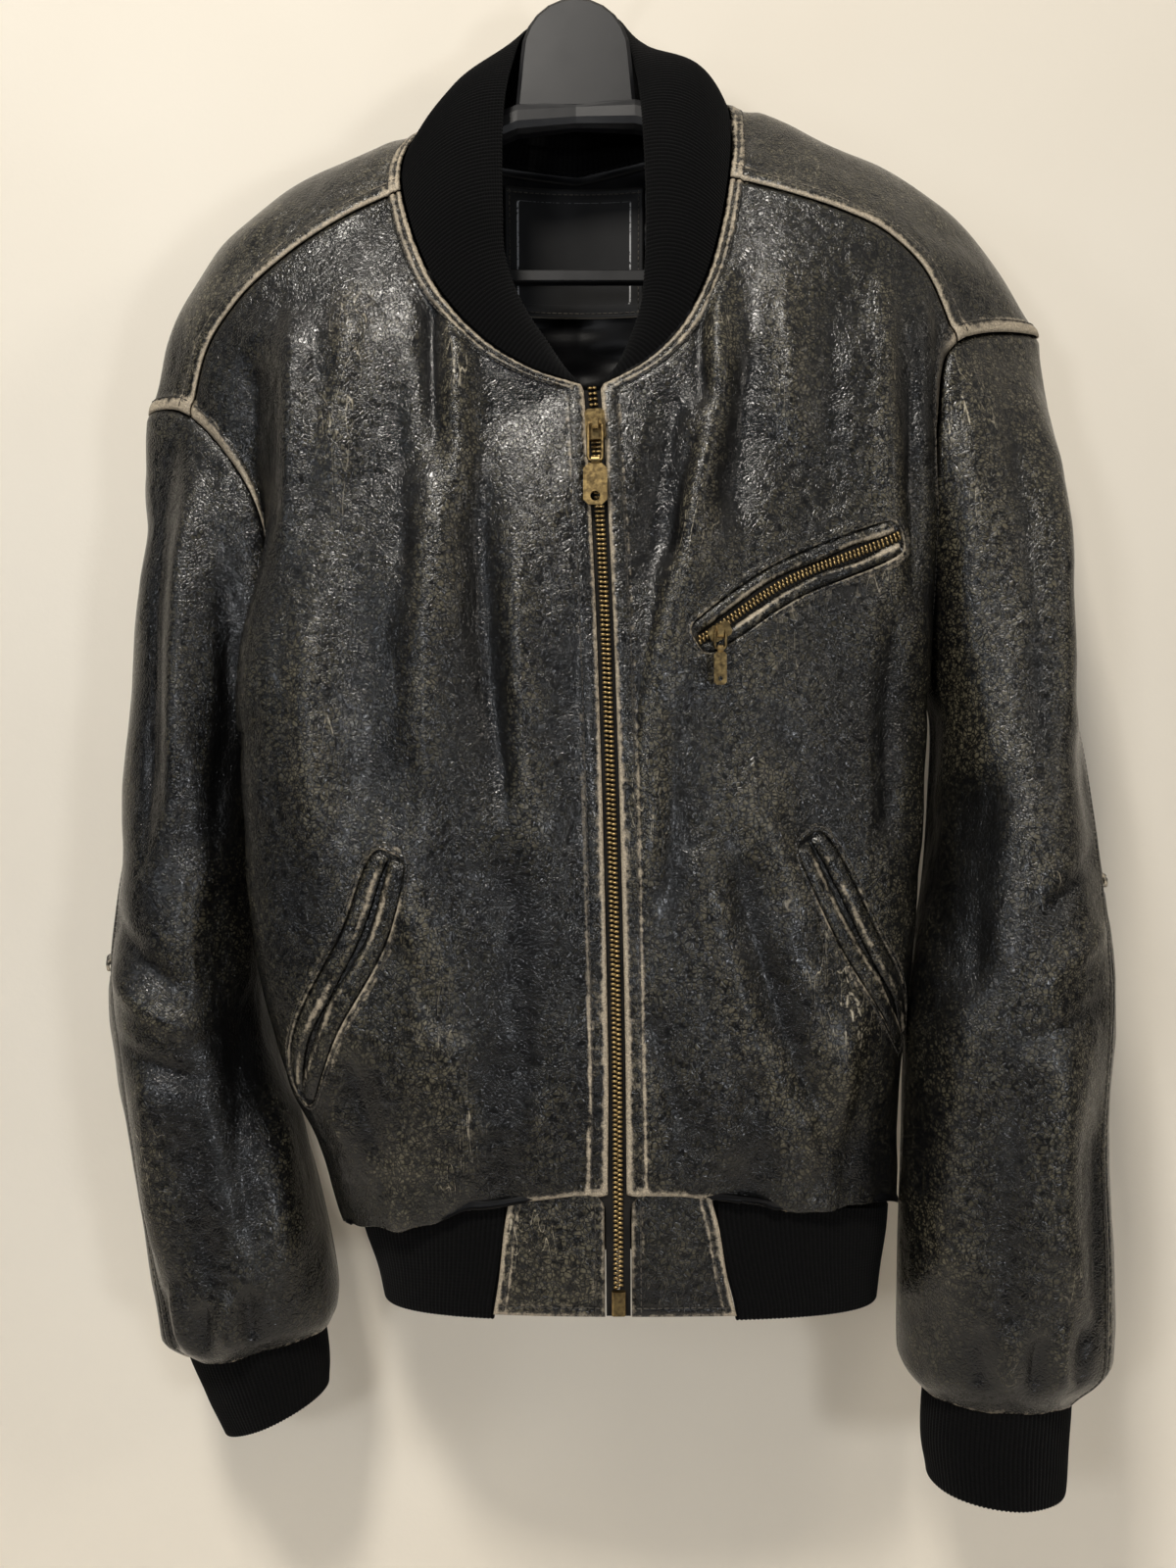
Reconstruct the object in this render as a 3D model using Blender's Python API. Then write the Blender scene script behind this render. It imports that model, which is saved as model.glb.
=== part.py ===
# Worn leather blouson jacket hanging on a moulded coat hanger, built from the pieces a maker cuts.
# Metres, +Z up. The front of the jacket faces -Y and the wearer's left is +X.
# The origin is the top of the hook's inside, where a rail carries the hanger.
# Tables are in millimetres: MM turns them into metres when a mesh is made.

import math

import bmesh
import bpy
import numpy as np
from mathutils import Vector
from mathutils.bvhtree import BVHTree

MM = 0.001

# Cloth and seams
LEATHER = 1.4
KNIT = 3.0
SATIN = 1.0
SEAM_GAP = 0.3
LAY_GAP = 0.5

# Panel grids: the share of a panel's height where the underarm and the zip's top end lie
UNDERARM_AT = 0.42
NECK_AT = 0.62
ROWS = (0.0, 0.03, 0.08, 0.14, 0.20, 0.27, 0.34, 0.42, 0.48, 0.55, 0.62,
        0.68, 0.74, 0.80, 0.86, 0.93, 1.0)
COLUMNS = (0.0, 0.14, 0.28, 0.40, 0.52, 0.64, 0.75, 0.84, 0.92, 1.0)
# The back's columns: the neck from the middle to the shoulder seam, then one for each of COLUMNS
NECK_SHARE = 0.267
BACK_COLUMNS = (0.0, 0.5 * NECK_SHARE, *(NECK_SHARE + (1 - NECK_SHARE) * share for share in COLUMNS))
YOKE_ANGLE = 40.0

# Zip
FLY_HALF = 4.5
CHAIN_WIDTH = 5.8
CHAIN_THICK = 2.2
TAPE_WIDTH = 13.0
TAPE_THICK = 0.8
ZIP_TOP = -313.0
ZIP_BOTTOM = -739.0
BAND_BOTTOM = -806.0

# Hanger
HOOK_INNER = 20.0
HOOK_WIRE = 1.9
PLATE_TOP = -70.0
PLATE_LOW = -127.0
PLATE_HALF = 33.0
PLATE_THICK = 11.0
BAR_Z = -231.0


def table(columns, *rows):
    """Rows of numbers as named columns."""
    values = np.array(rows, dtype=float)
    return {name: values[:, place] for place, name in enumerate(columns.split())}


def smooth(knots, values, at, turn=None):
    """Cubic curve through the values, with each slope taken from its two neighbours.

    With turn, the knots go round and meet again after that much.
    """
    knots = np.asarray(knots, dtype=float)
    values = np.asarray(values, dtype=float)
    at = np.asarray(at, dtype=float)
    if turn is not None:
        knots = np.concatenate([knots[-2:] - turn, knots, knots[:3] + turn])
        values = np.concatenate([values[-2:], values, values[:3]])
        at = np.mod(at, turn)
    slopes = np.gradient(values, knots, axis=0)
    seat = np.clip(np.searchsorted(knots, at, side="right") - 1, 0, len(knots) - 2)
    step = knots[seat + 1] - knots[seat]
    u = np.clip((at - knots[seat]) / step, 0.0, 1.0)
    start, end = values[seat], values[seat + 1]
    leave, arrive = slopes[seat] * step, slopes[seat + 1] * step
    return (start * (2 * u**3 - 3 * u**2 + 1) + leave * (u**3 - 2 * u**2 + u)
            + end * (3 * u**2 - 2 * u**3) + arrive * (u**3 - u**2))


def curve(rows, key, names, at, turn=None):
    """Points of a named-column table, with one coordinate for each name."""
    return np.stack([smooth(rows[key], rows[name], at, turn) for name in names], axis=-1)


def ease(value, low, high):
    """0 below low, 1 above high, a soft S between."""
    share = np.clip((np.asarray(value, dtype=float) - low) / (high - low), 0.0, 1.0)
    return share * share * (3 - 2 * share)


def unit(vectors):
    return vectors / np.maximum(np.linalg.norm(vectors, axis=-1, keepdims=True), 1e-9)


# ---------------------------------------------------------------- seams shared by the pieces

# The front zip's centre line, top to bottom
ZIP_LINE = table(
    "z x y",
    (-806, 23.0, -85),
    (-739, 22.5, -88),
    (-678, 22.0, -90),
    (-577, 20.0, -90),
    (-506, 18.0, -88),
    (-434, 15.5, -85),
    (-381, 13.0, -80),
    (-326, 10.0, -71),
    (-313, 9.0, -68))

# The neck seam from the zip to the shoulder, for the wearer's right and left;
# "along" is 0 at the zip, 1 at the front shoulder seam and 2 at the back shoulder seam
NECK = {
    "right": table(
        "along x y z",
        (0.00, 3.5, -68, -313),
        (0.18, -22, -69, -305),
        (0.38, -49, -66, -288),
        (0.58, -73, -60, -261),
        (0.78, -87, -52, -232),
        (1.00, -97, -38, -196),
        (1.50, -87, -6, -147),
        (2.00, -68, 30, -147)),
    "left": table(
        "along x y z",
        (0.00, 14.5, -68, -313),
        (0.18, 38, -68, -300),
        (0.38, 58, -64, -279),
        (0.58, 72, -57, -250),
        (0.78, 80, -49, -222),
        (1.00, 86, -38, -189),
        (1.50, 88, -6, -133),
        (2.00, 74, 30, -138))}

# The free edge of the knit collar over the same seam points; 3 is the middle of the back
COLLAR_EDGE = {
    "right": table(
        "along x y z bulge",
        (0.00, -3, -61, -305, 1),
        (0.18, -13, -60, -290, 3),
        (0.38, -28, -56, -266, 5),
        (0.58, -38, -51, -238, 7),
        (0.78, -40, -43, -204, 9),
        (1.00, -41, -31, -160, 10),
        (1.50, -36, 0, -98, 8),
        (2.00, -27, 24, -70, 4),
        (3.00, 0, 34, -66, 2)),
    "left": table(
        "along x y z bulge",
        (0.00, 20, -61, -305, 1),
        (0.18, 27, -60, -291, 3),
        (0.38, 35, -56, -268, 5),
        (0.58, 38, -51, -242, 7),
        (0.78, 39, -43, -206, 9),
        (1.00, 38, -31, -163, 11),
        (1.50, 34, 0, -103, 12),
        (2.00, 28, 24, -69, 5),
        (3.00, 0, 34, -66, 2))}

# Armhole seams: 0 degrees at the shoulder tip, 90 at the front, 180 under the arm
ARMHOLE = {
    "right": table(
        "angle x y z",
        (0, -249, -3, -312),
        (40, -218, -24, -318),
        (80, -181, -36, -364),
        (120, -167, -28, -421),
        (160, -164, -12, -476),
        (200, -164, 18, -480),
        (240, -168, 42, -425),
        (280, -185, 48, -370),
        (320, -222, 30, -322)),
    "left": table(
        "angle x y z",
        (0, 268, -5, -267),
        (40, 211, -43, -282),
        (80, 199, -49, -328),
        (120, 197, -38, -390),
        (160, 197, -18, -450),
        (200, 198, 18, -456),
        (240, 198, 42, -400),
        (280, 202, 47, -335),
        (320, 240, 28, -277))}

# The shoulder piece's front seam, ridge and back seam, from the neck to the armhole
FRONT_SEAM = {
    "right": table(
        "along x y z",
        (0.00, -97, -38, -196),
        (0.22, -128, -45, -214),
        (0.46, -161, -45, -236),
        (0.68, -189, -40, -260),
        (0.86, -208, -32, -286),
        (1.00, -218, -24, -318)),
    "left": table(
        "along x y z",
        (0.00, 86, -38, -189),
        (0.24, 115, -48, -201),
        (0.46, 146, -50, -212),
        (0.68, 174, -49, -226),
        (0.84, 194, -47, -246),
        (1.00, 211, -43, -282))}
RIDGE = {
    "right": table(
        "along x y z",
        (0.00, -87, -3, -143),
        (0.25, -131, 0, -163),
        (0.50, -174, 0, -187),
        (0.70, -209, 0, -219),
        (0.86, -233, -1, -259),
        (1.00, -249, -3, -312)),
    "left": table(
        "along x y z",
        (0.00, 88, -3, -129),
        (0.25, 131, 0, -146),
        (0.50, 178, 0, -169),
        (0.70, 219, 0, -195),
        (0.86, 247, -1, -230),
        (1.00, 268, -5, -267))}
BACK_SEAM = {
    "right": table(
        "along x y z",
        (0.00, -68, 30, -147),
        (0.25, -112, 44, -190),
        (0.50, -154, 50, -222),
        (0.75, -194, 44, -262),
        (1.00, -222, 30, -322)),
    "left": table(
        "along x y z",
        (0.00, 74, 30, -138),
        (0.25, 115, 44, -178),
        (0.50, 158, 50, -202),
        (0.75, 204, 44, -228),
        (1.00, 240, 28, -277))}

# Side seams from the hem to the underarm, and the middle of the back from the hem to the neck
SIDE_SEAM = {
    "right": table(
        "along x y z",
        (0.0, -127, -14, -764),
        (0.2, -142, -8, -706),
        (0.6, -157, -1, -585),
        (1.0, -158, 0, -484)),
    "left": table(
        "along x y z",
        (0.0, 175, -14, -752),
        (0.2, 178, -6, -700),
        (0.6, 186, 0, -572),
        (1.0, 195, 0, -461))}
BACK_MIDDLE = table(
    "along x y z",
    (0.00, 27, 52, -766),
    (0.08, 27, 60, -738),
    (0.30, 20, 64, -615),
    (0.60, 10, 64, -430),
    (0.85, 2, 58, -245),
    (1.00, 0, 46, -150))

# How each row of a panel turns its corner: a point that the row bends towards
CORNER = {
    ("front", "right"): table(
        "up x y z first last",
        (0.03, -146, -88, -770, 0.62, 0.62),
        (0.10, -182, -94, -738, 0.68, 0.64),
        (0.20, -222, -96, -668, 0.70, 0.68),
        (0.32, -238, -94, -590, 0.70, 0.72),
        (0.42, -242, -90, -520, 0.70, 0.76),
        (0.55, -230, -85, -440, 0.68, 0.80),
        (0.70, -196, -78, -368, 0.66, 0.70),
        (0.85, -188, -66, -300, 0.62, 0.60),
        (1.00, -190, -50, -240, 0.60, 0.60)),
    ("front", "left"): table(
        "up x y z first last",
        (0.03, 190, -86, -754, 0.62, 0.62),
        (0.10, 200, -94, -726, 0.68, 0.64),
        (0.20, 208, -93, -655, 0.70, 0.70),
        (0.32, 214, -91, -570, 0.70, 0.74),
        (0.42, 214, -88, -495, 0.70, 0.74),
        (0.55, 208, -85, -425, 0.68, 0.70),
        (0.70, 212, -78, -345, 0.66, 0.64),
        (0.85, 206, -68, -275, 0.62, 0.60),
        (1.00, 198, -55, -215, 0.60, 0.60)),
    ("back", "right"): table(
        "up x y z first last",
        (0.03, -124, 54, -770, 0.62, 0.60),
        (0.10, -150, 64, -735, 0.70, 0.62),
        (0.25, -168, 70, -640, 0.72, 0.66),
        (0.42, -172, 72, -520, 0.72, 0.66),
        (0.60, -170, 70, -420, 0.70, 0.64),
        (0.80, -176, 66, -320, 0.66, 0.60),
        (1.00, -168, 58, -215, 0.60, 0.60)),
    ("back", "left"): table(
        "up x y z first last",
        (0.03, 178, 54, -760, 0.62, 0.60),
        (0.10, 196, 64, -726, 0.70, 0.62),
        (0.25, 204, 70, -630, 0.72, 0.66),
        (0.42, 206, 72, -505, 0.72, 0.66),
        (0.60, 204, 70, -400, 0.70, 0.64),
        (0.80, 200, 66, -290, 0.66, 0.60),
        (1.00, 178, 58, -195, 0.60, 0.60))}

# Sleeve sections down from the armhole: the outermost and innermost point, middle and half depth
SLEEVE = {
    "right": table(
        "outX outZ inX inZ midY halfY",
        (-251, -389, -177, -515, 9, 47),
        (-256, -469, -182, -560, 13, 53),
        (-264, -555, -184, -612, 15, 56),
        (-272, -632, -180, -660, 14, 57),
        (-266, -690, -170, -705, 10, 56),
        (-256, -755, -152, -763, 8, 53),
        (-246, -815, -141, -812, 6, 50),
        (-241, -845, -141, -832, 5, 46)),
    "left": table(
        "outX outZ inX inZ midY halfY",
        (272, -345, 205, -490, -12, 52),
        (279, -420, 203, -535, -17, 55),
        (283, -500, 198, -580, -24, 58),
        (291, -580, 191, -615, -31, 59),
        (297, -637, 185, -655, -34, 58),
        (293, -715, 183, -725, -34, 56),
        (297, -790, 181, -795, -33, 54),
        (297, -843, 181, -846, -32, 49))}
CUFF = {
    "right": table(
        "outX outZ inX inZ midY halfY",
        (-228, -841, -151, -829, 5, 34),
        (-226, -856, -147, -844, 5, 34),
        (-217, -878, -145, -862, 6, 32),
        (-206, -904, -146, -879, 8, 29)),
    "left": table(
        "outX outZ inX inZ midY halfY",
        (276, -852, 197, -850, -31, 37),
        (276, -866, 195, -864, -31, 37),
        (275, -890, 194, -887, -30, 36),
        (273, -917, 197, -913, -30, 35))}

# Where the two long sleeve seams run, in degrees round the sleeve, by section
SLEEVE_SEAMS = table(
    "section outer under",
    (0, -40, 194.48),
    (2, -26, 196),
    (4, 14, 198),
    (6, 26, 198),
    (9, 34, 196))
ELBOW_SECTION = 4


def zipPoint(z):
    """The zip's centre line at a height."""
    rows = {name: ZIP_LINE[name] for name in ("z", "x", "y")}
    flat = curve(rows, "z", ("x", "y"), z)
    return np.concatenate([flat, np.asarray(z, dtype=float)[..., None]], axis=-1)


def armholeAngle(up, part):
    """The armhole angle that a panel's row meets."""
    share = np.clip((up - UNDERARM_AT) / (1 - UNDERARM_AT), 0, 1)
    turn = (180 - YOKE_ANGLE) * share
    return 180 - turn if part == "front" else 180 + turn


def armholePoint(side, angle):
    return curve(ARMHOLE[side], "angle", "xyz", angle, turn=360.0)


# The waistband's ring: 0 degrees at the front, 90 at the wearer's right, 180 at the back
BAND = table(
    "down midX midY halfX halfY front side back",
    (0.00, 27, -21, 149, 63, -744, -762, -757),
    (0.25, 28, -21, 147, 63, -756, -775, -770),
    (0.60, 30, -20, 142, 63, -784, -795, -793),
    (1.00, 31, -19, 139, 63, -806, -813, -811))
BAND_POWER = 2.3


def bandPoint(angle, down):
    """A point on the waistband's outer face."""
    turn = np.radians(np.asarray(angle, dtype=float))
    row = {name: smooth(BAND["down"], BAND[name], down) for name in BAND}
    across = np.sign(np.sin(turn)) * np.abs(np.sin(turn)) ** (2 / BAND_POWER)
    ahead = np.sign(np.cos(turn)) * np.abs(np.cos(turn)) ** (2 / BAND_POWER)
    x = row["midX"] - row["halfX"] * across
    y = row["midY"] - row["halfY"] * ahead
    level = (row["front"] + row["back"]) / 2 + (row["front"] - row["back"]) / 2 * np.cos(turn)
    z = level + (row["side"] - (row["front"] + row["back"]) / 2) * np.sin(turn) ** 2
    return np.stack([x, y, z + 0 * x], axis=-1)


ZIP_ANGLE = {"right": 2.35, "left": 0.0}
SIDE_ANGLE = {"right": 86.0, "left": -86.0}


def hemAngle(part, side, across):
    """The waistband angle under a panel's column."""
    if part == "front":
        return ZIP_ANGLE[side] + (SIDE_ANGLE[side] - ZIP_ANGLE[side]) * across
    back = 180.0 if side == "right" else -180.0
    return back + (SIDE_ANGLE[side] - back) * across


# The leather's hem round the waistband: the height of its fold, how far the fold stands out
# and how far the seam with the waistband lies above it
HEM_STAND = 1.0
HEM = table(
    "angle level out rise",
    (-180, -764, 7, 8),
    (-130, -762, 7, 8),
    (-86, -757, 4, 7),
    (-60, -752, 6, 7),
    (-36, -750, 5, 6),
    (-21, -745, 3, 2.5),
    (-8, -739, 2.8, 2.2),
    (8, -739, 2.8, 2.2),
    (23, -747, 3, 2.5),
    (38, -757, 6, 7),
    (62, -768, 8, 8),
    (86, -770, 8, 8),
    (130, -768, 7, 8),
    (180, -764, 7, 8))


def hemPoint(part, side, across, folded):
    """The hem's fold, or its seam just outside the waistband."""
    angle = hemAngle(part, side, across)
    level, out, rise = (smooth(HEM["angle"], HEM[name], angle) for name in ("level", "out", "rise"))
    face = bandPoint(angle, 0.0)
    stand = HEM_STAND + (out if folded else 0 * out)
    point = face + bandAway(face) * stand[..., None]
    point[..., 2] = level if folded else level + rise
    return point


def bandAway(points):
    """The level way out from the middle of the waistband."""
    return unit((points - np.array([27.0, -21.0, 0.0])) * np.array([1.0, 1.0, 0.0]))


def hemInward(part, side, across):
    """The leather's thickness at the seam under the hem and at the hem's fold."""
    angle = hemAngle(part, side, np.asarray(across, dtype=float))
    out, rise = (smooth(HEM["angle"], HEM[name], angle)[:, None] for name in ("out", "rise"))
    away, up = bandAway(bandPoint(angle, 0.0)), np.array([0.0, 0.0, 1.0])
    long = np.hypot(out, rise)
    seam = (away * rise + up * out) / long
    fold = up / np.tan(np.arctan2(out, rise) / 2) - away
    return seam, fold


def innerEdge(part, side, up):
    """A panel's edge at the zip and neck, or at the middle of the back."""
    up = np.asarray(up, dtype=float)
    if part == "back":
        return curve(BACK_MIDDLE, "along", "xyz", up)
    level = ZIP_BOTTOM + (ZIP_TOP - ZIP_BOTTOM) * np.clip(up / NECK_AT, 0, 1)
    fly = zipPoint(level)
    fly[..., 0] += -FLY_HALF if side == "right" else FLY_HALF
    neck = curve(NECK[side], "along", "xyz", np.clip((up - NECK_AT) / (1 - NECK_AT), 0, 1))
    return np.where((up <= NECK_AT)[..., None], fly, neck)


def outerEdge(part, side, up):
    """A panel's side seam, then its armhole."""
    up = np.asarray(up, dtype=float)
    seam = curve(SIDE_SEAM[side], "along", "xyz", np.clip(up / UNDERARM_AT, 0, 1))
    hole = armholePoint(side, armholeAngle(up, part))
    return np.where((up <= UNDERARM_AT)[..., None], seam, hole)


def topEdge(part, side, across):
    """A panel's top seam; on the back it runs from the middle along the neck to the shoulder."""
    across = np.asarray(across, dtype=float)
    if part == "front":
        return curve(FRONT_SEAM[side], "along", "xyz", across)
    neckShare = np.clip(across / NECK_SHARE, 0, 1)
    corner = curve(BACK_SEAM[side], "along", "xyz", 0.0)
    middle = curve(BACK_MIDDLE, "along", "xyz", 1.0)
    neck = middle + (corner - middle) * neckShare[..., None]
    neck[..., 1] += 9.0 * neckShare * (1 - neckShare)
    seam = curve(BACK_SEAM[side], "along", "xyz", np.clip((across - NECK_SHARE) / (1 - NECK_SHARE), 0, 1))
    return np.where((across <= NECK_SHARE)[..., None], neck, seam)


def bentRow(part, side, across, up):
    """A row from the inner edge to the outer edge, bent towards its corner point."""
    corner = CORNER[part, side]
    bend = curve(corner, "up", "xyz", up)
    first = smooth(corner["up"], corner["first"], up)[..., None]
    last = smooth(corner["up"], corner["last"], up)[..., None]
    start, end = innerEdge(part, side, up), outerEdge(part, side, up)
    one = start + (bend - start) * first
    two = end + (bend - end) * last
    s = np.asarray(across, dtype=float)[..., None]
    return (1 - s) ** 3 * start + 3 * s * (1 - s) ** 2 * one + 3 * s * s * (1 - s) * two + s**3 * end


# The largest folds: a line from (x1, z1) to (x2, z2) in the front view, its half width,
# and its height out of the panel (negative is a valley)
FOLDS = {
    ("front", "right"): table(
        "x1 z1 x2 z2 wide high",
        (-152, -275, -158, -400, 13, 7.0),
        (-176, -290, -174, -390, 11, -9.0),
        (-86, -330, -66, -560, 20, 4.0),
        (-52, -380, -36, -660, 18, -3.0),
        (-116, -360, -112, -560, 20, -3.0)),
    ("front", "left"): table(
        "x1 z1 x2 z2 wide high",
        (78, -280, 58, -430, 18, 5.0),
        (56, -430, 44, -600, 18, 4.5),
        (188, -262, 190, -350, 12, 4.0),
        (148, -280, 150, -400, 20, 3.0),
        (112, -590, 146, -700, 18, 3.5),
        (66, -580, 112, -700, 20, -3.0)),
    ("back", "right"): table(
        "x1 z1 x2 z2 wide high",
        (-60, -290, -40, -600, 22, 4.0),
        (-120, -300, -110, -640, 18, -3.5)),
    ("back", "left"): table(
        "x1 z1 x2 z2 wide high",
        (80, -290, 70, -600, 22, 4.0),
        (140, -300, 140, -640, 18, -3.5))}


def foldHeight(part, side, points):
    """Height of the folds at points, as soft ridges along their lines."""
    rows = FOLDS[part, side]
    height = np.zeros(points.shape[:-1])
    for x1, z1, x2, z2, wide, high in zip(*(rows[name] for name in rows)):
        line = np.array([x2 - x1, z2 - z1])
        length = np.hypot(*line)
        off = points[..., (0, 2)] - np.array([x1, z1])
        along = (off @ line) / length**2
        side_ = (off[..., 0] * line[1] - off[..., 1] * line[0]) / length
        ends = ease(along, -0.12, 0.2) * (1 - ease(along, 0.8, 1.12))
        height += high * np.exp(-(side_ / wide) ** 2) * ends
    return height


def panelAt(part, side, s, t):
    """Points on the outer face of a front or of half the back, at shares across and up."""
    body = bentRow(part, side, s, np.maximum(t, 0.03))
    top = topEdge(part, side, s) - bentRow(part, side, s, np.ones_like(t))
    body = body + top * ease(t, 0.55, 1.0)[..., None]
    body = np.where((t < 0.05)[..., None], hemPoint(part, side, s, True), body)
    body = np.where((t < 0.02)[..., None], hemPoint(part, side, s, False), body)
    raised = foldHeight(part, side, body)
    calm = ease(t, 0.06, 0.16) * ease(s, 0.02, 0.12) * (1 - ease(s, 0.93, 1.0)) * (1 - ease(t, 0.93, 1.0))
    ahead = -1.0 if part == "front" else 1.0
    body[..., 1] += ahead * raised * calm
    return body


def panelPoints(part, side, across, up):
    """A grid of panelAt points."""
    s, t = np.meshgrid(np.asarray(across, dtype=float), np.asarray(up, dtype=float))
    return panelAt(part, side, s, t)


def gridNormals(points, closed=False):
    """Unit normals of a grid of points, by columns crossed with rows."""
    if closed:
        across = np.roll(points, -1, axis=1) - np.roll(points, 1, axis=1)
    else:
        across = np.gradient(points, axis=1)
    up = np.gradient(points, axis=0)
    return unit(np.cross(across, up))


# ---------------------------------------------------------------- materials and meshes

FINISHES = {
    "leather": ((0.032, 0.032, 0.030), 0.50, 0.0),
    "knit": ((0.006, 0.006, 0.007), 0.95, 0.0),
    "satin": ((0.010, 0.010, 0.011), 0.35, 0.0),
    "patch": ((0.020, 0.020, 0.020), 0.55, 0.0),
    "tape": ((0.008, 0.008, 0.009), 0.90, 0.0),
    "brass": ((0.32, 0.22, 0.10), 0.38, 1.0),
    "plastic": ((0.018, 0.018, 0.020), 0.42, 0.0),
    "steel": ((0.62, 0.62, 0.63), 0.25, 1.0)}


def makeMaterial(name, finish):
    color, roughness, metallic = FINISHES[finish]
    material = bpy.data.materials.new(name)
    material.use_nodes = True
    shader = material.node_tree.nodes["Principled BSDF"]
    shader.inputs["Base Color"].default_value = (*color, 1.0)
    shader.inputs["Roughness"].default_value = roughness
    shader.inputs["Metallic"].default_value = metallic
    return material


def clearScene():
    for item in list(bpy.data.objects):
        bpy.data.objects.remove(item, do_unlink=True)


def newCollection(name):
    group = bpy.data.collections.new(name)
    bpy.context.scene.collection.children.link(group)
    return group


def addObject(group, name, mesh, finish, at=(0.0, 0.0, 0.0)):
    item = bpy.data.objects.new(name, mesh)
    item.location = at
    mesh.materials.clear()
    mesh.materials.append(makeMaterial(name, finish))
    group.objects.link(item)
    return item


def meshFrom(name, verts, faces, at=(0.0, 0.0, 0.0)):
    """A closed mesh with its faces pointing out; verts in millimetres, at in metres."""
    mesh = bpy.data.meshes.new(name)
    shifted = np.asarray(verts, dtype=float) * MM - np.asarray(at, dtype=float)
    mesh.from_pydata([tuple(v) for v in shifted], [], faces)
    work = bmesh.new()
    work.from_mesh(mesh)
    bmesh.ops.recalc_face_normals(work, faces=work.faces)
    work.to_mesh(mesh)
    work.free()
    mesh.shade_smooth()
    mesh.set_sharp_from_angle(angle=math.radians(40))
    return mesh


def wallMesh(name, outer, inner, closed=False):
    """A wall between two grids of points, closed by rims at its open edges."""
    rows, cols = outer.shape[:2]
    verts = np.concatenate([outer.reshape(-1, 3), inner.reshape(-1, 3)])
    shift = rows * cols
    faces, rims = [], []
    last = cols if closed else cols - 1
    for row in range(rows - 1):
        for col in range(last):
            nxt = (col + 1) % cols
            a, b = row * cols + col, row * cols + nxt
            c, d = (row + 1) * cols + nxt, (row + 1) * cols + col
            for tri in ((a, b, c), (a, c, d)):
                faces.append(tri)
                faces.append(tuple(shift + corner for corner in tri[::-1]))
    for col in range(last):
        nxt = (col + 1) % cols
        for row, turned in ((0, False), (rows - 1, True)):
            a, b = row * cols + col, row * cols + nxt
            rims.append((a, b, turned))
    if not closed:
        for row in range(rows - 1):
            for col, turned in ((0, True), (cols - 1, False)):
                a, b = row * cols + col, (row + 1) * cols + col
                rims.append((a, b, turned))
    for a, b, turned in rims:
        for tri in ((a, shift + a, shift + b), (a, shift + b, b)):
            faces.append(tri[::-1] if turned else tri)
    return meshFrom(name, verts, faces)


def addWall(group, name, outer, inward, thick, finish, closed=False):
    inner = outer + inward * thick
    return addObject(group, name, wallMesh(name, outer, inner, closed), finish)


def sweepMesh(name, centres, sections, at=(0.0, 0.0, 0.0)):
    """A solid through closed sections (stations x points x 3), with flat ends."""
    rings = np.asarray(centres, dtype=float)[:, None, :] + sections
    stations, count = rings.shape[:2]
    faces = []
    for row in range(stations - 1):
        for col in range(count):
            nxt = (col + 1) % count
            faces.append((row * count + col, row * count + nxt,
                          (row + 1) * count + nxt, (row + 1) * count + col))
    faces.append(tuple(range(count))[::-1])
    faces.append(tuple((stations - 1) * count + col for col in range(count)))
    return meshFrom(name, rings.reshape(-1, 3), faces, at)


def ringMesh(name, centres, sections, at=(0.0, 0.0, 0.0)):
    """A closed loop of closed sections, such as a wire link."""
    rings = np.asarray(centres, dtype=float)[:, None, :] + sections
    stations, count = rings.shape[:2]
    faces = []
    for row in range(stations):
        after = (row + 1) % stations
        for col in range(count):
            nxt = (col + 1) % count
            faces.append((row * count + col, row * count + nxt,
                          after * count + nxt, after * count + col))
    return meshFrom(name, rings.reshape(-1, 3), faces, at)


def cutCorners(plane, wide, high, cut):
    """A rectangle with cut corners, as eight offsets in a plane such as "xz"."""
    w, h = wide / 2, high / 2
    flat = np.array([(w - cut, -h), (w, cut - h), (w, h - cut), (w - cut, h),
                     (cut - w, h), (-w, h - cut), (-w, cut - h), (cut - w, -h)])
    offsets = np.zeros((8, 3))
    offsets[:, ["xyz".index(plane[0]), "xyz".index(plane[1])]] = flat
    return offsets


def circle(plane, radius, count=16):
    turns = np.linspace(0, 2 * math.pi, count, endpoint=False)
    offsets = np.zeros((count, 3))
    offsets[:, "xyz".index(plane[0])] = radius * np.cos(turns)
    offsets[:, "xyz".index(plane[1])] = radius * np.sin(turns)
    return offsets


def prism(name, start, end, outline):
    """A straight solid between two points."""
    return sweepMesh(name, np.array([start, end], dtype=float), np.stack([outline, outline]))


def joinSolid(item, cutters, name, mesh, operation):
    """Add a solid to an object, or cut it away."""
    tool = bpy.data.objects.new(name, mesh)
    tool.location = item.location
    tool.hide_render = True
    tool.display_type = "WIRE"
    cutters.objects.link(tool)
    step = item.modifiers.new(name, "BOOLEAN")
    step.operation = operation
    step.solver = "EXACT"
    step.object = tool


# ---------------------------------------------------------------- the armhole seam's thickness

def bodyLeave(side, angle):
    """The way from the armhole seam into the body piece that meets it there."""
    turn = (angle + 180.0) % 360.0 - 180.0
    if abs(turn) <= YOKE_ANGLE:
        row = shoulderPoints(side, (0.92, 1.0), ((1 - turn / YOKE_ANGLE) / 2,))[0]
        return row[0] - row[1]
    part = "front" if turn > 0 else "back"
    up = UNDERARM_AT + (180.0 - abs(turn)) / (180.0 - YOKE_ANGLE) * (1 - UNDERARM_AT)
    row = panelAt(part, side, np.array([0.92, 1.0]), np.array([up, up]))
    return row[0] - row[1]


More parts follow.
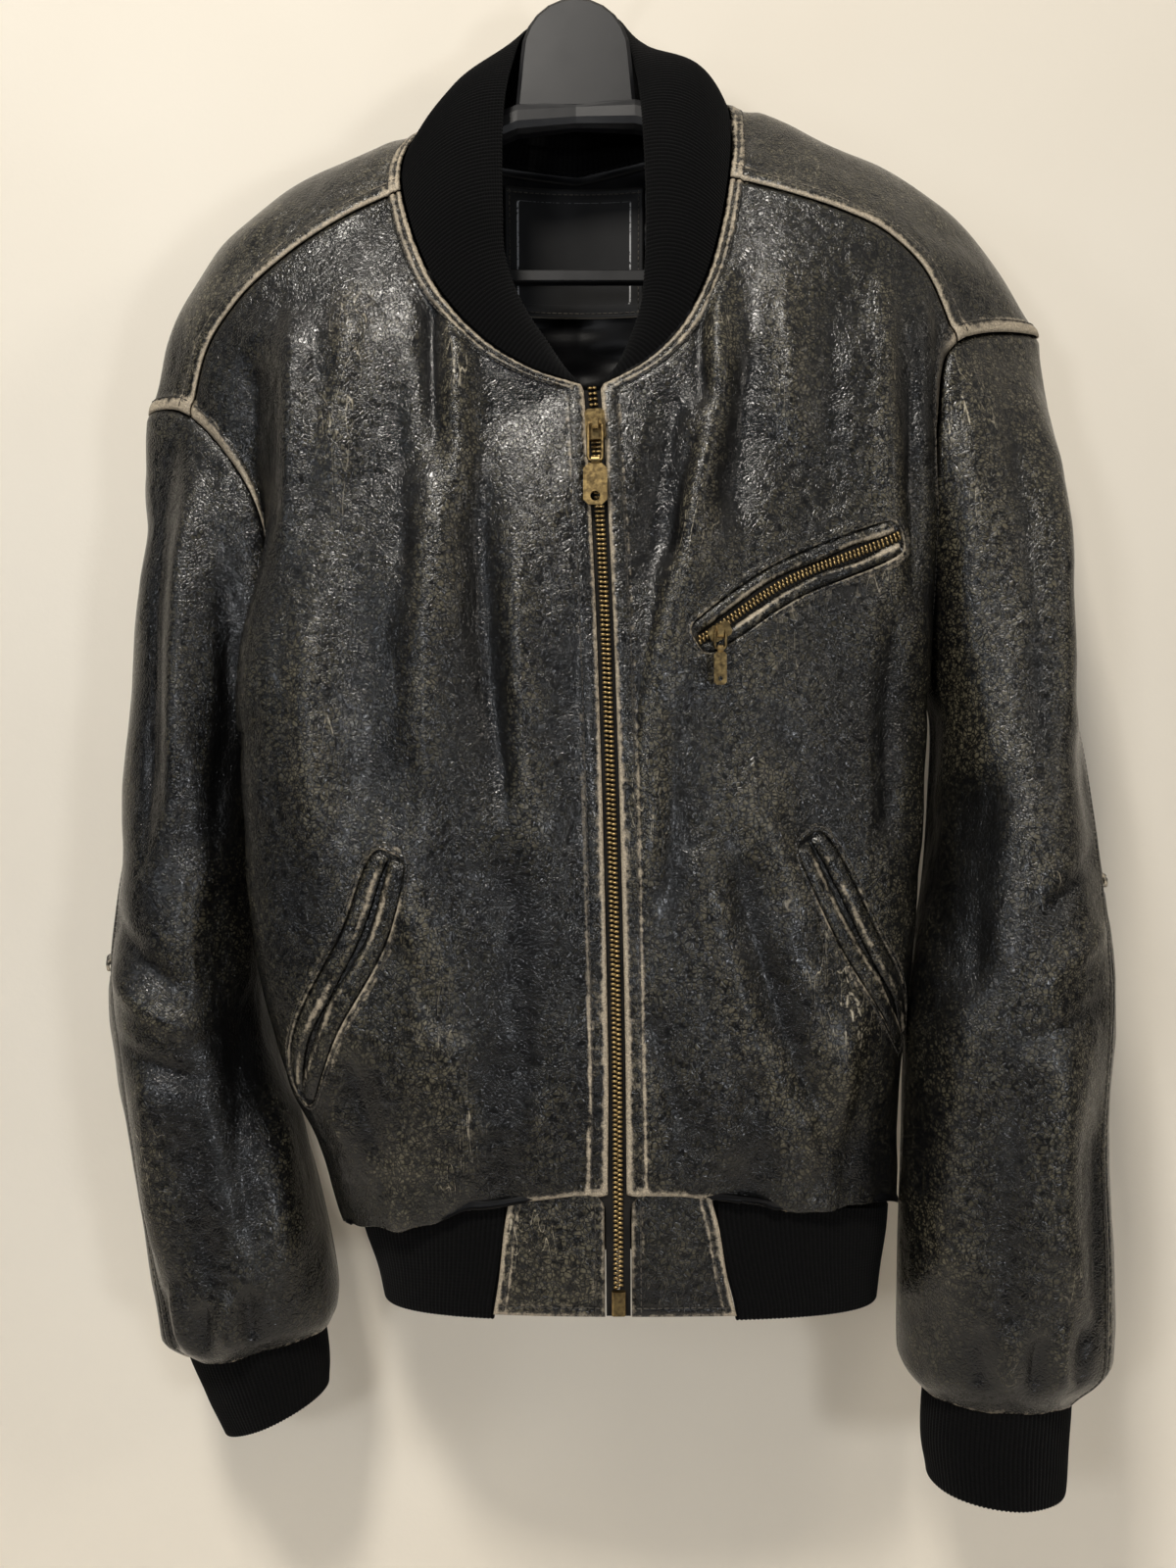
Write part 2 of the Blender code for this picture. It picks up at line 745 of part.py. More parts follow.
def armholeInward(side, angles):
    """The way that the armhole seam's thickness points: halfway between the two walls' insides.

    The walls fold onto each other at 165 degrees, where no way is halfway, so it is left out.
    """
    fixed = np.array([angle for angle in range(-180, 180, 15) if abs(angle) != 165])
    ways = []
    for angle in fixed:
        at = armholePoint(side, np.array([angle - 2.0, angle, angle + 2.0]))
        seam = unit(at[2] - at[0])
        half = sleevePoint(side, np.array([angle, angle + 180.0]), np.array([0.5, 0.5]))
        inSleeve = unit(np.cross(seam, half[0] - at[1]))
        facing = np.sign(inSleeve @ (half.mean(axis=0) - at[1]))
        inBody = unit(np.cross(bodyLeave(side, angle), seam))
        ways.append(unit(facing * (inSleeve + inBody)))
    ways = np.array(ways)
    ways = unit(2 * ways + np.roll(ways, 1, axis=0) + np.roll(ways, -1, axis=0))
    found = [np.interp(np.atleast_1d(angles), fixed, way, period=360.0) for way in ways.T]
    return unit(np.stack(found, axis=-1))


# How far the body and the sleeve each stand off the armhole seam, square to their walls
ARMHOLE_PART = 0.25


def armholeAside(side, angles):
    """The way from the body to the sleeve across the armhole seam, square to the seam and the wall."""
    angles = np.asarray(angles, dtype=float)
    along = armholePoint(side, angles + 2.0) - armholePoint(side, angles - 2.0)
    aside = unit(np.cross(along, armholeInward(side, angles)))
    ring = np.arange(0.0, 360.0, 15.0)
    around = np.cross(armholePoint(side, ring + 2.0) - armholePoint(side, ring - 2.0), armholeInward(side, ring))
    outward = -1.0 if side == "right" else 1.0
    return aside * np.sign(around[:, 0].sum() * outward)


# ---------------------------------------------------------------- the leather body

def panelGrid(part, side):
    points = panelPoints(part, side, COLUMNS if part == "front" else BACK_COLUMNS, ROWS)
    normals = gridNormals(points)
    ahead = -1.0 if part == "front" else 1.0
    middle = normals[len(ROWS) // 2, 3, 1]
    outward = normals * np.sign(middle * ahead)
    inward = -outward
    up = np.array(ROWS)
    hole = up > UNDERARM_AT
    inward[hole, -1] = armholeInward(side, armholeAngle(up[hole], part))
    inward[~hole, -1] = unit(inward[~hole, -2] * np.array([1.0, 0.0, 0.0]))
    inward[-1, :-1] = seamInward(side, points[-1, :-1])
    inward[0], inward[1] = hemInward(part, side, COLUMNS if part == "front" else BACK_COLUMNS)
    if part == "front":
        points[hole, -1] += (unit(points[hole, -2] - points[hole, -1]) * SEAM_GAP
                             - armholeAside(side, armholeAngle(up[hole], part)) * ARMHOLE_PART)
    return points, inward


def seamInward(side, points):
    """From a shoulder seam to the middle line under the shoulder."""
    ridge = RIDGE[side]
    order = np.argsort(ridge["x"])
    level = np.interp(points[..., 0], ridge["x"][order], ridge["z"][order]) - 42.0
    target = np.stack([points[..., 0], 0 * level, np.minimum(level, points[..., 2] + 10)], axis=-1)
    return unit(target - points)


def addFronts(group):
    grids = {}
    for side in ("right", "left"):
        points, inward = panelGrid("front", side)
        grids[side] = points
        addWall(group, "front_" + side, points, inward, LEATHER, "leather")
    return grids


def addBack(group):
    right, rightIn = panelGrid("back", "right")
    left, leftIn = panelGrid("back", "left")
    points = np.concatenate([right[:, ::-1], left[:, 1:]], axis=1)
    inward = np.concatenate([rightIn[:, ::-1], leftIn[:, 1:]], axis=1)
    middle = len(BACK_COLUMNS) - 1
    inward[2:, middle] = -np.array([0.0, 1.0, 0.0])
    for edge, inner in ((0, 1), (-1, -2)):
        room = np.where(np.array(ROWS) < 0.05, 3.0, 1.4)[:, None] * SEAM_GAP
        points[:, edge] += unit(points[:, inner] - points[:, edge]) * room
    addWall(group, "back", points, inward, LEATHER, "leather")
    return points, inward


def shoulderPoints(side, across, over):
    """The shoulder piece: from its front seam (0) over the ridge to its back seam (1)."""
    s, t = np.meshgrid(np.asarray(across, dtype=float), np.asarray(over, dtype=float))
    front = topEdge("front", side, s)
    back = curve(BACK_SEAM[side], "along", "xyz", s)
    neck = curve(NECK[side], "along", "xyz", 1 + t)
    hole = armholePoint(side, YOKE_ANGLE * (1 - 2 * t))
    f, h = t[..., None], s[..., None]
    ruled = front * (1 - f) + back * f
    sides = neck * (1 - h) + hole * h
    corner = {(i, j): (topEdge("front", side, float(i)) if j == 0
                       else curve(BACK_SEAM[side], "along", "xyz", float(i))) for i in (0, 1) for j in (0, 1)}
    twist = ((1 - h) * (1 - f) * corner[0, 0] + h * (1 - f) * corner[1, 0]
             + (1 - h) * f * corner[0, 1] + h * f * corner[1, 1])
    patch = ruled + sides - twist
    middle = np.full_like(t, 0.5)
    m = middle[..., None]
    ruledM = front * (1 - m) + back * m
    sidesM = (curve(NECK[side], "along", "xyz", 1 + middle) * (1 - h)
              + armholePoint(side, YOKE_ANGLE * (1 - 2 * middle)) * h)
    twistM = ((1 - h) * 0.5 * (corner[0, 0] + corner[0, 1]) + h * 0.5 * (corner[1, 0] + corner[1, 1]))
    lift = curve(RIDGE[side], "along", "xyz", s) - (ruledM + sidesM - twistM)
    ends = ease(s, 0.0, 0.12) * (1 - ease(s, 0.9, 1.0))
    arch = 4 * t * (1 - t)
    return patch + lift * (ends * arch)[..., None]


YOKE_OVER = (0.0, 0.25, 0.5, 0.75, 1.0)


def addShoulders(group):
    for side in ("right", "left"):
        points = shoulderPoints(side, COLUMNS, YOKE_OVER)
        normals = gridNormals(points)
        normals *= np.sign(normals[2, 4, 2])
        inward = -normals
        for row in (0, -1):
            inward[row] = seamInward(side, points[row])
        angles = YOKE_ANGLE * (1 - 2 * np.array(YOKE_OVER))
        inward[:, -1] = armholeInward(side, angles)
        # the piece starts just above the panels' top seams
        lift = np.zeros_like(points)
        lift[0] = unit(points[1] - points[0]) * SEAM_GAP
        room = np.where(np.array(COLUMNS) > 0.9, 3.0, 1.2)[:, None] * SEAM_GAP
        lift[-1] = unit(points[-2] - points[-1]) * room
        addWall(group, "shoulder_" + side, points + lift, inward, LEATHER, "leather")


# ---------------------------------------------------------------- sleeves and cuffs

def sectionPoint(rows, index, angle):
    """A point on a sleeve section, as an ellipse between its outermost and innermost point."""
    turn = np.radians(angle)
    out = np.array([rows["outX"][index], rows["midY"][index], rows["outZ"][index]])
    inn = np.array([rows["inX"][index], rows["midY"][index], rows["inZ"][index]])
    ahead = np.array([0.0, -rows["halfY"][index], 0.0])
    return (out + inn) / 2 + (out - inn) / 2 * np.cos(turn)[..., None] + ahead * np.sin(turn)[..., None]


def sleevePoint(side, angle, section):
    """A point on the sleeve: section 0 is the armhole, 9 is the seam with the cuff."""
    angle = np.asarray(angle, dtype=float)
    section = np.asarray(section, dtype=float)
    rings = [armholePoint(side, angle)]
    rings += [sectionPoint(SLEEVE[side], index, angle) for index in range(8)]
    rings.append(cuffSeat(side, angle))
    rings = np.stack(rings)
    knots = np.arange(10.0)
    slopes = np.gradient(rings, knots, axis=0)
    slopes[8] *= 0.5
    low = np.clip(np.floor(section).astype(int), 0, 8)
    u = (section - low)[..., None]
    pick = np.indices(angle.shape)
    start, end = rings[(low, *pick)], rings[(low + 1, *pick)]
    leave, arrive = slopes[(low, *pick)], slopes[(low + 1, *pick)]
    return (start * (2 * u**3 - 3 * u**2 + 1) + leave * (u**3 - 2 * u**2 + u)
            + end * (3 * u**2 - 2 * u**3) + arrive * (u**3 - u**2))


def cuffPoint(side, angle, down):
    rows = CUFF[side]
    rings = np.stack([sectionPoint(rows, index, angle) for index in range(4)])
    return smooth(np.array([0.0, 0.3, 0.6, 1.0]), rings.reshape(4, -1), np.array(down)).reshape(angle.shape + (3,))


def cuffSeat(side, angle):
    """The ring round the cuff where the leather ends."""
    flat = np.asarray(angle, dtype=float)
    ring = cuffPoint(side, flat, 0.3)
    middle = (cuffPoint(side, np.array([0.0, 180.0]), 0.3)).mean(axis=0)
    return ring + unit(ring - middle) * (SEAM_GAP + 0.2)


SLEEVE_ROWS = (0.0, 0.45, 1.1, 1.8, 2.6, 3.3, 4.0, 4.7, 5.6, 6.6, 7.5, 8.1, 8.6, 9.0)


def sleeveAngles(rows, kind):
    """Angles of a sleeve piece: columns fixed at the armhole, eased to its two seams below."""
    rows = np.asarray(rows, dtype=float)
    outer = smooth(SLEEVE_SEAMS["section"], SLEEVE_SEAMS["outer"], rows)
    under = smooth(SLEEVE_SEAMS["section"], SLEEVE_SEAMS["under"], rows)
    if kind == "front":
        first, last = outer, under
        start, end = SLEEVE_SEAMS["outer"][0], SLEEVE_SEAMS["under"][0]
        ring = np.concatenate([YOKE_ANGLE * np.linspace(-1.0, 1.0, 5),
                               armholeAngle(np.array(ROWS[8:-1]), "front")[::-1], [180.0, end]])
    else:
        first, last = under, outer + 360.0
        start, end = SLEEVE_SEAMS["under"][0], SLEEVE_SEAMS["outer"][0] + 360.0
        middle = armholeAngle(np.array(ROWS[8:]), "back")
        ring = np.concatenate([[start], middle[(middle > start + 2) & (middle < end - 2)], [end]])
    share = (ring - start) / (end - start)
    return first[:, None] + (last - first)[:, None] * share[None, :]


def sleeveWall(group, name, side, rows, kind, trimFirst, trimLast):
    rows = np.asarray(rows, dtype=float)
    angles = sleeveAngles(rows, kind)
    sections = np.repeat(rows[:, None], angles.shape[1], axis=1)
    points = sleevePoint(side, angles, sections)
    normals = gridNormals(points)
    centre = (sleevePoint(side, angles * 0, sections) + sleevePoint(side, angles * 0 + 180, sections)) / 2
    away = np.sum(normals * (points - centre), axis=-1).mean()
    normals *= np.sign(away)
    inward = -normals
    if rows[0] == 0:
        inward[0] = armholeInward(side, angles[0])
        points[0] += unit(points[1] - points[0]) * (SEAM_GAP + 0.1) + armholeAside(side, angles[0]) * ARMHOLE_PART
    if rows[-1] == 9:
        inward[-1] = np.array([0.0, 0.0, 1.0])
    # both long seams point at the sleeve's middle, a gap apart
    for column, step in ((0, 1), (-1, -1)):
        edge = points[:, column]
        inner = points[:, column + step]
        inward[1:, column] = unit(centre[1:, column] - edge[1:])
        if rows[-1] == 9:
            inward[-1, column] = np.array([0.0, 0.0, 1.0])
        points[:, column] = edge + unit(inner - edge) * (SEAM_GAP * 0.9)
    if trimFirst:
        points[0] += unit(points[1] - points[0]) * trimFirst
    if trimLast:
        points[-1] += unit(points[-2] - points[-1]) * trimLast
    order = slice(None, None, -1 if kind == "front" else 1)
    addWall(group, name, points[:, order], inward[:, order], LEATHER, "leather")


def addSleeves(group):
    rows = np.array(SLEEVE_ROWS)
    upper = rows[rows <= ELBOW_SECTION]
    lower = rows[rows >= ELBOW_SECTION]
    for side in ("right", "left"):
        sleeveWall(group, "sleeve_" + side + "_front", side, rows, "front", 0, 0)
        sleeveWall(group, "sleeve_" + side + "_back_upper", side, upper, "back", 0, SEAM_GAP)
        sleeveWall(group, "sleeve_" + side + "_back_lower", side, lower, "back", SEAM_GAP, 0)


def addCuffs(group):
    for side in ("right", "left"):
        angles = sleeveAngles(np.array([9.0]), "front")[0]
        backs = sleeveAngles(np.array([9.0]), "back")[0][1:-1]
        ring = np.concatenate([angles, backs])
        rows = [cuffPoint(side, ring, down) for down in (0.0, 0.3, 0.65, 1.0)]
        points = np.stack(rows)
        centre = points.mean(axis=1, keepdims=True)
        inward = unit(centre - points)
        addWall(group, "cuff_" + side, points, inward, KNIT, "knit", closed=True)


# ---------------------------------------------------------------- waistband, hem tabs and collar

BAND_DOWN = (0.0, 0.15, 0.6, 1.0)
TAB_DOWN = (0.15, 0.55, 0.97)
# The outer edge of each hem tab, at its top and at its foot, and how far the tabs stay off the zip
TAB_EDGE = {"right": (-36.0, -43.0), "left": (74.0, 85.0)}
TAB_CLEAR = 7.0


def bandInward(points):
    middle = np.array([27.0, -21.0, 0.0])
    return unit((middle - points) * np.array([0.25, 1.0, 0.0]))


def addWaistband(group):
    columns = np.array(BACK_COLUMNS)
    knit = np.array(COLUMNS)
    right = hemAngle("front", "right", knit)
    backRight = hemAngle("back", "right", columns[::-1])
    backLeft = hemAngle("back", "left", columns) + 360.0
    left = hemAngle("front", "left", knit[::-1]) + 360.0
    ends = tabAngle("right"), tabAngle("left") + 360.0
    between = np.concatenate([right, backRight[1:], backLeft[1:], left[1:]])
    between = np.unique(np.round(between, 4))
    between = between[(between > ends[0] + 6) & (between < ends[1] - 6)]
    angles = np.concatenate([[ends[0]], between, [ends[1]]])
    points = np.stack([bandPoint(angles, down) for down in BAND_DOWN])
    for column, side, shift in ((0, "right", -1.0), (-1, "left", 1.0)):
        top, foot = TAB_EDGE[side]
        share = (np.array(BAND_DOWN) - TAB_DOWN[0]) / (TAB_DOWN[-1] - TAB_DOWN[0])
        points[:, column, 0] = top + (foot - top) * share + shift * SEAM_GAP * 1.5
    inward = bandInward(points)
    inward[:, (0, -1)] = [0.0, 1.0, 0.0]
    addWall(group, "waistband", points, inward, KNIT, "knit")


def tabPoints(side, across, down):
    """A hem tab's outer face, on the line of the waistband; across 0 is beside the zip."""
    top, foot = TAB_EDGE[side]
    shift = 1.0 if side == "left" else -1.0
    ring = bandPoint(np.linspace(-60.0, 60.0, 121), down)
    share = (down - TAB_DOWN[0]) / (TAB_DOWN[-1] - TAB_DOWN[0])
    start = zipPoint(ring[60, 2])[0] + shift * TAB_CLEAR
    end = top + (foot - top) * share
    x = start + (end - start) * np.asarray(across)
    order = np.argsort(ring[:, 0])
    y, z = (np.interp(x, ring[order, 0], ring[order, place]) for place in (1, 2))
    return np.stack([x, y - SEAM_GAP, z], axis=-1)


def tabAngle(side):
    """The waistband angle where the knit meets a hem tab."""
    ring = np.linspace(-60.0, 60.0, 481)
    tops = bandPoint(ring, 0.0)[:, 0]
    return float(ring[np.argmin(np.abs(tops - TAB_EDGE[side][0]))])


def addHemTabs(group):
    """Leather tabs at the ends of the waistband, carrying the lower end of the zip."""
    for side in ("right", "left"):
        points = np.stack([tabPoints(side, np.linspace(0.0, 1.0, 4), down) for down in TAB_DOWN])
        inward = np.zeros_like(points)
        inward[..., 1] = 1.0
        addWall(group, "hem_tab_" + side, points, inward, KNIT, "leather")


def collarRow(side):
    """Seam points and free-edge points of the collar, from the zip to the middle of the back."""
    ups = np.array([row for row in ROWS if row >= NECK_AT])
    along = np.concatenate([(ups - NECK_AT) / (1 - NECK_AT), 1 + np.array(YOKE_OVER[1:])])
    seam = curve(NECK[side], "along", "xyz", along)
    shares = np.array([0.5, 0.0])
    back = topEdge("back", side, shares * NECK_SHARE)
    seam = np.concatenate([seam, back])
    along = np.concatenate([along, 3 - shares])
    edge = curve(COLLAR_EDGE[side], "along", "xyz", along)
    bulge = smooth(COLLAR_EDGE[side]["along"], COLLAR_EDGE[side]["bulge"], along)
    return seam, edge, bulge


COLLAR_UP = (0.0, 0.3, 0.65, 1.0)
COLLAR_START = 1.5


def addCollar(group):
    rightSeam, rightEdge, rightBulge = collarRow("right")
    leftSeam, leftEdge, leftBulge = collarRow("left")
    seam = np.concatenate([rightSeam, leftSeam[-2::-1]])
    edge = np.concatenate([rightEdge, leftEdge[-2::-1]])
    bulge = np.concatenate([rightBulge, leftBulge[-2::-1]])
    start = seam + unit(edge - seam) * COLLAR_START
    along = np.gradient(seam, axis=0)
    out = unit(np.cross(edge - seam, along))
    rows = []
    for up in COLLAR_UP:
        row = start + (edge - start) * up
        rows.append(row + out * (bulge * 4 * up * (1 - up))[:, None])
    points = np.stack(rows)
    inward = np.repeat(-out[None], len(COLLAR_UP), axis=0)
    inward[0] = unit(0.6 * unit(edge - seam) - out)
    addWall(group, "collar", points, inward, KNIT, "knit")


# ---------------------------------------------------------------- lining, patch and hanger

LINING_REACH = 4
LINING_FROM = 0.68


def addLining(group, backPoints, backInward):
    """The satin that shows through the neck, laid inside the back."""
    middle = len(BACK_COLUMNS) - 1
    area = (slice(ROWS.index(LINING_FROM), None), slice(middle - LINING_REACH, middle + LINING_REACH + 1))
    face, inward = backPoints[area].copy(), backInward[area].copy()
    face[-1] = face[-2] + (face[-1] - face[-2]) * 0.8
    inward[-1] = inward[-2]
    outer = face + inward * (LEATHER + LAY_GAP)
    addWall(group, "lining_back", outer, inward, SATIN, "satin")
    return outer + inward * SATIN


PATCH = {"x": -1.5, "z": -200.0, "halfX": 42.5, "halfZ": 38.0, "thick": 1.6}


def addPatch(group, liningFace):
    """A bare leather patch laid on the lining."""
    tree = treeFrom(liningFace)
    x, z = np.meshgrid(PATCH["x"] + PATCH["halfX"] * np.linspace(-1, 1, 5),
                       PATCH["z"] + PATCH["halfZ"] * np.linspace(-1, 1, 5))
    start = np.stack([x, 0 * x - 50.0, z], axis=-1)
    back = castOnto(tree, start, np.broadcast_to([0.0, 1.0, 0.0], start.shape))
    ahead = np.broadcast_to([0.0, -1.0, 0.0], back.shape)
    addWall(group, "label_patch", back + ahead * (LAY_GAP + PATCH["thick"]), -ahead, PATCH["thick"], "patch")


# ---------------------------------------------------------------- pieces laid on the panels

def treeFrom(points):
    """Search tree of a grid of points, for casting rays onto it."""
    rows, cols = points.shape[:2]
    faces = []
    for row in range(rows - 1):
        for col in range(cols - 1):
            a = row * cols + col
            faces += [(a, a + 1, a + cols + 1), (a, a + cols + 1, a + cols)]
    return BVHTree.FromPolygons([Vector(p) for p in points.reshape(-1, 3)], faces)


CAST_REACH = 200.0
CAST_NUDGES = (0.0, 0.02, -0.02, 0.05, -0.05)


def castOnto(tree, starts, ways):
    """Where rays meet the surface; a ray that slips between two faces starts again a hair aside."""
    hits = np.array(starts, dtype=float)
    for place in np.ndindex(hits.shape[:-1]):
        for nudge in CAST_NUDGES:
            start = Vector(starts[place]) + Vector((nudge, nudge, nudge * 0.5))
            point = tree.ray_cast(start, Vector(ways[place]), CAST_REACH)[0]
            if point is not None:
                hits[place] = point
                break
        else:
            raise ValueError("a laid piece reaches past the surface under it")
    return hits


# Lines of the pockets on the fronts, as shares across and up the panel
POCKET_LINE = {
    "chest": table(
        "along across up",
        (0.0, 0.117, 0.433),
        (0.5, 0.300, 0.512),
        (1.0, 0.577, 0.595)),
    "hand_right": table(
        "along across up",
        (0.0, 0.253, 0.298),
        (0.5, 0.345, 0.220),
        (1.0, 0.620, 0.125)),
    "hand_left": table(
        "along across up",
        (0.0, 0.307, 0.303),
        (0.5, 0.460, 0.226),
        (1.0, 0.720, 0.152))}
LAY_STEPS = 6
LIP_HIGH = 2.0
LIP_ROUND = (0.3, 0.85, 1.0, 0.85, 0.3)
# Each lip: its pocket, the panel it lies on, and its offsets from the line at middle and ends
LIPS = {
    "chest_lip_upper": ("chest", "left", (3.3, 10.4), (3.3, 8.0)),
    "chest_lip_lower": ("chest", "left", (-10.4, -3.3), (-8.0, -3.3)),
    "hand_right_lip_front": ("hand_right", "right", (0.9, 12.0), (0.7, 6.5)),
    "hand_right_lip_side": ("hand_right", "right", (-12.0, -0.9), (-6.5, -0.7)),
    "hand_left_lip_side": ("hand_left", "left", (0.9, 11.5), (0.7, 6.5)),
    "hand_left_lip_front": ("hand_left", "left", (-11.5, -0.9), (-6.5, -0.7))}


def pocketFrame(pocket, side, along):
    """Points on a pocket's line, with the panel's normal and the way across the pocket."""
    line = POCKET_LINE[pocket]
    s, t = (smooth(line["along"], line[name], along) for name in ("across", "up"))
    step = 0.004
    middle = panelAt("front", side, s, t)
    toSide = panelAt("front", side, s + step, t) - middle
    toTop = panelAt("front", side, s, t + step) - middle
    normal = unit(np.cross(toSide, toTop))
    normal *= -np.sign(normal[..., 1:2])
    ahead = unit(np.gradient(middle, axis=0))
    return middle, normal, unit(np.cross(normal, ahead))


def laidFace(pocket, side, tree, along, offsets):
    """The panel's face under a strip along a pocket, raised where the panel bulges between points."""
    fine = np.linspace(along[0], along[-1], (len(along) - 1) * LAY_STEPS + 1)
    middle, normal, across = pocketFrame(pocket, side, fine)
    wide = np.stack([np.interp(fine, along, column) for column in offsets.T], axis=-1)
    spread = middle[:, None] + across[:, None] * wide[..., None]
    normals = np.repeat(normal[:, None], wide.shape[1], axis=1)
    hits = castOnto(tree, spread + normals * 15.0, -normals)
    coarse = hits[::LAY_STEPS]
    chord = np.stack([[np.interp(fine, along, coarse[:, col, axis]) for col in range(wide.shape[1])]
                      for axis in range(3)]).transpose(2, 1, 0)
    bulge = np.sum((hits - chord) * normals, axis=-1).clip(0.0)
    lift = np.zeros(len(along))
    for seat in range(len(along) - 1):
        most = bulge[seat * LAY_STEPS:(seat + 1) * LAY_STEPS + 1].max()
        lift[seat:seat + 2] = np.maximum(lift[seat:seat + 2], most)
    return coarse + normals[::LAY_STEPS] * lift[:, None, None], normals[::LAY_STEPS]


def addPockets(group, grids):
    along = np.linspace(0.0, 1.0, 10)
    belly = 1 - np.abs(2 * along - 1) ** 3
    trees = {side: treeFrom(grids[side]) for side in grids}
    for name, (pocket, side, middle, ends) in LIPS.items():
        low, high = (ends[i] + (middle[i] - ends[i]) * belly for i in (0, 1))
        share = np.linspace(0.0, 1.0, len(LIP_ROUND))
        offsets = low[:, None] + (high - low)[:, None] * share
        face, normals = laidFace(pocket, side, trees[side], along, offsets)
        tall = LIP_HIGH * np.array(LIP_ROUND)[None, :, None]
        under = face + normals * LAY_GAP
        addObject(group, name, wallMesh(name, under + normals * tall, under), "leather")
    offsets = np.broadcast_to(CHAIN_WIDTH * np.array([-0.5, 0.0, 0.5]), (len(along), 3))
    face, normals = laidFace("chest", "left", trees["left"], along, offsets)
    under = face + normals * LAY_GAP
    addObject(group, "chest_chain", wallMesh("chest_chain", under + normals * 1.7, under), "brass")
    return trees["left"]


# ---------------------------------------------------------------- zips

def addFrontZip(group, grids):
    """Two tapes behind the fly edges, and the chain from the box up to the slider."""
    below = np.array([-803.0, -775.0, -749.0, -743.0, -733.0])
    wide = TAB_CLEAR - 0.5
    inner, outer = np.array([4.0, 4.0, 4.0, 3.3, 3.3]), np.array([wide, wide, wide, 4.2, 4.2])
    behind = np.array([1.0, 1.0, 1.0, 1.6, 2.4])
    for side, shift in (("right", -1.0), ("left", 1.0)):
        grid = grids[side][1:ROWS.index(NECK_AT) + 1].copy()
        grid[0] = grid[0] * 0.75 + grid[1] * 0.25
        edge, ahead = grid[:, 0], unit(grid[:, 1] - grid[:, 0])
        columns = []
        for low, high in ((inner, 3.3), (outer, TAPE_WIDTH)):
            foot = zipPoint(below)
            foot[:, 0] += shift * low
            foot[:, 1] += behind
            upper = edge + ahead * (high - FLY_HALF) + np.array([0.0, LEATHER + 0.6, 0.0])
            upper[-1] += unit(upper[-2] - upper[-1]) * 6.0
            columns.append(np.concatenate([foot, upper]))
        points = np.stack(columns, axis=1)
        inward = np.broadcast_to([0.0, 1.0, 0.0], points.shape)
        addWall(group, "zip_tape_" + side, points, inward, TAPE_THICK, "tape")
    levels = np.concatenate([[BOX_TOP], np.linspace(-770.0, -380.0, 14), [SLIDER_Z - 8.4]])
    chainStrip(group, "zip_chain", levels, -CHAIN_WIDTH / 2, CHAIN_WIDTH / 2)
    levels = np.array([SLIDER_Z + 8.4, ZIP_TOP - 1.0])
    chainStrip(group, "zip_teeth_right", levels, -CHAIN_WIDTH / 2, -0.3)
    chainStrip(group, "zip_teeth_left", levels, 0.3, CHAIN_WIDTH / 2)
    middle = zipPoint(BOX_TOP - 6.5)
    body = prism("zip_box", middle + [0, -0.8, -6.2], middle + [0, -0.8, 6.2],
                 cutCorners("xy", 7.0, 4.6, 0.8))
    addObject(group, "zip_box", body, "brass")


def chainStrip(group, name, levels, low, high):
    points = zipPoint(levels)[:, None] + np.array([[low, -0.4, 0.0], [high, -0.4, 0.0]])
    inward = np.broadcast_to([0.0, 1.0, 0.0], points.shape)
    addWall(group, name, points, inward, CHAIN_THICK, "brass")


BOX_TOP = -789.0
SLIDER_Z = -337.0

# Sliders and their pulls: body width, height and thickness, wire of the link, the link's width
# and length, the tab's width, length and thickness, and the radius of the hole at its foot
PULLS = {
    "zip": {"body": (10.5, 16.0, 3.4), "wire": 0.85, "link": (7.4, 20.0),
            "tab": (12.5, 22.0, 1.6), "hole": 2.6},
    "chest": {"body": (8.0, 12.0, 2.8), "wire": 0.7, "link": (5.6, 9.0),
              "tab": (6.5, 17.0, 1.4), "hole": 1.2}}
EYE = 1.5


def leanMatrix(degrees):
    """Turn about X that carries the foot of a hanging piece away from the cloth."""
    turn = math.radians(degrees)
    return np.array([[1, 0, 0], [0, math.cos(turn), math.sin(turn)], [0, -math.sin(turn), math.cos(turn)]])


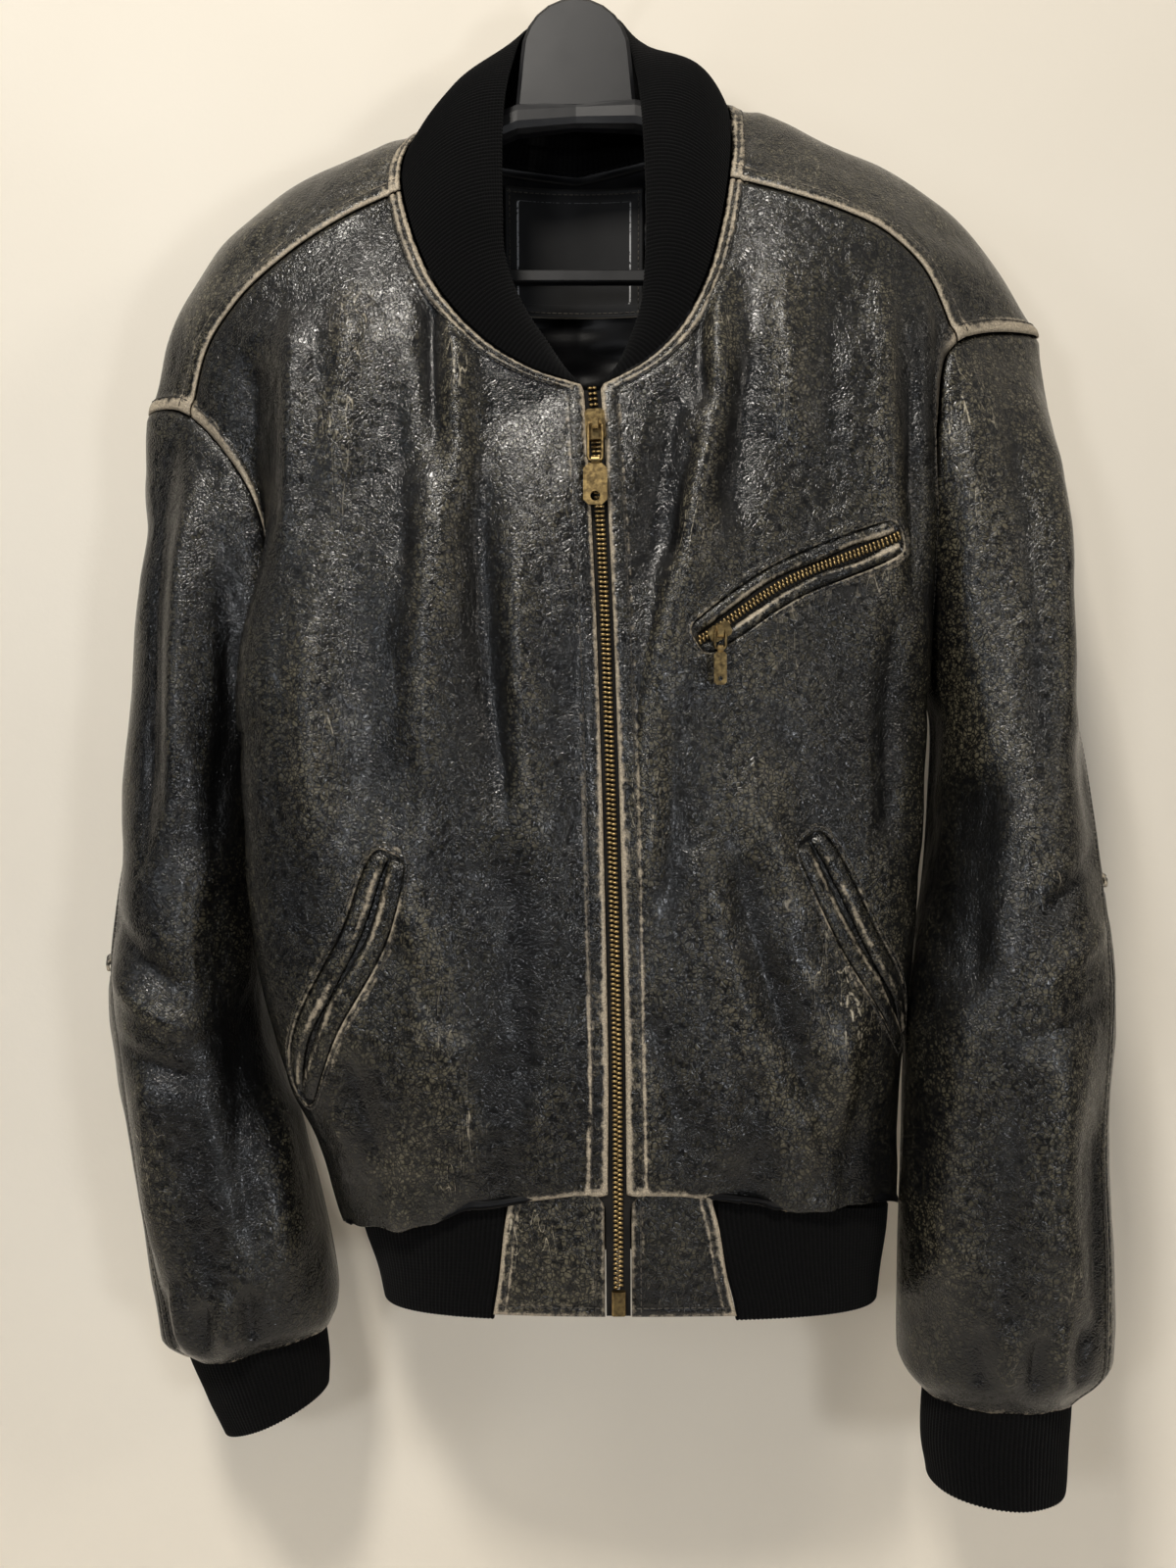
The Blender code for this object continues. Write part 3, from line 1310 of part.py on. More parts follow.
def addPull(group, cutters, name, face, tilt, lean, back):
    """A slider with an eye, a wire link through the eye and a tab on the link.

    face is the middle of the slider's rear, tilt turns its body in the front view.
    """
    size = PULLS[name]
    wide, tall, thick = size["body"]
    turn = math.radians(tilt)
    spin = np.array([[math.cos(turn), 0, -math.sin(turn)], [0, 1, 0], [math.sin(turn), 0, math.cos(turn)]])
    face = np.asarray(face, dtype=float)
    plate = cutCorners("xz", wide, tall, 1.6) @ spin.T
    body = sweepMesh(name + "_slider", [face, face - [0, thick, 0]], np.stack([plate, plate]))
    slider = addObject(group, name + "_slider", body, "brass")
    if back:
        rear = cutCorners("xz", FLY_HALF * 2 - 2.6, tall - 0.6, 1.0)
        joinSolid(slider, cutters, name + "_rear_tool",
                  prism("rear", face + [0, back, 0], face - [0, 0.4, 0], rear), "UNION")
    pin = face - [0, thick + EYE + 0.5, 0]
    eye = cutCorners("yz", EYE * 2 + 1.8, EYE * 2 + 3.4, 1.1)
    joinSolid(slider, cutters, name + "_eye_tool",
              prism("eye", pin - [1.5, 0, 0], pin + [1.5, 0, 0], eye), "UNION")
    joinSolid(slider, cutters, name + "_bore_tool",
              prism("bore", pin - [3, 0, 0], pin + [3, 0, 0], circle("yz", EYE)), "DIFFERENCE")

    wire = size["wire"]
    wideLink, long = size["link"]
    leanTurn = leanMatrix(lean)
    ring = []
    radius = 1.6
    for cornerX, cornerZ, first in ((1, 0, 0), (-1, 0, 90), (-1, -1, 180), (1, -1, 270)):
        for angle in np.radians(first + np.array([0.0, 45.0, 90.0])):
            ring.append((cornerX * (wideLink / 2 - radius) + radius * math.cos(angle), 0.0,
                         cornerZ * long + (radius if cornerZ else -radius) + radius * math.sin(angle)))
    ring = np.array(ring)
    along = unit(np.roll(ring, -1, axis=0) - np.roll(ring, 1, axis=0))
    out = np.cross(along, [0.0, 1.0, 0.0])
    turns = np.radians(np.arange(0, 360, 60))
    sections = wire * (np.cos(turns)[None, :, None] * out[:, None]
                       + np.sin(turns)[None, :, None] * np.array([0.0, 1.0, 0.0]))
    mesh = ringMesh(name + "_link", ring @ leanTurn.T + pin, sections @ leanTurn.T, pin * MM)
    addObject(group, name + "_link", mesh, "brass", pin * MM)

    foot = pin + leanTurn @ np.array([0.0, 0.0, -long])
    tabWide, tabLong, tabThick = size["tab"]
    bore = wire + 0.45

    def local(part, start, end, outline):
        rings = (np.array([start, end], dtype=float)[:, None, :] + outline) @ leanTurn.T
        return sweepMesh(part, np.zeros((2, 3)), rings)

    barrel = wideLink / 2 - wire - 0.7
    plate = cutCorners("xz", tabWide, tabLong, tabWide * 0.22)
    centre = [0.0, 0.0, -(wire + 0.9) - tabLong / 2]
    mesh = local(name + "_tab", np.add(centre, [0, tabThick / 2, 0]), np.add(centre, [0, -tabThick / 2, 0]), plate)
    tab = addObject(group, name + "_tab", mesh, "brass", foot * MM)
    joinSolid(tab, cutters, name + "_barrel_tool",
              local("barrel", (-barrel, 0, 0), (barrel, 0, 0), circle("yz", bore + 0.9)), "UNION")
    joinSolid(tab, cutters, name + "_pin_tool",
              local("pin", (-barrel - 1, 0, 0), (barrel + 1, 0, 0), circle("yz", bore)), "DIFFERENCE")
    low = np.array([0.0, 0.0, -(wire + 0.9) - tabLong + size["hole"] + 2.0])
    joinSolid(tab, cutters, name + "_hole_tool",
              local("hole", low + [0, 3, 0], low - [0, 3, 0], circle("xz", size["hole"])), "DIFFERENCE")


def addPulls(group, cutters, leftTree):
    middle = zipPoint(SLIDER_Z)
    addPull(group, cutters, "zip", middle - [0, 2.4, 0], 4.0, 4.5, 2.2)
    x, z = np.meshgrid(np.linspace(69, 81, 7), np.linspace(-456, -438, 7))
    start = np.stack([x, 0 * x - 200.0, z], axis=-1)
    hits = castOnto(leftTree, start, np.broadcast_to([0.0, 1.0, 0.0], start.shape))
    stand = LAY_GAP + LIP_HIGH + 0.5
    addPull(group, cutters, "chest", (75.0, hits[..., 1].min() - stand, -447.5), -61.0, 0.0, 0)


# Hanger arms: half height and half depth of the arm, the drop of each tip and its reach
ARM_HIGH = 9.5
ARM_DEEP = 7.5
ARM_CLEAR = {"right": 2.6, "left": 3.6}
NECK_DROP = 5.0
ARM_TIP = {"right": (8.0, 16.0), "left": (12.0, 28.0)}


def hangerArm(side):
    """Stations of an arm under the shoulder piece: middle, half height and half depth."""
    stations = []
    for share in COLUMNS[:6]:
        top = curve(RIDGE[side], "along", "xyz", share)
        ahead = curve(RIDGE[side], "along", "xyz", share + 0.02)
        slope = abs((ahead[2] - top[2]) / (ahead[0] - top[0]))
        clear = (LEATHER + SEAM_GAP + ARM_CLEAR[side]) * math.sqrt(1 + slope**2) + (NECK_DROP if share == 0 else 0)
        stations.append((top[0], 0.0, top[2] - clear - ARM_HIGH, ARM_HIGH, ARM_DEEP))
    reach, drop = ARM_TIP[side]
    x, y, z = stations[-1][:3]
    stations.append((x + math.copysign(reach, x), 0.0, z - drop, 4.5, ARM_DEEP - 2))
    return stations


def addHanger(group, cutters):
    """The moulded hanger: two arms, the head plate and the trouser bar in one solid."""
    head = [(-34, 0, -140, 9, 8), (0, 0, -137, 8, 6), (34, 0, -137, 9, 8)]
    stations = np.array(hangerArm("right")[::-1] + head + hangerArm("left"), dtype=float)
    turns = np.radians(np.arange(0, 360, 30) + 15)
    wide = np.sign(np.cos(turns)) * np.abs(np.cos(turns)) ** 0.7
    tall = np.sign(np.sin(turns)) * np.abs(np.sin(turns)) ** 0.8
    sections = np.stack([0 * stations[:, 3:4] * tall, stations[:, 4:5] * wide, stations[:, 3:4] * tall],
                        axis=-1)
    frame = addObject(group, "hanger_frame",
                      sweepMesh("hanger_frame", stations[:, :3], sections), "plastic")

    arc = np.linspace(0, math.pi, 13)
    outline = np.stack([PLATE_HALF * 0.97 * np.cos(arc), PLATE_TOP - 34.0 + 34.0 * np.sin(arc)], axis=-1)
    foot = [(-PLATE_HALF - 2.0, PLATE_LOW - 8.0), (PLATE_HALF + 2.0, PLATE_LOW - 8.0)]
    outline = np.concatenate([outline, foot])
    centre = np.array([0.0, (PLATE_TOP + PLATE_LOW) / 2])
    rings = []
    for shrink, depth in ((0.93, -0.5), (1.0, -0.36), (1.0, 0.36), (0.93, 0.5)):
        flat = (outline - centre) * shrink + centre
        rings.append(np.stack([flat[:, 0], np.full(len(flat), depth * PLATE_THICK), flat[:, 1]], axis=-1))
    plate = sweepMesh("plate_tool", np.zeros((4, 3)), np.stack(rings))

    ends = np.array([(stations[0, 0] + 6, 0.0, BAR_Z), (stations[-1, 0] - 4, 0.0, BAR_Z)])
    profile = np.array([(0, -4.0, 2.7), (0, -3.2, 3.5), (0, 3.2, 3.5), (0, 4.0, 2.7),
                        (0, 4.0, -2.7), (0, 3.2, -3.5), (0, -3.2, -3.5), (0, -4.0, -2.7)])
    bar = sweepMesh("bar_tool", ends, np.repeat(profile[None], 2, axis=0))
    for name, mesh in (("plate_tool", plate), ("bar_tool", bar)):
        joinSolid(frame, cutters, name, mesh, "UNION")


def addHook(group):
    """The wire hook: a straight shank, a sweep to one side and the round of the hook."""
    radius = HOOK_INNER + HOOK_WIRE
    arc = np.radians(np.arange(-30, 200, 20))
    bend = np.stack([radius * np.cos(arc), 0 * arc, radius * np.sin(arc) - HOOK_INNER], axis=-1)
    shank = np.array([(0.0, 0.0, PLATE_TOP + 0.3), (0.0, 0.0, PLATE_TOP + 10.0), (4.0, 0.0, -52.0),
                      (12.0, 0.0, -42.5)])
    path = np.concatenate([shank, bend])
    along = unit(np.gradient(path, axis=0))
    along[0] = [0.0, 0.0, 1.0]
    out = np.cross(along, [0.0, 1.0, 0.0])
    turns = np.radians(np.arange(0, 360, 30))
    sections = HOOK_WIRE * (np.cos(turns)[None, :, None] * out[:, None]
                            + np.sin(turns)[None, :, None] * np.array([0.0, 1.0, 0.0]))
    addObject(group, "hanger_hook", sweepMesh("hanger_hook", path, sections), "steel")


def main():
    clearScene()
    group = newCollection("leather_jacket")
    cutters = newCollection("cutters")
    grids = addFronts(group)
    backPoints, backInward = addBack(group)
    addShoulders(group)
    addSleeves(group)
    addCuffs(group)
    addWaistband(group)
    addHemTabs(group)
    addCollar(group)
    liningFace = addLining(group, backPoints, backInward)
    addPatch(group, liningFace)
    addFrontZip(group, grids)
    leftTree = addPockets(group, grids)
    addPulls(group, cutters, leftTree)
    addHanger(group, cutters)
    addHook(group)


main()
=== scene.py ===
import math

import bpy
import numpy as np
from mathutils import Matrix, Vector


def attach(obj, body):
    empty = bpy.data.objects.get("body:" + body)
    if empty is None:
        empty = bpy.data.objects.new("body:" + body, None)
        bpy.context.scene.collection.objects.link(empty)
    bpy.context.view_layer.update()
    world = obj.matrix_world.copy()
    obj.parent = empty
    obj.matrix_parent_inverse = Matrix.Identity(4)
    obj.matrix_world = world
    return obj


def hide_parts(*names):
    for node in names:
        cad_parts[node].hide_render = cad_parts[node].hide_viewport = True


# A worn leather blouson on a moulded hanger. Shapes are in millimetres and become metres in the mesh
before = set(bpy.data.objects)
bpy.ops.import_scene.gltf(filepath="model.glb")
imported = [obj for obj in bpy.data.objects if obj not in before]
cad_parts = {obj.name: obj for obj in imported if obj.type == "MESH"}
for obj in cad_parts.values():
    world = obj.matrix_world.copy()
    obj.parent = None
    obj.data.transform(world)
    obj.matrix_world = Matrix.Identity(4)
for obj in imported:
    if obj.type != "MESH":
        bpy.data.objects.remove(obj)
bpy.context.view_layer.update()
mm = 0.001
print("frame loaded")

neckShare = 0.267  # of half the back's top edge
yokeAngle = 40.0  # of the armhole, that a shoulder piece takes to each side of its tip
underarmAt, neckAt = 0.42, 0.62  # shares up a panel where its armhole and its neck edge start
flyHalf, seamGap = 4.5, 0.3
zipTop, zipBottom = -313.0, -739.0
toFront, toBack, upwards = np.array([0.0, -1.0, 0.0]), np.array([0.0, 1.0, 0.0]), np.array([0.0, 0.0, 1.0])


# Rows of numbers as named columns
def table(columns, *rows):
    values = np.array(rows, dtype=float)
    return {name: values[:, place] for place, name in enumerate(columns.split())}


# A cubic from start to end that leaves and arrives at the given slopes
def cubic(u, start, end, leave, arrive):
    return (start * (2 * u**3 - 3 * u**2 + 1) + leave * (u**3 - 2 * u**2 + u)
            + end * (3 * u**2 - 2 * u**3) + arrive * (u**3 - u**2))


# Cubic curve through the values, with each slope taken from its two neighbours.
# With turn, the knots go round and meet again after that much
def smooth(knots, values, at, turn=None):
    knots, values, at = (np.asarray(rows, dtype=float) for rows in (knots, values, at))
    if turn is not None:
        knots = np.concatenate([knots[-2:] - turn, knots, knots[:3] + turn])
        values = np.concatenate([values[-2:], values, values[:3]])
        at = np.mod(at, turn)
    slopes = np.gradient(values, knots, axis=0)
    seat = np.clip(np.searchsorted(knots, at, side="right") - 1, 0, len(knots) - 2)
    step = knots[seat + 1] - knots[seat]
    u = np.clip((at - knots[seat]) / step, 0.0, 1.0)
    spread = u.shape + (1,) * (values.ndim - 1)
    u, step = u.reshape(spread), step.reshape(spread)
    return cubic(u, values[seat], values[seat + 1], slopes[seat] * step, slopes[seat + 1] * step)


# Points of a named-column table, with one coordinate for each name
def curve(rows, key, names, at, turn=None):
    return np.stack([smooth(rows[key], rows[name], at, turn) for name in names], axis=-1)


# 0 below low, 1 above high, a soft S between
def ease(value, low, high):
    share = np.clip((np.asarray(value, dtype=float) - low) / (high - low), 0.0, 1.0)
    return share * share * (3 - 2 * share)


# 1 in the middle, falling off to both sides as a bell
def bell(off, wide):
    return np.exp(-(off / wide) ** 2)


def unit(vectors):
    return vectors / np.maximum(np.linalg.norm(vectors, axis=-1, keepdims=True), 1e-9)


# The length run from a path's first point to each of its points
def runAlong(path):
    return np.concatenate([[0.0], np.linalg.norm(np.diff(path, axis=0), axis=1).cumsum()])


# The front zip's centre line, top to bottom
zipLine = table(
    "z x y",
    (-806, 23.0, -85), (-739, 22.5, -88), (-678, 22.0, -90), (-577, 20.0, -90), (-506, 18.0, -88),
    (-434, 15.5, -85), (-381, 13.0, -80), (-326, 10.0, -71), (-313, 9.0, -68))

# The neck seam from the zip to the shoulder, for the wearer's right and left;
# "along" is 0 at the zip, 1 at the front shoulder seam and 2 at the back shoulder seam
neckSeam = {
    "right": table("along x y z",
        (0.00, 3.5, -68, -313), (0.18, -22, -69, -305), (0.38, -49, -66, -288), (0.58, -73, -60, -261),
        (0.78, -87, -52, -232), (1.00, -97, -38, -196), (1.50, -87, -6, -147), (2.00, -68, 30, -147)),
    "left": table("along x y z",
        (0.00, 14.5, -68, -313), (0.18, 38, -68, -300), (0.38, 58, -64, -279), (0.58, 72, -57, -250),
        (0.78, 80, -49, -222), (1.00, 86, -38, -189), (1.50, 88, -6, -133), (2.00, 74, 30, -138))}

# The free edge of the knit collar over the same seam points; 3 is the middle of the back
collarEdge = {
    "right": table("along x y z bulge",
        (0.00, -3, -61, -305, 1), (0.18, -13, -60, -290, 3), (0.38, -28, -56, -266, 5), (0.58, -38, -51, -238, 7),
        (0.78, -40, -43, -204, 9), (1.00, -41, -31, -160, 10), (1.50, -36, 0, -98, 8), (2.00, -27, 24, -70, 4),
        (3.00, 0, 34, -66, 2)),
    "left": table("along x y z bulge",
        (0.00, 20, -61, -305, 1), (0.18, 27, -60, -291, 3), (0.38, 35, -56, -268, 5), (0.58, 38, -51, -242, 7),
        (0.78, 39, -43, -206, 9), (1.00, 38, -31, -163, 11), (1.50, 34, 0, -103, 12), (2.00, 28, 24, -69, 5),
        (3.00, 0, 34, -66, 2))}

# Armhole seams: 0 degrees at the shoulder tip, 90 at the front, 180 under the arm
armholeSeam = {
    "right": table("angle x y z",
        (0, -249, -3, -312), (40, -218, -24, -318), (80, -181, -36, -364), (120, -167, -28, -421),
        (160, -164, -12, -476), (200, -164, 18, -480), (240, -168, 42, -425), (280, -185, 48, -370),
        (320, -222, 30, -322)),
    "left": table("angle x y z",
        (0, 268, -5, -267), (40, 211, -43, -282), (80, 199, -49, -328), (120, 197, -38, -390),
        (160, 197, -18, -450), (200, 198, 18, -456), (240, 198, 42, -400), (280, 202, 47, -335),
        (320, 240, 28, -277))}

# The shoulder piece's front seam, ridge and back seam, from the neck to the armhole
frontSeam = {
    "right": table("along x y z",
        (0.00, -97, -38, -196), (0.22, -128, -45, -214), (0.46, -161, -45, -236), (0.68, -189, -40, -260),
        (0.86, -208, -32, -286), (1.00, -218, -24, -318)),
    "left": table("along x y z",
        (0.00, 86, -38, -189), (0.24, 115, -48, -201), (0.46, 146, -50, -212), (0.68, 174, -49, -226),
        (0.84, 194, -47, -246), (1.00, 211, -43, -282))}
shoulderRidge = {
    "right": table("along x y z",
        (0.00, -87, -3, -143), (0.25, -131, 0, -163), (0.50, -174, 0, -187), (0.70, -209, 0, -219),
        (0.86, -233, -1, -259), (1.00, -249, -3, -312)),
    "left": table("along x y z",
        (0.00, 88, -3, -129), (0.25, 131, 0, -146), (0.50, 178, 0, -169), (0.70, 219, 0, -195),
        (0.86, 247, -1, -230), (1.00, 268, -5, -267))}
backSeam = {
    "right": table("along x y z",
        (0.00, -68, 30, -147), (0.25, -112, 44, -190), (0.50, -154, 50, -222), (0.75, -194, 44, -262),
        (1.00, -222, 30, -322)),
    "left": table("along x y z",
        (0.00, 74, 30, -138), (0.25, 115, 44, -178), (0.50, 158, 50, -202), (0.75, 204, 44, -228),
        (1.00, 240, 28, -277))}

# Side seams from the hem to the underarm, and the middle of the back from the hem to the neck
sideSeam = {
    "right": table("along x y z",
        (0.0, -127, -14, -764), (0.2, -142, -8, -706), (0.6, -157, -1, -585), (1.0, -158, 0, -484)),
    "left": table("along x y z",
        (0.0, 175, -14, -752), (0.2, 178, -6, -700), (0.6, 186, 0, -572), (1.0, 195, 0, -461))}
backMiddle = table(
    "along x y z",
    (0.00, 27, 52, -766), (0.08, 27, 60, -738), (0.30, 20, 64, -615), (0.60, 10, 64, -430), (0.85, 2, 58, -245),
    (1.00, 0, 46, -150))

# How each row of a panel turns its corner: a point that the row bends towards
rowCorner = {
    ("front", "right"): table(
        "up x y z first last",
        (0.03, -146, -88, -770, 0.62, 0.62), (0.10, -182, -94, -738, 0.68, 0.64),
        (0.20, -222, -96, -668, 0.70, 0.68), (0.32, -238, -94, -590, 0.70, 0.72),
        (0.42, -242, -90, -520, 0.70, 0.76), (0.55, -230, -85, -440, 0.68, 0.80),
        (0.70, -196, -78, -368, 0.66, 0.70), (0.85, -188, -66, -300, 0.62, 0.60),
        (1.00, -190, -50, -240, 0.60, 0.60)),
    ("front", "left"): table(
        "up x y z first last",
        (0.03, 190, -86, -754, 0.62, 0.62), (0.10, 200, -94, -726, 0.68, 0.64), (0.20, 208, -93, -655, 0.70, 0.70),
        (0.32, 214, -91, -570, 0.70, 0.74), (0.42, 214, -88, -495, 0.70, 0.74), (0.55, 208, -85, -425, 0.68, 0.70),
        (0.70, 212, -78, -345, 0.66, 0.64), (0.85, 206, -68, -275, 0.62, 0.60), (1.00, 198, -55, -215, 0.60, 0.60)),
    ("back", "right"): table(
        "up x y z first last",
        (0.03, -124, 54, -770, 0.62, 0.60), (0.10, -150, 64, -735, 0.70, 0.62), (0.25, -168, 70, -640, 0.72, 0.66),
        (0.42, -172, 72, -520, 0.72, 0.66), (0.60, -170, 70, -420, 0.70, 0.64), (0.80, -176, 66, -320, 0.66, 0.60),
        (1.00, -168, 58, -215, 0.60, 0.60)),
    ("back", "left"): table(
        "up x y z first last",
        (0.03, 178, 54, -760, 0.62, 0.60), (0.10, 196, 64, -726, 0.70, 0.62), (0.25, 204, 70, -630, 0.72, 0.66),
        (0.42, 206, 72, -505, 0.72, 0.66), (0.60, 204, 70, -400, 0.70, 0.64), (0.80, 200, 66, -290, 0.66, 0.60),
        (1.00, 178, 58, -195, 0.60, 0.60))}

# Sleeve sections down from the armhole: the outermost and innermost point, middle and half depth
sleeveRings = {
    "right": table("outX outZ inX inZ midY halfY",
        (-251, -389, -177, -515, 9, 47), (-256, -469, -182, -560, 13, 53), (-264, -555, -184, -612, 15, 56),
        (-272, -632, -180, -660, 14, 57), (-266, -690, -170, -705, 10, 56), (-256, -755, -152, -763, 8, 53),
        (-246, -815, -141, -812, 6, 50), (-241, -845, -141, -832, 5, 46)),
    "left": table("outX outZ inX inZ midY halfY",
        (272, -345, 205, -490, -12, 52), (279, -420, 203, -535, -17, 55), (283, -500, 198, -580, -24, 58),
        (291, -580, 191, -615, -31, 59), (297, -637, 185, -655, -34, 58), (293, -715, 183, -725, -34, 56),
        (297, -790, 181, -795, -33, 54), (297, -843, 181, -846, -32, 49))}
cuffRings = {
    "right": table("outX outZ inX inZ midY halfY",
        (-228, -841, -151, -829, 5, 34), (-226, -856, -147, -844, 5, 34), (-217, -878, -145, -862, 6, 32),
        (-206, -904, -146, -879, 8, 29)),
    "left": table("outX outZ inX inZ midY halfY",
        (276, -852, 197, -850, -31, 37), (276, -866, 195, -864, -31, 37), (275, -890, 194, -887, -30, 36),
        (273, -917, 197, -913, -30, 35))}

# Where the two long sleeve seams run, in degrees round the sleeve, by section
sleeveSeams = table(
    "section outer under",
    (0, -40, 194.48), (2, -26, 196), (3.3, 12, 198), (4, 27, 198), (6, 32, 198), (9, 36, 196))
elbowSection = 4


# The zip's centre line at a height
def zipPoint(z):
    flat = curve(zipLine, "z", "xy", z)
    return np.concatenate([flat, np.asarray(z, dtype=float)[..., None]], axis=-1)


# The armhole angle that a panel's row meets
def armholeAngle(up, part):
    share = np.clip((up - underarmAt) / (1 - underarmAt), 0, 1)
    turn = (180 - yokeAngle) * share
    return 180 - turn if part == "front" else 180 + turn


def armholePoint(side, angle):
    return curve(armholeSeam[side], "angle", "xyz", angle, turn=360.0)


# The waistband's ring: 0 degrees at the front, 90 at the wearer's right, 180 at the back
bandRings = table(
    "down midX midY halfX halfY front side back",
    (0.00, 27, -21, 149, 63, -744, -762, -757), (0.25, 28, -21, 147, 63, -756, -775, -770),
    (0.60, 30, -20, 142, 63, -784, -795, -793), (1.00, 31, -19, 139, 63, -806, -813, -811))
bandPower = 2.3


# A point on the waistband's outer face
def bandPoint(angle, down):
    turn = np.radians(np.asarray(angle, dtype=float))
    row = {name: smooth(bandRings["down"], bandRings[name], down) for name in bandRings}
    across = np.sign(np.sin(turn)) * np.abs(np.sin(turn)) ** (2 / bandPower)
    ahead = np.sign(np.cos(turn)) * np.abs(np.cos(turn)) ** (2 / bandPower)
    x = row["midX"] - row["halfX"] * across
    y = row["midY"] - row["halfY"] * ahead
    level = (row["front"] + row["back"]) / 2 + (row["front"] - row["back"]) / 2 * np.cos(turn)
    z = level + (row["side"] - (row["front"] + row["back"]) / 2) * np.sin(turn) ** 2
    return np.stack([x, y, z + 0 * x], axis=-1)


zipAngle = {"right": 2.35, "left": 0.0}
sideAngle = {"right": 86.0, "left": -86.0}


# The waistband angle under a panel's column
def hemAngle(part, side, across):
    if part == "front":
        return zipAngle[side] + (sideAngle[side] - zipAngle[side]) * across
    back = 180.0 if side == "right" else -180.0
    return back + (sideAngle[side] - back) * across


# The leather's hem round the waistband: the height of its fold, how far the fold stands out
# and how far the seam with the waistband lies above it
hemStand = 1.0
hemFold = table(
    "angle level out rise",
    (-180, -764, 7, 8), (-130, -762, 7, 8), (-86, -757, 4, 7), (-60, -752, 6, 7), (-36, -750, 5, 6),
    (-21, -745, 3, 2.5), (-8, -739, 2.8, 2.2), (8, -739, 2.8, 2.2), (23, -747, 3, 2.5), (38, -757, 6, 7),
    (62, -768, 8, 8), (86, -770, 8, 8), (130, -768, 7, 8), (180, -764, 7, 8))


# The hem's fold, or its seam just outside the waistband
def hemPoint(part, side, across, folded):
    angle = hemAngle(part, side, across)
    level, out, rise = (smooth(hemFold["angle"], hemFold[name], angle) for name in ("level", "out", "rise"))
    face = bandPoint(angle, 0.0)
    stand = hemStand + (out if folded else 0 * out)
    point = face + bandAway(face) * stand[..., None]
    point[..., 2] = level if folded else level + rise
    return point


# The level way out from the middle of the waistband
def bandAway(points):
    return unit((points - np.array([27.0, -21.0, 0.0])) * np.array([1.0, 1.0, 0.0]))


# A panel's edge at the zip and neck, or at the middle of the back
def innerEdge(part, side, up):
    up = np.asarray(up, dtype=float)
    if part == "back":
        return curve(backMiddle, "along", "xyz", up)
    level = zipBottom + (zipTop - zipBottom) * np.clip(up / neckAt, 0, 1)
    fly = zipPoint(level)
    fly[..., 0] += -flyHalf if side == "right" else flyHalf
    neck = curve(neckSeam[side], "along", "xyz", np.clip((up - neckAt) / (1 - neckAt), 0, 1))
    return np.where((up <= neckAt)[..., None], fly, neck)


# A panel's side seam, then its armhole
def outerEdge(part, side, up):
    up = np.asarray(up, dtype=float)
    seam = curve(sideSeam[side], "along", "xyz", np.clip(up / underarmAt, 0, 1))
    hole = armholePoint(side, armholeAngle(up, part))
    return np.where((up <= underarmAt)[..., None], seam, hole)


# A panel's top seam; on the back it runs from the middle along the neck to the shoulder
def topEdge(part, side, across):
    across = np.asarray(across, dtype=float)
    if part == "front":
        return curve(frontSeam[side], "along", "xyz", across)
    share = np.clip(across / neckShare, 0, 1)
    corner = curve(backSeam[side], "along", "xyz", 0.0)
    middle = curve(backMiddle, "along", "xyz", 1.0)
    neck = middle + (corner - middle) * share[..., None]
    neck[..., 1] += 9.0 * share * (1 - share)
    seam = curve(backSeam[side], "along", "xyz", np.clip((across - neckShare) / (1 - neckShare), 0, 1))
    return np.where((across <= neckShare)[..., None], neck, seam)


# A row from the inner edge to the outer edge, bent towards its corner point
def bentRow(part, side, across, up):
    corner = rowCorner[part, side]
    bend = curve(corner, "up", "xyz", up)
    first = smooth(corner["up"], corner["first"], up)[..., None]
    last = smooth(corner["up"], corner["last"], up)[..., None]
    start, end = innerEdge(part, side, up), outerEdge(part, side, up)
    one = start + (bend - start) * first
    two = end + (bend - end) * last
    s = np.asarray(across, dtype=float)[..., None]
    return (1 - s) ** 3 * start + 3 * s * (1 - s) ** 2 * one + 3 * s * s * (1 - s) * two + s**3 * end


# The largest folds, as (x1, z1, x2, z2, half width, height) in the front view; below 0 is a valley
bigFolds = {
    ("front", "right"): (
        (-152, -275, -158, -400, 13, 7.0), (-176, -290, -174, -390, 11, -9.0), (-86, -330, -66, -560, 20, 4.0),
        (-52, -380, -36, -660, 18, -3.0), (-116, -360, -112, -560, 20, -3.0)),
    ("front", "left"): (
        (78, -280, 58, -430, 18, 5.0), (56, -430, 44, -600, 18, 4.5), (188, -262, 190, -350, 12, 4.0),
        (148, -280, 150, -400, 20, 3.0), (112, -590, 146, -700, 18, 3.5), (66, -580, 112, -700, 20, -3.0)),
    ("back", "right"): (
        (-60, -290, -40, -600, 22, 4.0), (-120, -300, -110, -640, 18, -3.5)),
    ("back", "left"): (
        (80, -290, 70, -600, 22, 4.0), (140, -300, 140, -640, 18, -3.5))}


# Each point's share along a line in the front view, and its distance beside the line
def fromLine(x1, z1, x2, z2, points):
    line = np.array([x2 - x1, z2 - z1], dtype=float)
    length = np.hypot(*line)
    off = points[..., (0, 2)] - np.array([x1, z1])
    return (off @ line) / length**2, (off[..., 0] * line[1] - off[..., 1] * line[0]) / length


# Height of the folds at points, as soft ridges along their lines
def foldHeight(part, side, points):
    height = np.zeros(points.shape[:-1])
    for *line, wide, high in bigFolds[part, side]:
        along, aside = fromLine(*line, points)
        ends = ease(along, -0.12, 0.2) * (1 - ease(along, 0.8, 1.12))
        height += high * bell(aside, wide) * ends
    return height


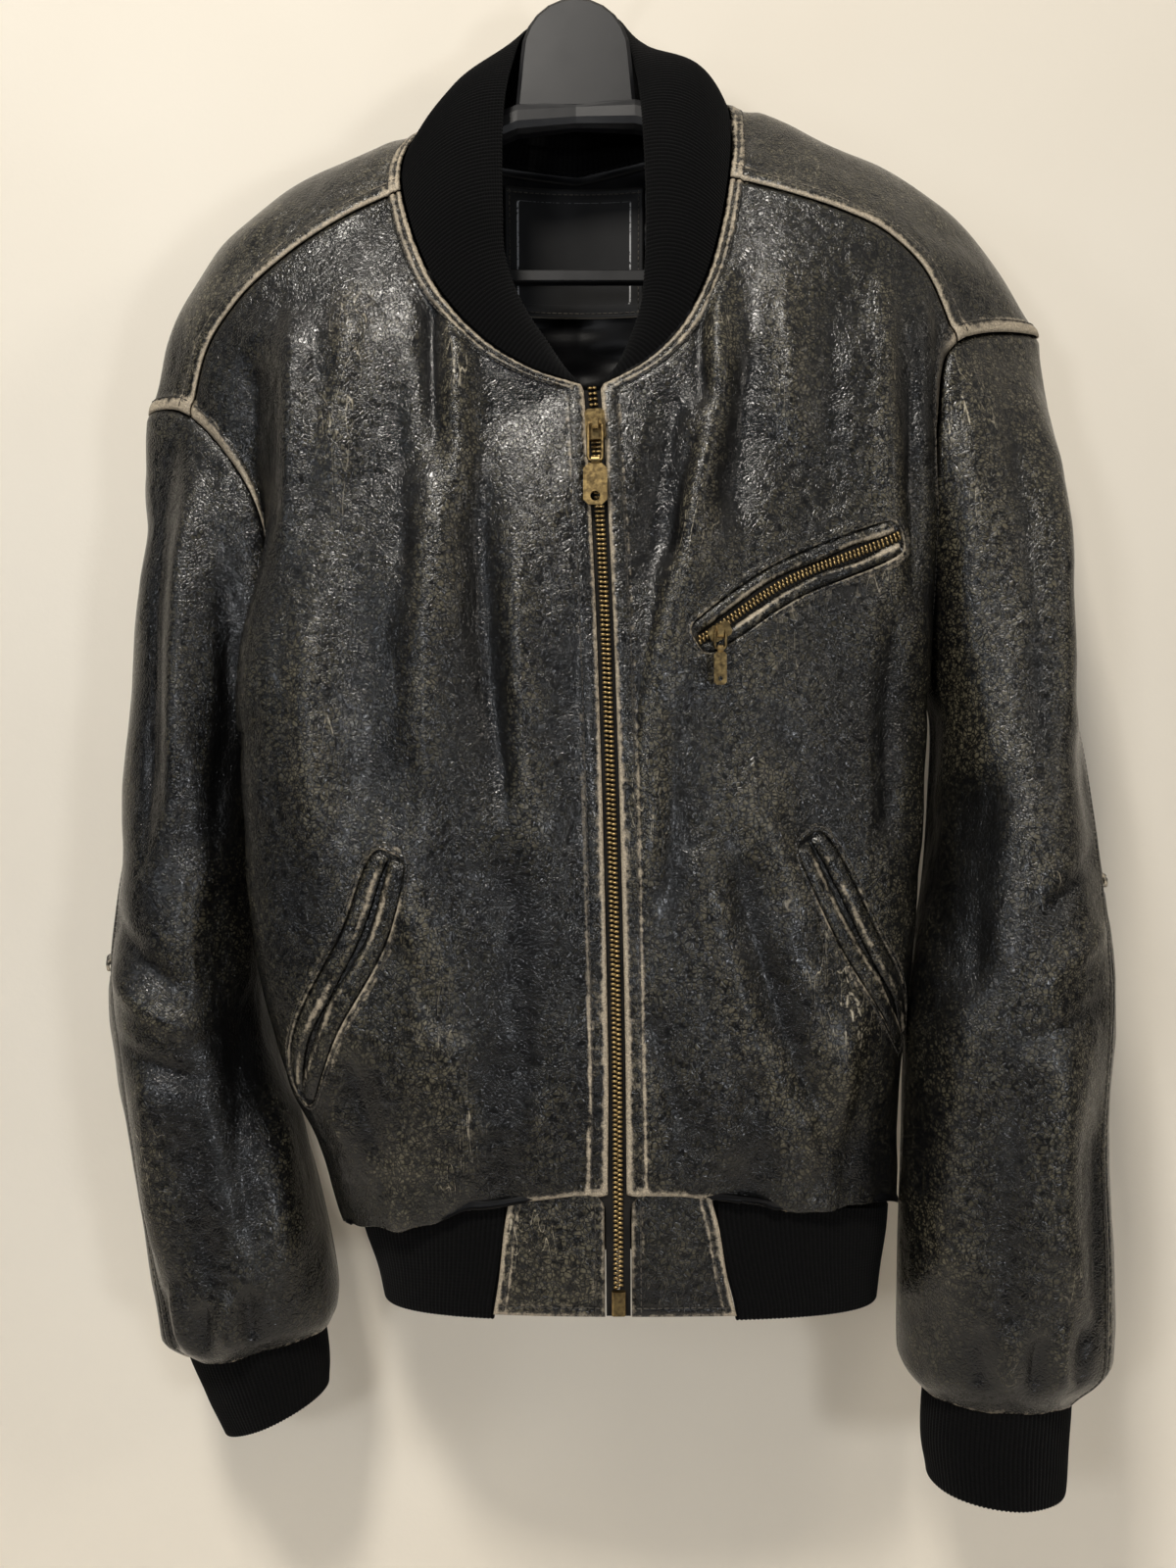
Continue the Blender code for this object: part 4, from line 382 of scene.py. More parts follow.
# A panel's points raised by its folds, away from its edges
def raiseFolds(part, side, s, t, body):
    calm = ease(t, 0.06, 0.16) * ease(s, 0.02, 0.12) * (1 - ease(s, 0.93, 1.0)) * (1 - ease(t, 0.93, 1.0))
    body[..., 1] += (-1.0 if part == "front" else 1.0) * foldHeight(part, side, body) * calm
    return body


# Points on the outer face of a front or of half the back, at shares across and up
def panelAt(part, side, s, t):
    body = bentRow(part, side, s, np.maximum(t, 0.03))
    top = topEdge(part, side, s) - bentRow(part, side, s, np.ones_like(t))
    body = body + top * ease(t, 0.55, 1.0)[..., None]
    body = np.where((t < 0.05)[..., None], hemPoint(part, side, s, True), body)
    body = np.where((t < 0.02)[..., None], hemPoint(part, side, s, False), body)
    return raiseFolds(part, side, s, t, body)


# The shoulder piece: from its front seam (0) over the ridge to its back seam (1)
def shoulderPoints(side, across, over):
    s, t = np.meshgrid(np.asarray(across, dtype=float), np.asarray(over, dtype=float))
    front = topEdge("front", side, s)
    back = curve(backSeam[side], "along", "xyz", s)
    neck = curve(neckSeam[side], "along", "xyz", 1 + t)
    hole = armholePoint(side, yokeAngle * (1 - 2 * t))
    f, h = t[..., None], s[..., None]
    ruled = front * (1 - f) + back * f
    sides = neck * (1 - h) + hole * h
    corner = {(i, j): (topEdge("front", side, float(i)) if j == 0
                       else curve(backSeam[side], "along", "xyz", float(i))) for i in (0, 1) for j in (0, 1)}
    twist = ((1 - h) * (1 - f) * corner[0, 0] + h * (1 - f) * corner[1, 0]
             + (1 - h) * f * corner[0, 1] + h * f * corner[1, 1])
    patch = ruled + sides - twist
    middle = np.full_like(t, 0.5)
    m = middle[..., None]
    ruledM = front * (1 - m) + back * m
    sidesM = (curve(neckSeam[side], "along", "xyz", 1 + middle) * (1 - h)
              + armholePoint(side, yokeAngle * (1 - 2 * middle)) * h)
    twistM = ((1 - h) * 0.5 * (corner[0, 0] + corner[0, 1]) + h * 0.5 * (corner[1, 0] + corner[1, 1]))
    lift = curve(shoulderRidge[side], "along", "xyz", s) - (ruledM + sidesM - twistM)
    ends = ease(s, 0.0, 0.12) * (1 - ease(s, 0.9, 1.0))
    arch = 4 * t * (1 - t)
    return patch + lift * (ends * arch)[..., None]


# A point on a sleeve section, as an ellipse between its outermost and innermost point
def sectionPoint(rows, index, angle):
    turn = np.radians(angle)
    out = np.array([rows["outX"][index], rows["midY"][index], rows["outZ"][index]])
    inn = np.array([rows["inX"][index], rows["midY"][index], rows["inZ"][index]])
    ahead = np.array([0.0, -rows["halfY"][index], 0.0])
    return (out + inn) / 2 + (out - inn) / 2 * np.cos(turn)[..., None] + ahead * np.sin(turn)[..., None]


# A point on the sleeve: section 0 is the armhole, 9 is the seam with the cuff
def sleevePoint(side, angle, section):
    angle = np.asarray(angle, dtype=float)
    section = np.asarray(section, dtype=float)
    rings = [armholePoint(side, angle)]
    rings += [sectionPoint(sleeveRings[side], index, angle) for index in range(8)]
    rings.append(cuffSeat(side, angle))
    rings = np.stack(rings)
    knots = np.arange(10.0)
    slopes = np.gradient(rings, knots, axis=0)
    slopes[8] *= 0.5
    low = np.clip(np.floor(section).astype(int), 0, 8)
    u = (section - low)[..., None]
    pick = np.indices(angle.shape)
    here, there = (low, *pick), (low + 1, *pick)
    return cubic(u, rings[here], rings[there], slopes[here], slopes[there])


def cuffPoint(side, angle, down):
    rows = cuffRings[side]
    rings = np.stack([sectionPoint(rows, index, angle) for index in range(4)])
    return smooth(np.array([0.0, 0.3, 0.6, 1.0]), rings.reshape(4, -1), np.array(down)).reshape(angle.shape + (3,))


# The ring round the cuff where the leather ends
def cuffSeat(side, angle):
    flat = np.asarray(angle, dtype=float)
    ring = cuffPoint(side, flat, 0.3)
    middle = (cuffPoint(side, np.array([0.0, 180.0]), 0.3)).mean(axis=0)
    return ring + unit(ring - middle) * (seamGap + 0.2)


tabDown = (0.15, 0.97)
tabEdge = {"right": (-36.0, -43.0), "left": (74.0, 85.0)}
tabClear = 7.0


# A hem tab's outer face, on the line of the waistband; across 0 is beside the zip
def tabPoints(side, across, down):
    top, foot = tabEdge[side]
    shift = 1.0 if side == "left" else -1.0
    ring = bandPoint(np.linspace(-60.0, 60.0, 121), down)
    share = (down - tabDown[0]) / (tabDown[-1] - tabDown[0])
    start = zipPoint(ring[60, 2])[0] + shift * tabClear
    end = top + (foot - top) * share
    x = start + (end - start) * np.asarray(across)
    order = np.argsort(ring[:, 0])
    y, z = (np.interp(x, ring[order, 0], ring[order, place]) for place in (1, 2))
    return np.stack([x, y - seamGap, z], axis=-1)


# Normals of a grid, all on the side that the way towards names
def gridNormals(points, towards):
    normals = unit(np.cross(np.gradient(points, axis=1), np.gradient(points, axis=0)))
    return normals * np.sign(np.sum(normals * towards, axis=-1).mean())


# A mesh from points in millimetres and blocks of faces, each block with one number of corners
def fillMesh(name, points, blocks):
    totals = np.concatenate([np.full(len(block), block.shape[1]) for block in blocks])
    mesh = bpy.data.meshes.new(name)
    mesh.vertices.add(points.size // 3)
    mesh.vertices.foreach_set("co", (points * mm).astype(np.float32).ravel())
    mesh.loops.add(totals.sum())
    mesh.loops.foreach_set("vertex_index", np.concatenate([block.ravel() for block in blocks]).astype(np.int32))
    mesh.polygons.add(len(totals))
    mesh.polygons.foreach_set("loop_start", (totals.cumsum() - totals).astype(np.int32))
    mesh.polygons.foreach_set("loop_total", totals.astype(np.int32))
    return mesh


def showMesh(mesh):
    mesh.update(calc_edges=True)
    mesh.validate()
    mesh.shade_smooth()
    obj = bpy.data.objects.new(mesh.name, mesh)
    bpy.context.scene.collection.objects.link(obj)
    return obj


# A quad mesh over a grid of points, its UV in metres along rows and columns, and named point values.
# Faces look the way that towards names; closed joins the last column to the first
def gridObject(name, points, towards, values=None, closed=False):
    rows, cols = points.shape[:2]
    index = np.arange(rows * cols).reshape(rows, cols)
    spread = np.arange(rows * (cols + 1)).reshape(rows, cols + 1)
    if closed:
        index = np.concatenate([index, index[:, :1]], axis=1)
    else:
        spread = spread[:, :cols]
    def quads(grid):
        return np.stack([grid[:-1, :-1], grid[:-1, 1:], grid[1:, 1:], grid[1:, :-1]], axis=-1).reshape(-1, 4)
    faces, seats = quads(index), quads(spread)
    across = np.gradient(points, axis=1)
    facing = np.sum(np.cross(across, np.gradient(points, axis=0)) * towards, axis=-1).mean()
    if facing < 0:
        faces, seats = faces[:, ::-1], seats[:, ::-1]
    ring = np.concatenate([points, points[:, :1]], axis=1)
    run = np.linalg.norm(np.diff(ring, axis=1), axis=-1).mean(axis=0).cumsum()
    rise = np.linalg.norm(np.diff(points, axis=0), axis=-1).mean(axis=1).cumsum()
    uv = np.stack(np.meshgrid(np.concatenate([[0.0], run]), np.concatenate([[0.0], rise])), axis=-1) * mm
    mesh = fillMesh(name, points, [faces])
    layer = mesh.uv_layers.new(name="UVMap")
    layer.data.foreach_set("uv", uv.reshape(-1, 2)[seats.ravel()].astype(np.float32).ravel())
    for key, value in (values or {}).items():
        item = mesh.attributes.new(key, "FLOAT", "POINT")
        item.data.foreach_set("value", np.broadcast_to(value, (rows, cols)).astype(np.float32).ravel())
    return showMesh(mesh)


# Many copies of one small solid: at each place, template = along * a + across * b + out * c
def copiesObject(name, verts, faces, places, along, across, out):
    local = verts[None]
    points = (places[:, None] + local[..., 0:1] * along[:, None] + local[..., 1:2] * across[:, None]
              + local[..., 2:3] * out[:, None])
    step = (np.arange(len(places)) * len(verts))[:, None]
    blocks = []
    for size in sorted({len(face) for face in faces}):
        some = np.array([face for face in faces if len(face) == size])
        blocks.append((some[None] + step[..., None]).reshape(-1, size))
    return showMesh(fillMesh(name, points, blocks))


# Quads between rings with the same number of points, and a face at each end
def tubeFaces(rings, sides):
    faces = []
    for first in range(0, (rings - 1) * sides, sides):
        for place in range(sides):
            a, b = first + place, first + (place + 1) % sides
            faces.append((a, b, b + sides, a + sides))
    last = (rings - 1) * sides
    return faces + [tuple(range(sides))[::-1], tuple(range(last, last + sides))]


# A closed spindle with rings of six points: x along it, y across, z out
def spindle(length, radius, flat=0.8):
    stations = np.array([-0.5, -0.42, 0.0, 0.42, 0.5]) * length
    girth = np.array([0.25, 0.8, 1.0, 0.8, 0.25]) * radius
    turns = np.radians(np.arange(0, 360, 60))
    verts = np.stack([np.repeat(stations, 6), np.outer(girth, np.cos(turns)).ravel(),
                      np.outer(girth, np.sin(turns)).ravel() * flat], axis=-1)
    return verts, tubeFaces(5, 6)


# Points at even steps along a path, with the tangent there and the path's other values
def evenSteps(path, pitch, *others, start=0.0, end=0.0):
    lengths = runAlong(path)
    count = max(2, int((lengths[-1] - start - end) / pitch))
    at = np.linspace(start, lengths[-1] - end, count)
    def pick(rows):
        return np.stack([np.interp(at, lengths, rows[:, axis]) for axis in range(rows.shape[1])], axis=-1)
    ahead = pick(np.gradient(path, lengths, axis=0))
    return (pick(path), unit(ahead), *(pick(other) for other in others))


# Smooth random values between -1 and 1 in space: random numbers on a lattice of the given pitch
def roughField(points, pitch, seed):
    lattice = np.random.default_rng(seed).uniform(-1, 1, (32, 32, 32))
    place = points / pitch + 1000.0
    low = np.floor(place).astype(int)
    u = place - low
    u = u * u * (3 - 2 * u)
    total = 0.0
    for i in (0, 1):
        for j in (0, 1):
            for k in (0, 1):
                weight = (np.abs(1 - i - u[..., 0]) * np.abs(1 - j - u[..., 1]) * np.abs(1 - k - u[..., 2]))
                total = total + weight * lattice[(low[..., 0] + i) % 32, (low[..., 1] + j) % 32,
                                                 (low[..., 2] + k) % 32]
    return total


# Millimetres from the first and last column and the first and last row of a grid
def edgeDistance(points):
    run = np.linalg.norm(np.diff(points, axis=1), axis=-1).cumsum(axis=1)
    run = np.concatenate([np.zeros((len(points), 1)), run], axis=1)
    rise = np.linalg.norm(np.diff(points, axis=0), axis=-1).cumsum(axis=0)
    rise = np.concatenate([np.zeros((1, points.shape[1])), rise], axis=0)
    return run, run[:, -1:] - run, rise, rise[-1:] - rise


# Height of creases at points: each runs from (x1, z1) to (x2, z2) in the front view and bows
# sideways; positive is a round ridge, negative a trough with a narrower foot
def creaseHeight(rows, points):
    height = np.zeros(points.shape[:-1])
    for *line, bow, wide, high in rows:
        along, aside = fromLine(*line, points)
        aside = aside - bow * (1 - (2 * np.clip(along, 0, 1) - 1) ** 2)
        ends = ease(along, -0.15, 0.25) * (1 - ease(along, 0.75, 1.15))
        shape = np.exp(-(np.abs(aside) / wide) ** (2.0 if high > 0 else 1.5))
        height += high * shape * ends
    return height


# Strength of soft patches at points: middle (x, z), half sizes and strength in the front view
def patchStrength(rows, points):
    strength = np.zeros(points.shape[:-1])
    for x, z, halfX, halfZ, most in rows:
        off = ((points[..., 0] - x) / halfX) ** 2 + ((points[..., 2] - z) / halfZ) ** 2
        strength += most * np.exp(-off)
    return strength


# A sewn edge: the leather turns down at the edge, is doubled up to the topstitch,
# and dips along the topstitch; wear is strongest on the turned edge and beside the stitch
def sewnEdge(distance, stitch, lift=0.7, drop=1.1, worn=1.0):
    height = lift * (1 - ease(distance, stitch - 0.5, stitch + 2.0)) - drop * bell(distance, 1.7)
    height = height - 0.55 * bell(distance - stitch, 1.1)
    wear = worn * (bell(distance, 2.2) + 0.45 * bell(distance - stitch - 1.2, 1.2)
                   + 0.18 * (1 - ease(distance, stitch, stitch + 3)))
    return height, wear


stitching = {"pitch": 3.3, "length": 2.7, "radius": 0.42}
# How far in from its edge each row of stitches runs
stitchIn = {"fly": 9.0, "neck": 8.2, "neckrow": 3.6, "hole": 7.5, "saddle": 8.0, "sleeve": 5.0, "elbow": 6.0,
            "tab": 5.0, "patch": 3.2}
madeStitches = []


# A row of stitches at a distance from a grid's edge, on its displaced surface
def stitchEdge(name, points, normals, edge, distance, skip=(4.0, 4.0)):
    first, last, low, high = edgeDistance(points)
    grid, face, away = {"first": (points, normals, first), "last": (points, normals, last),
                        "low": (points.swapaxes(0, 1), normals.swapaxes(0, 1), low.T),
                        "high": (points.swapaxes(0, 1), normals.swapaxes(0, 1), high.T)}[edge]
    order = slice(None, None, -1 if edge in ("last", "high") else 1)
    grid, face, away = grid[:, order], face[:, order], away[:, order]
    seat = np.clip(np.argmax(away >= distance, axis=1), 1, away.shape[1] - 1)
    row = np.arange(len(grid))
    share = ((distance - away[row, seat - 1]) / np.maximum(away[row, seat] - away[row, seat - 1], 1e-6))[:, None]
    path = grid[row, seat - 1] * (1 - share) + grid[row, seat] * share
    out = face[row, seat]
    stitchPath(name, path, out, skip)


def stitchPath(name, path, out, skip=(2.0, 2.0)):
    places, along, up = evenSteps(path, stitching["pitch"], out, start=skip[0], end=skip[1])
    up = unit(up - along * np.sum(up * along, axis=1, keepdims=True))
    verts, faces = spindle(stitching["length"], stitching["radius"])
    obj = copiesObject(name, verts, faces, places + up * 0.15, along, np.cross(up, along), up)
    madeStitches.append(obj)


# A material's number: +, - and * join it to another number by a Math node
class Flow:
    def __init__(self, add, socket):
        self.add, self.socket = add, socket

    def join(self, operation, first, second=0.0):
        node = self.add("ShaderNodeMath", {"operation": operation}, i0=first, i1=second)
        return Flow(self.add, node.outputs[0])

    def __add__(self, other):
        return self.join("ADD", self, other)

    def __sub__(self, other):
        return self.join("SUBTRACT", self, other)

    def __rsub__(self, other):
        return self.join("SUBTRACT", other, self)

    def __mul__(self, other):
        return self.join("MULTIPLY", self, other)

    # The last sum held between 0 and 1
    def held(self):
        self.socket.node.use_clamp = True
        return self

    # A soft step that is 0 at low and 1 at high
    def step(self, low, high):
        node = self.add("ShaderNodeMapRange", {"interpolation_type": "SMOOTHSTEP", "clamp": True}, Value=self)
        node.inputs["From Min"].default_value, node.inputs["From Max"].default_value = low, high
        return Flow(self.add, node.outputs["Result"])


# A named material, its shader, and nodeMaker's add(kind, settings, socket=value), where i0 names the
# first socket, and link(value, socket)
def newLook(name, color, roughness, metallic=0.0):
    look = bpy.data.materials.new(name)
    look.use_nodes = True
    look.diffuse_color = (*color, 1.0)
    tree = look.node_tree
    shader = tree.nodes["Principled BSDF"]
    shader.inputs["Base Color"].default_value = (*color, 1.0)
    shader.inputs["Roughness"].default_value = roughness
    shader.inputs["Metallic"].default_value = metallic
    return look, shader, *nodeMaker(tree)


def nodeMaker(tree):
    def link(value, socket):
        tree.links.new(value.socket if isinstance(value, Flow) else value, socket)

    def add(kind, settings=None, **sockets):
        node = tree.nodes.new(kind)
        for key, value in (settings or {}).items():
            setattr(node, key, value)
        for key, value in sockets.items():
            socket = node.inputs[int(key[1:])] if key[0] == "i" and key[1:].isdigit() else node.inputs[key]
            if isinstance(value, (Flow, bpy.types.NodeSocket)):
                link(value, socket)
            else:
                socket.default_value = value
        return node
    return add, link


# Colour a where share is 0 and b where it is 1
def mixColor(add, share, a, b):
    a, b = (value if isinstance(value, bpy.types.NodeSocket) else (*value, 1.0) for value in (a, b))
    return add("ShaderNodeMix", {"data_type": "RGBA"}, i0=share, i6=a, i7=b).outputs[2]


def noiseAt(add, place, scale, detail=3.0, roughness=0.55, distortion=0.0):
    node = add("ShaderNodeTexNoise", None, Vector=place, Scale=scale, Detail=detail, Roughness=roughness,
               Distortion=distortion)
    return Flow(add, node.outputs["Fac"])


# How far each place is from the border of its cell
def cellsAt(add, place, scale):
    node = add("ShaderNodeTexVoronoi", {"feature": "DISTANCE_TO_EDGE"}, Vector=place, Scale=scale)
    return Flow(add, node.outputs["Distance"])


def objectPlace(add, scale=(1, 1, 1), turn=(0, 0, 0)):
    at = add("ShaderNodeTexCoord").outputs["Object"]
    return add("ShaderNodeMapping", None, Vector=at, Scale=scale, Rotation=turn).outputs["Vector"]


def valueNamed(add, name):
    return Flow(add, add("ShaderNodeAttribute", {"attribute_name": name}).outputs["Fac"])


# Normals bent by a height, over an earlier bump's normals where there is one
def bumpOf(add, height, strength, distance, over=None):
    sockets = {"Height": height, "Strength": strength, "Distance": distance}
    return add("ShaderNodeBump", None, **sockets, **({"Normal": over} if over else {})).outputs[0]


# valley is the near-black colour of painted shade in fold valleys and recesses
hide = {"dusty": (0.040, 0.036, 0.024), "deep": (0.0028, 0.0028, 0.0031), "plain": (0.0048, 0.0048, 0.0046),
        "rubbed": (0.125, 0.108, 0.068), "bare": (0.66, 0.55, 0.40), "bareLow": (0.30, 0.255, 0.19),
        "scratch": (0.42, 0.37, 0.28), "valley": (0.003, 0.003, 0.003), "grain": 400.0, "roughness": 0.21}


# Old hide: charcoal finish crazed into small cells, olive where the tops of the cells are rubbed,
# cream where a seam's edge is worn through, thin pale scratches, and near-black painted shade in fold valleys, pocket
# openings and along the feet of seams
def makeLeather():
    look, shader, add, link = newLook("worn_leather", hide["plain"], hide["roughness"])
    at = objectPlace(add)
    warp = add("ShaderNodeTexNoise", None, Vector=at, Scale=160.0, Detail=0.0)
    bent = add("ShaderNodeVectorMath", {"operation": "MULTIPLY_ADD"}, i0=warp.outputs["Color"],
               i1=(0.004, 0.004, 0.004), i2=at).outputs[0]
    tops = cellsAt(add, bent, hide["grain"]).step(0.01, 0.24)
    smallTops = cellsAt(add, bent, hide["grain"] * 2.3).step(0.02, 0.25)
    cloud = noiseAt(add, at, 16.0, 5.0, 0.6)
    fleck = noiseAt(add, at, 260.0, 5.0, 0.68)
    speck = noiseAt(add, at, 1300.0, 2.0, 0.7)
    base = mixColor(add, cloud.step(0.36, 0.66), hide["deep"], hide["plain"])
    base = mixColor(add, tops * fleck.step(0.38, 0.62) * cloud.step(0.24, 0.60), base, hide["dusty"])

    rub = valueNamed(add, "rub")
    speckled = fleck.step(0.36, 0.66) * speck.step(0.22, 0.62)
    rubShare = ((rub + (cloud - 0.5) * 1.9).step(0.1, 1.2) * (tops * speckled)).held()
    color = mixColor(add, rubShare * 0.9, base, hide["rubbed"])

    lines = []
    for stretch, turn, level in (((55, 55, 9), (0.0, 0.9, 0.3), 0.5), ((42, 42, 7), (0.0, -0.6, 0.2), 0.47)):
        field = noiseAt(add, objectPlace(add, stretch, turn), 1.0, 1.0, 0.5, 1.6)
        lines.append(1.0 - field.join("ABSOLUTE", field - level).step(0.0012, 0.0042))
    scuffed = noiseAt(add, at, 11.0, 2.0).step(0.54, 0.66) * rub.step(0.1, 0.7)
    scratch = rub.join("MAXIMUM", *lines) * scuffed * fleck.step(0.42, 0.56)
    color = mixColor(add, scratch, color, hide["scratch"])

    wear = valueNamed(add, "wear")
    ragged = (fleck - 0.5) * 2.0 + (cloud - 0.5) * 1.3
    bareShare = (wear + ragged).step(0.42, 1.25) * wear.step(0.05, 0.35)
    bare = mixColor(add, speck.step(0.35, 0.7), hide["bareLow"], hide["bare"])
    color = mixColor(add, bareShare * 0.86, color, bare)
    # painted shade: each piece's shade value darkens the colour to near-black in fold valleys and recesses
    color = mixColor(add, valueNamed(add, "dark"), color, hide["valley"])
    link(color, shader.inputs["Base Color"])
    rough = (fleck - 0.5) * 0.22
    rough = (rough.join("ADD", hide["roughness"], rough) + rubShare * 0.14 + bareShare * 0.3).held()
    link(rough, shader.inputs["Roughness"])

    grain = tops * 0.7 + smallTops * 0.3 + fleck * 0.25
    dents = noiseAt(add, objectPlace(add, (44, 44, 22)), 1.0, 2.0, 0.5, 0.4)
    link(bumpOf(add, grain, 0.75, 0.00024, bumpOf(add, dents, 1.0, 0.0024)), shader.inputs["Normal"])
    shader.inputs["Specular IOR Level"].default_value = 0.42
    return look


# Ribbed wool: matt black, lighter fuzz on the ribs and painted shade in the grooves between them, with small V
# stitches along each rib
def makeKnit():
    look, shader, add, link = newLook("ribbed_knit", (0.006, 0.006, 0.007), 0.95)
    at = objectPlace(add)
    fuzz = noiseAt(add, at, 700.0, 3.0, 0.7)
    lint = noiseAt(add, at, 330.0, 4.0, 0.75).step(0.70, 0.78)
    uv = add("ShaderNodeTexCoord").outputs["UV"]
    rows = add("ShaderNodeTexWave", {"wave_type": "BANDS", "bands_direction": "Y"}, Vector=uv, Scale=190.0,
               Distortion=0.6)
    color = mixColor(add, fuzz, (0.0016, 0.0016, 0.0018), (0.0042, 0.0042, 0.0044))
    # painted shade in the grooves between the ribs
    color = mixColor(add, valueNamed(add, "groove"), color, (0.0008, 0.0008, 0.0008))
    color = mixColor(add, lint * 0.25, color, (0.10, 0.09, 0.08))
    link(color, shader.inputs["Base Color"])
    height = Flow(add, rows.outputs["Fac"]) * 0.6 + fuzz * 0.6
    link(bumpOf(add, height, 0.5, 0.0003), shader.inputs["Normal"])
    shader.inputs["Sheen Weight"].default_value = 0.03
    shader.inputs["Sheen Roughness"].default_value = 0.5
    shader.inputs["Specular IOR Level"].default_value = 0.08
    return look


# Woven cloth: fine crossed threads on the piece's own UV
def makeCloth(name, color, roughness, threads, shine=0.14, rise=0.00015):
    look, shader, add, link = newLook(name, color, roughness)
    uv = add("ShaderNodeTexCoord").outputs["UV"]
    waves = (add("ShaderNodeTexWave", {"bands_direction": way}, Vector=uv, Scale=threads) for way in "XY")
    warp, weft = (Flow(add, wave.outputs["Fac"]) for wave in waves)
    cloud = noiseAt(add, objectPlace(add), 60.0, 4.0).step(0.35, 0.75)
    dusty = mixColor(add, cloud, tuple(c * 0.75 for c in color), tuple(c * 1.5 for c in color))
    link(dusty, shader.inputs["Base Color"])
    link(bumpOf(add, warp * weft, 0.4, rise), shader.inputs["Normal"])
    shader.inputs["Specular IOR Level"].default_value = shine
    return look


# Metal or moulded plastic with soft stains, darker in some places
def makeHard(name, color, roughness, metallic, stain, scale=60.0, bumpy=0.15):
    look, shader, add, link = newLook(name, color, roughness, metallic)
    at = objectPlace(add)
    cloud = noiseAt(add, at, scale, 5.0, 0.65)
    link(mixColor(add, cloud.step(0.38, 0.66), stain, color), shader.inputs["Base Color"])
    uneven = (cloud - 0.5) * 0.3
    link(uneven.join("ADD", roughness, uneven).held(), shader.inputs["Roughness"])
    link(bumpOf(add, noiseAt(add, at, 1400.0, 3.0, 0.6), bumpy, 0.0001), shader.inputs["Normal"])
    return look


# Plain smooth patch leather with a silver double line inside its edge
def makePatch():
    look, shader, add, link = newLook("patch_leather", (0.012, 0.012, 0.013), 0.5)
    at = objectPlace(add)
    color = mixColor(add, noiseAt(add, at, 80.0, 4.0), (0.004, 0.004, 0.0045), (0.010, 0.010, 0.010))
    color = mixColor(add, valueNamed(add, "wear").step(0.3, 0.9) * 0.5, color, (0.40, 0.36, 0.30))
    silver = valueNamed(add, "line").step(0.45, 0.75) * noiseAt(add, at, 500.0, 3.0).step(0.36, 0.5)
    link(mixColor(add, silver, color, (0.46, 0.46, 0.47)), shader.inputs["Base Color"])
    link(bumpOf(add, cellsAt(add, at, 900.0), 0.3, 0.0002), shader.inputs["Normal"])
    shader.inputs["Specular IOR Level"].default_value = 0.2
    return look


leatherLook = makeLeather()
knitLook = makeKnit()
patchLook = makePatch()
liningLook = makeCloth("lining_satin", (0.0022, 0.0022, 0.0026), 0.33, 420.0, 0.11, 0.00005)
tapeLook = makeCloth("zip_tape", (0.011, 0.010, 0.009), 0.85, 330.0)
brassLook = makeHard("antique_brass", (0.42, 0.30, 0.13), 0.33, 1.0, (0.24, 0.17, 0.08), 420.0)
plasticLook = makeHard("hanger_plastic", (0.013, 0.013, 0.014), 0.42, 0.0, (0.009, 0.009, 0.010), 40.0, 0.25)
plasticLook.node_tree.nodes["Principled BSDF"].inputs["Specular IOR Level"].default_value = 0.3
steelLook = makeHard("hook_steel", (0.55, 0.54, 0.52), 0.28, 1.0, (0.42, 0.41, 0.40), 90.0)
threadLook = makeHard("waxed_thread", (0.014, 0.013, 0.012), 0.75, 0.0, (0.06, 0.052, 0.04), 150.0)
print("finishes made")


leatherSheet = {"thick": 1.2, "fine": 1.3, "band": 13.0, "coarse": 3.1, "lump": 2.4, "grainLump": 0.25}


# Shares along a line of points whose steps are fine within a band at both ends and coarse between
def stepShares(line, fine=None, coarse=None):
    fine, coarse = fine or leatherSheet["fine"], coarse or leatherSheet["coarse"]
    run = runAlong(line)
    band = np.arange(0.0, leatherSheet["band"], fine)
    middle = np.linspace(band[-1] + fine, run[-1] - band[-1] - fine, max(2, int(run[-1] / coarse)))
    stops = np.concatenate([band, middle, (run[-1] - band)[::-1]])
    return np.interp(stops, run, np.linspace(0.0, 1.0, len(line)))


# A front or half of the back at shares (s, t): the bent rows, eased to the top seam,
# and below t = 0.14 a cubic curve through the seam, the fold of the hem and the rows above it
def panelSurface(part, side, s, t):
    s, t = np.broadcast_arrays(np.asarray(s, dtype=float), np.asarray(t, dtype=float))
    top = topEdge(part, side, s) - bentRow(part, side, s, np.ones_like(t))
    body = bentRow(part, side, s, np.maximum(t, 0.08)) + top * ease(t, 0.55, 1.0)[..., None]
    line = s[0] if s.ndim == 2 else s
    stack = [hemPoint(part, side, line, False), hemPoint(part, side, line, True)]
    stack += [bentRow(part, side, line, np.full_like(line, up)) for up in (0.08, 0.14, 0.20)]
    low = t < 0.14
    if low.any() and s.ndim == 2:
        rows = low.any(axis=1)
        body[rows] = smooth(np.array([0.0, 0.03, 0.08, 0.14, 0.20]), np.stack(stack), t[rows, 0])
    body = raiseFolds(part, side, s, t, body)
    level = body * np.array([1.0, 0.4, 0.0])
    wave = roughField(level, 26.0, 9) + 0.5 * roughField(level, 12.0, 10)
    away = ease(np.abs(body[..., 0] - 20.0), 58.0, 84.0) if part == "front" else 1.0
    body[..., 2] += 3.2 * wave * away * (1 - ease(t, 0.02, 0.14))
    return body
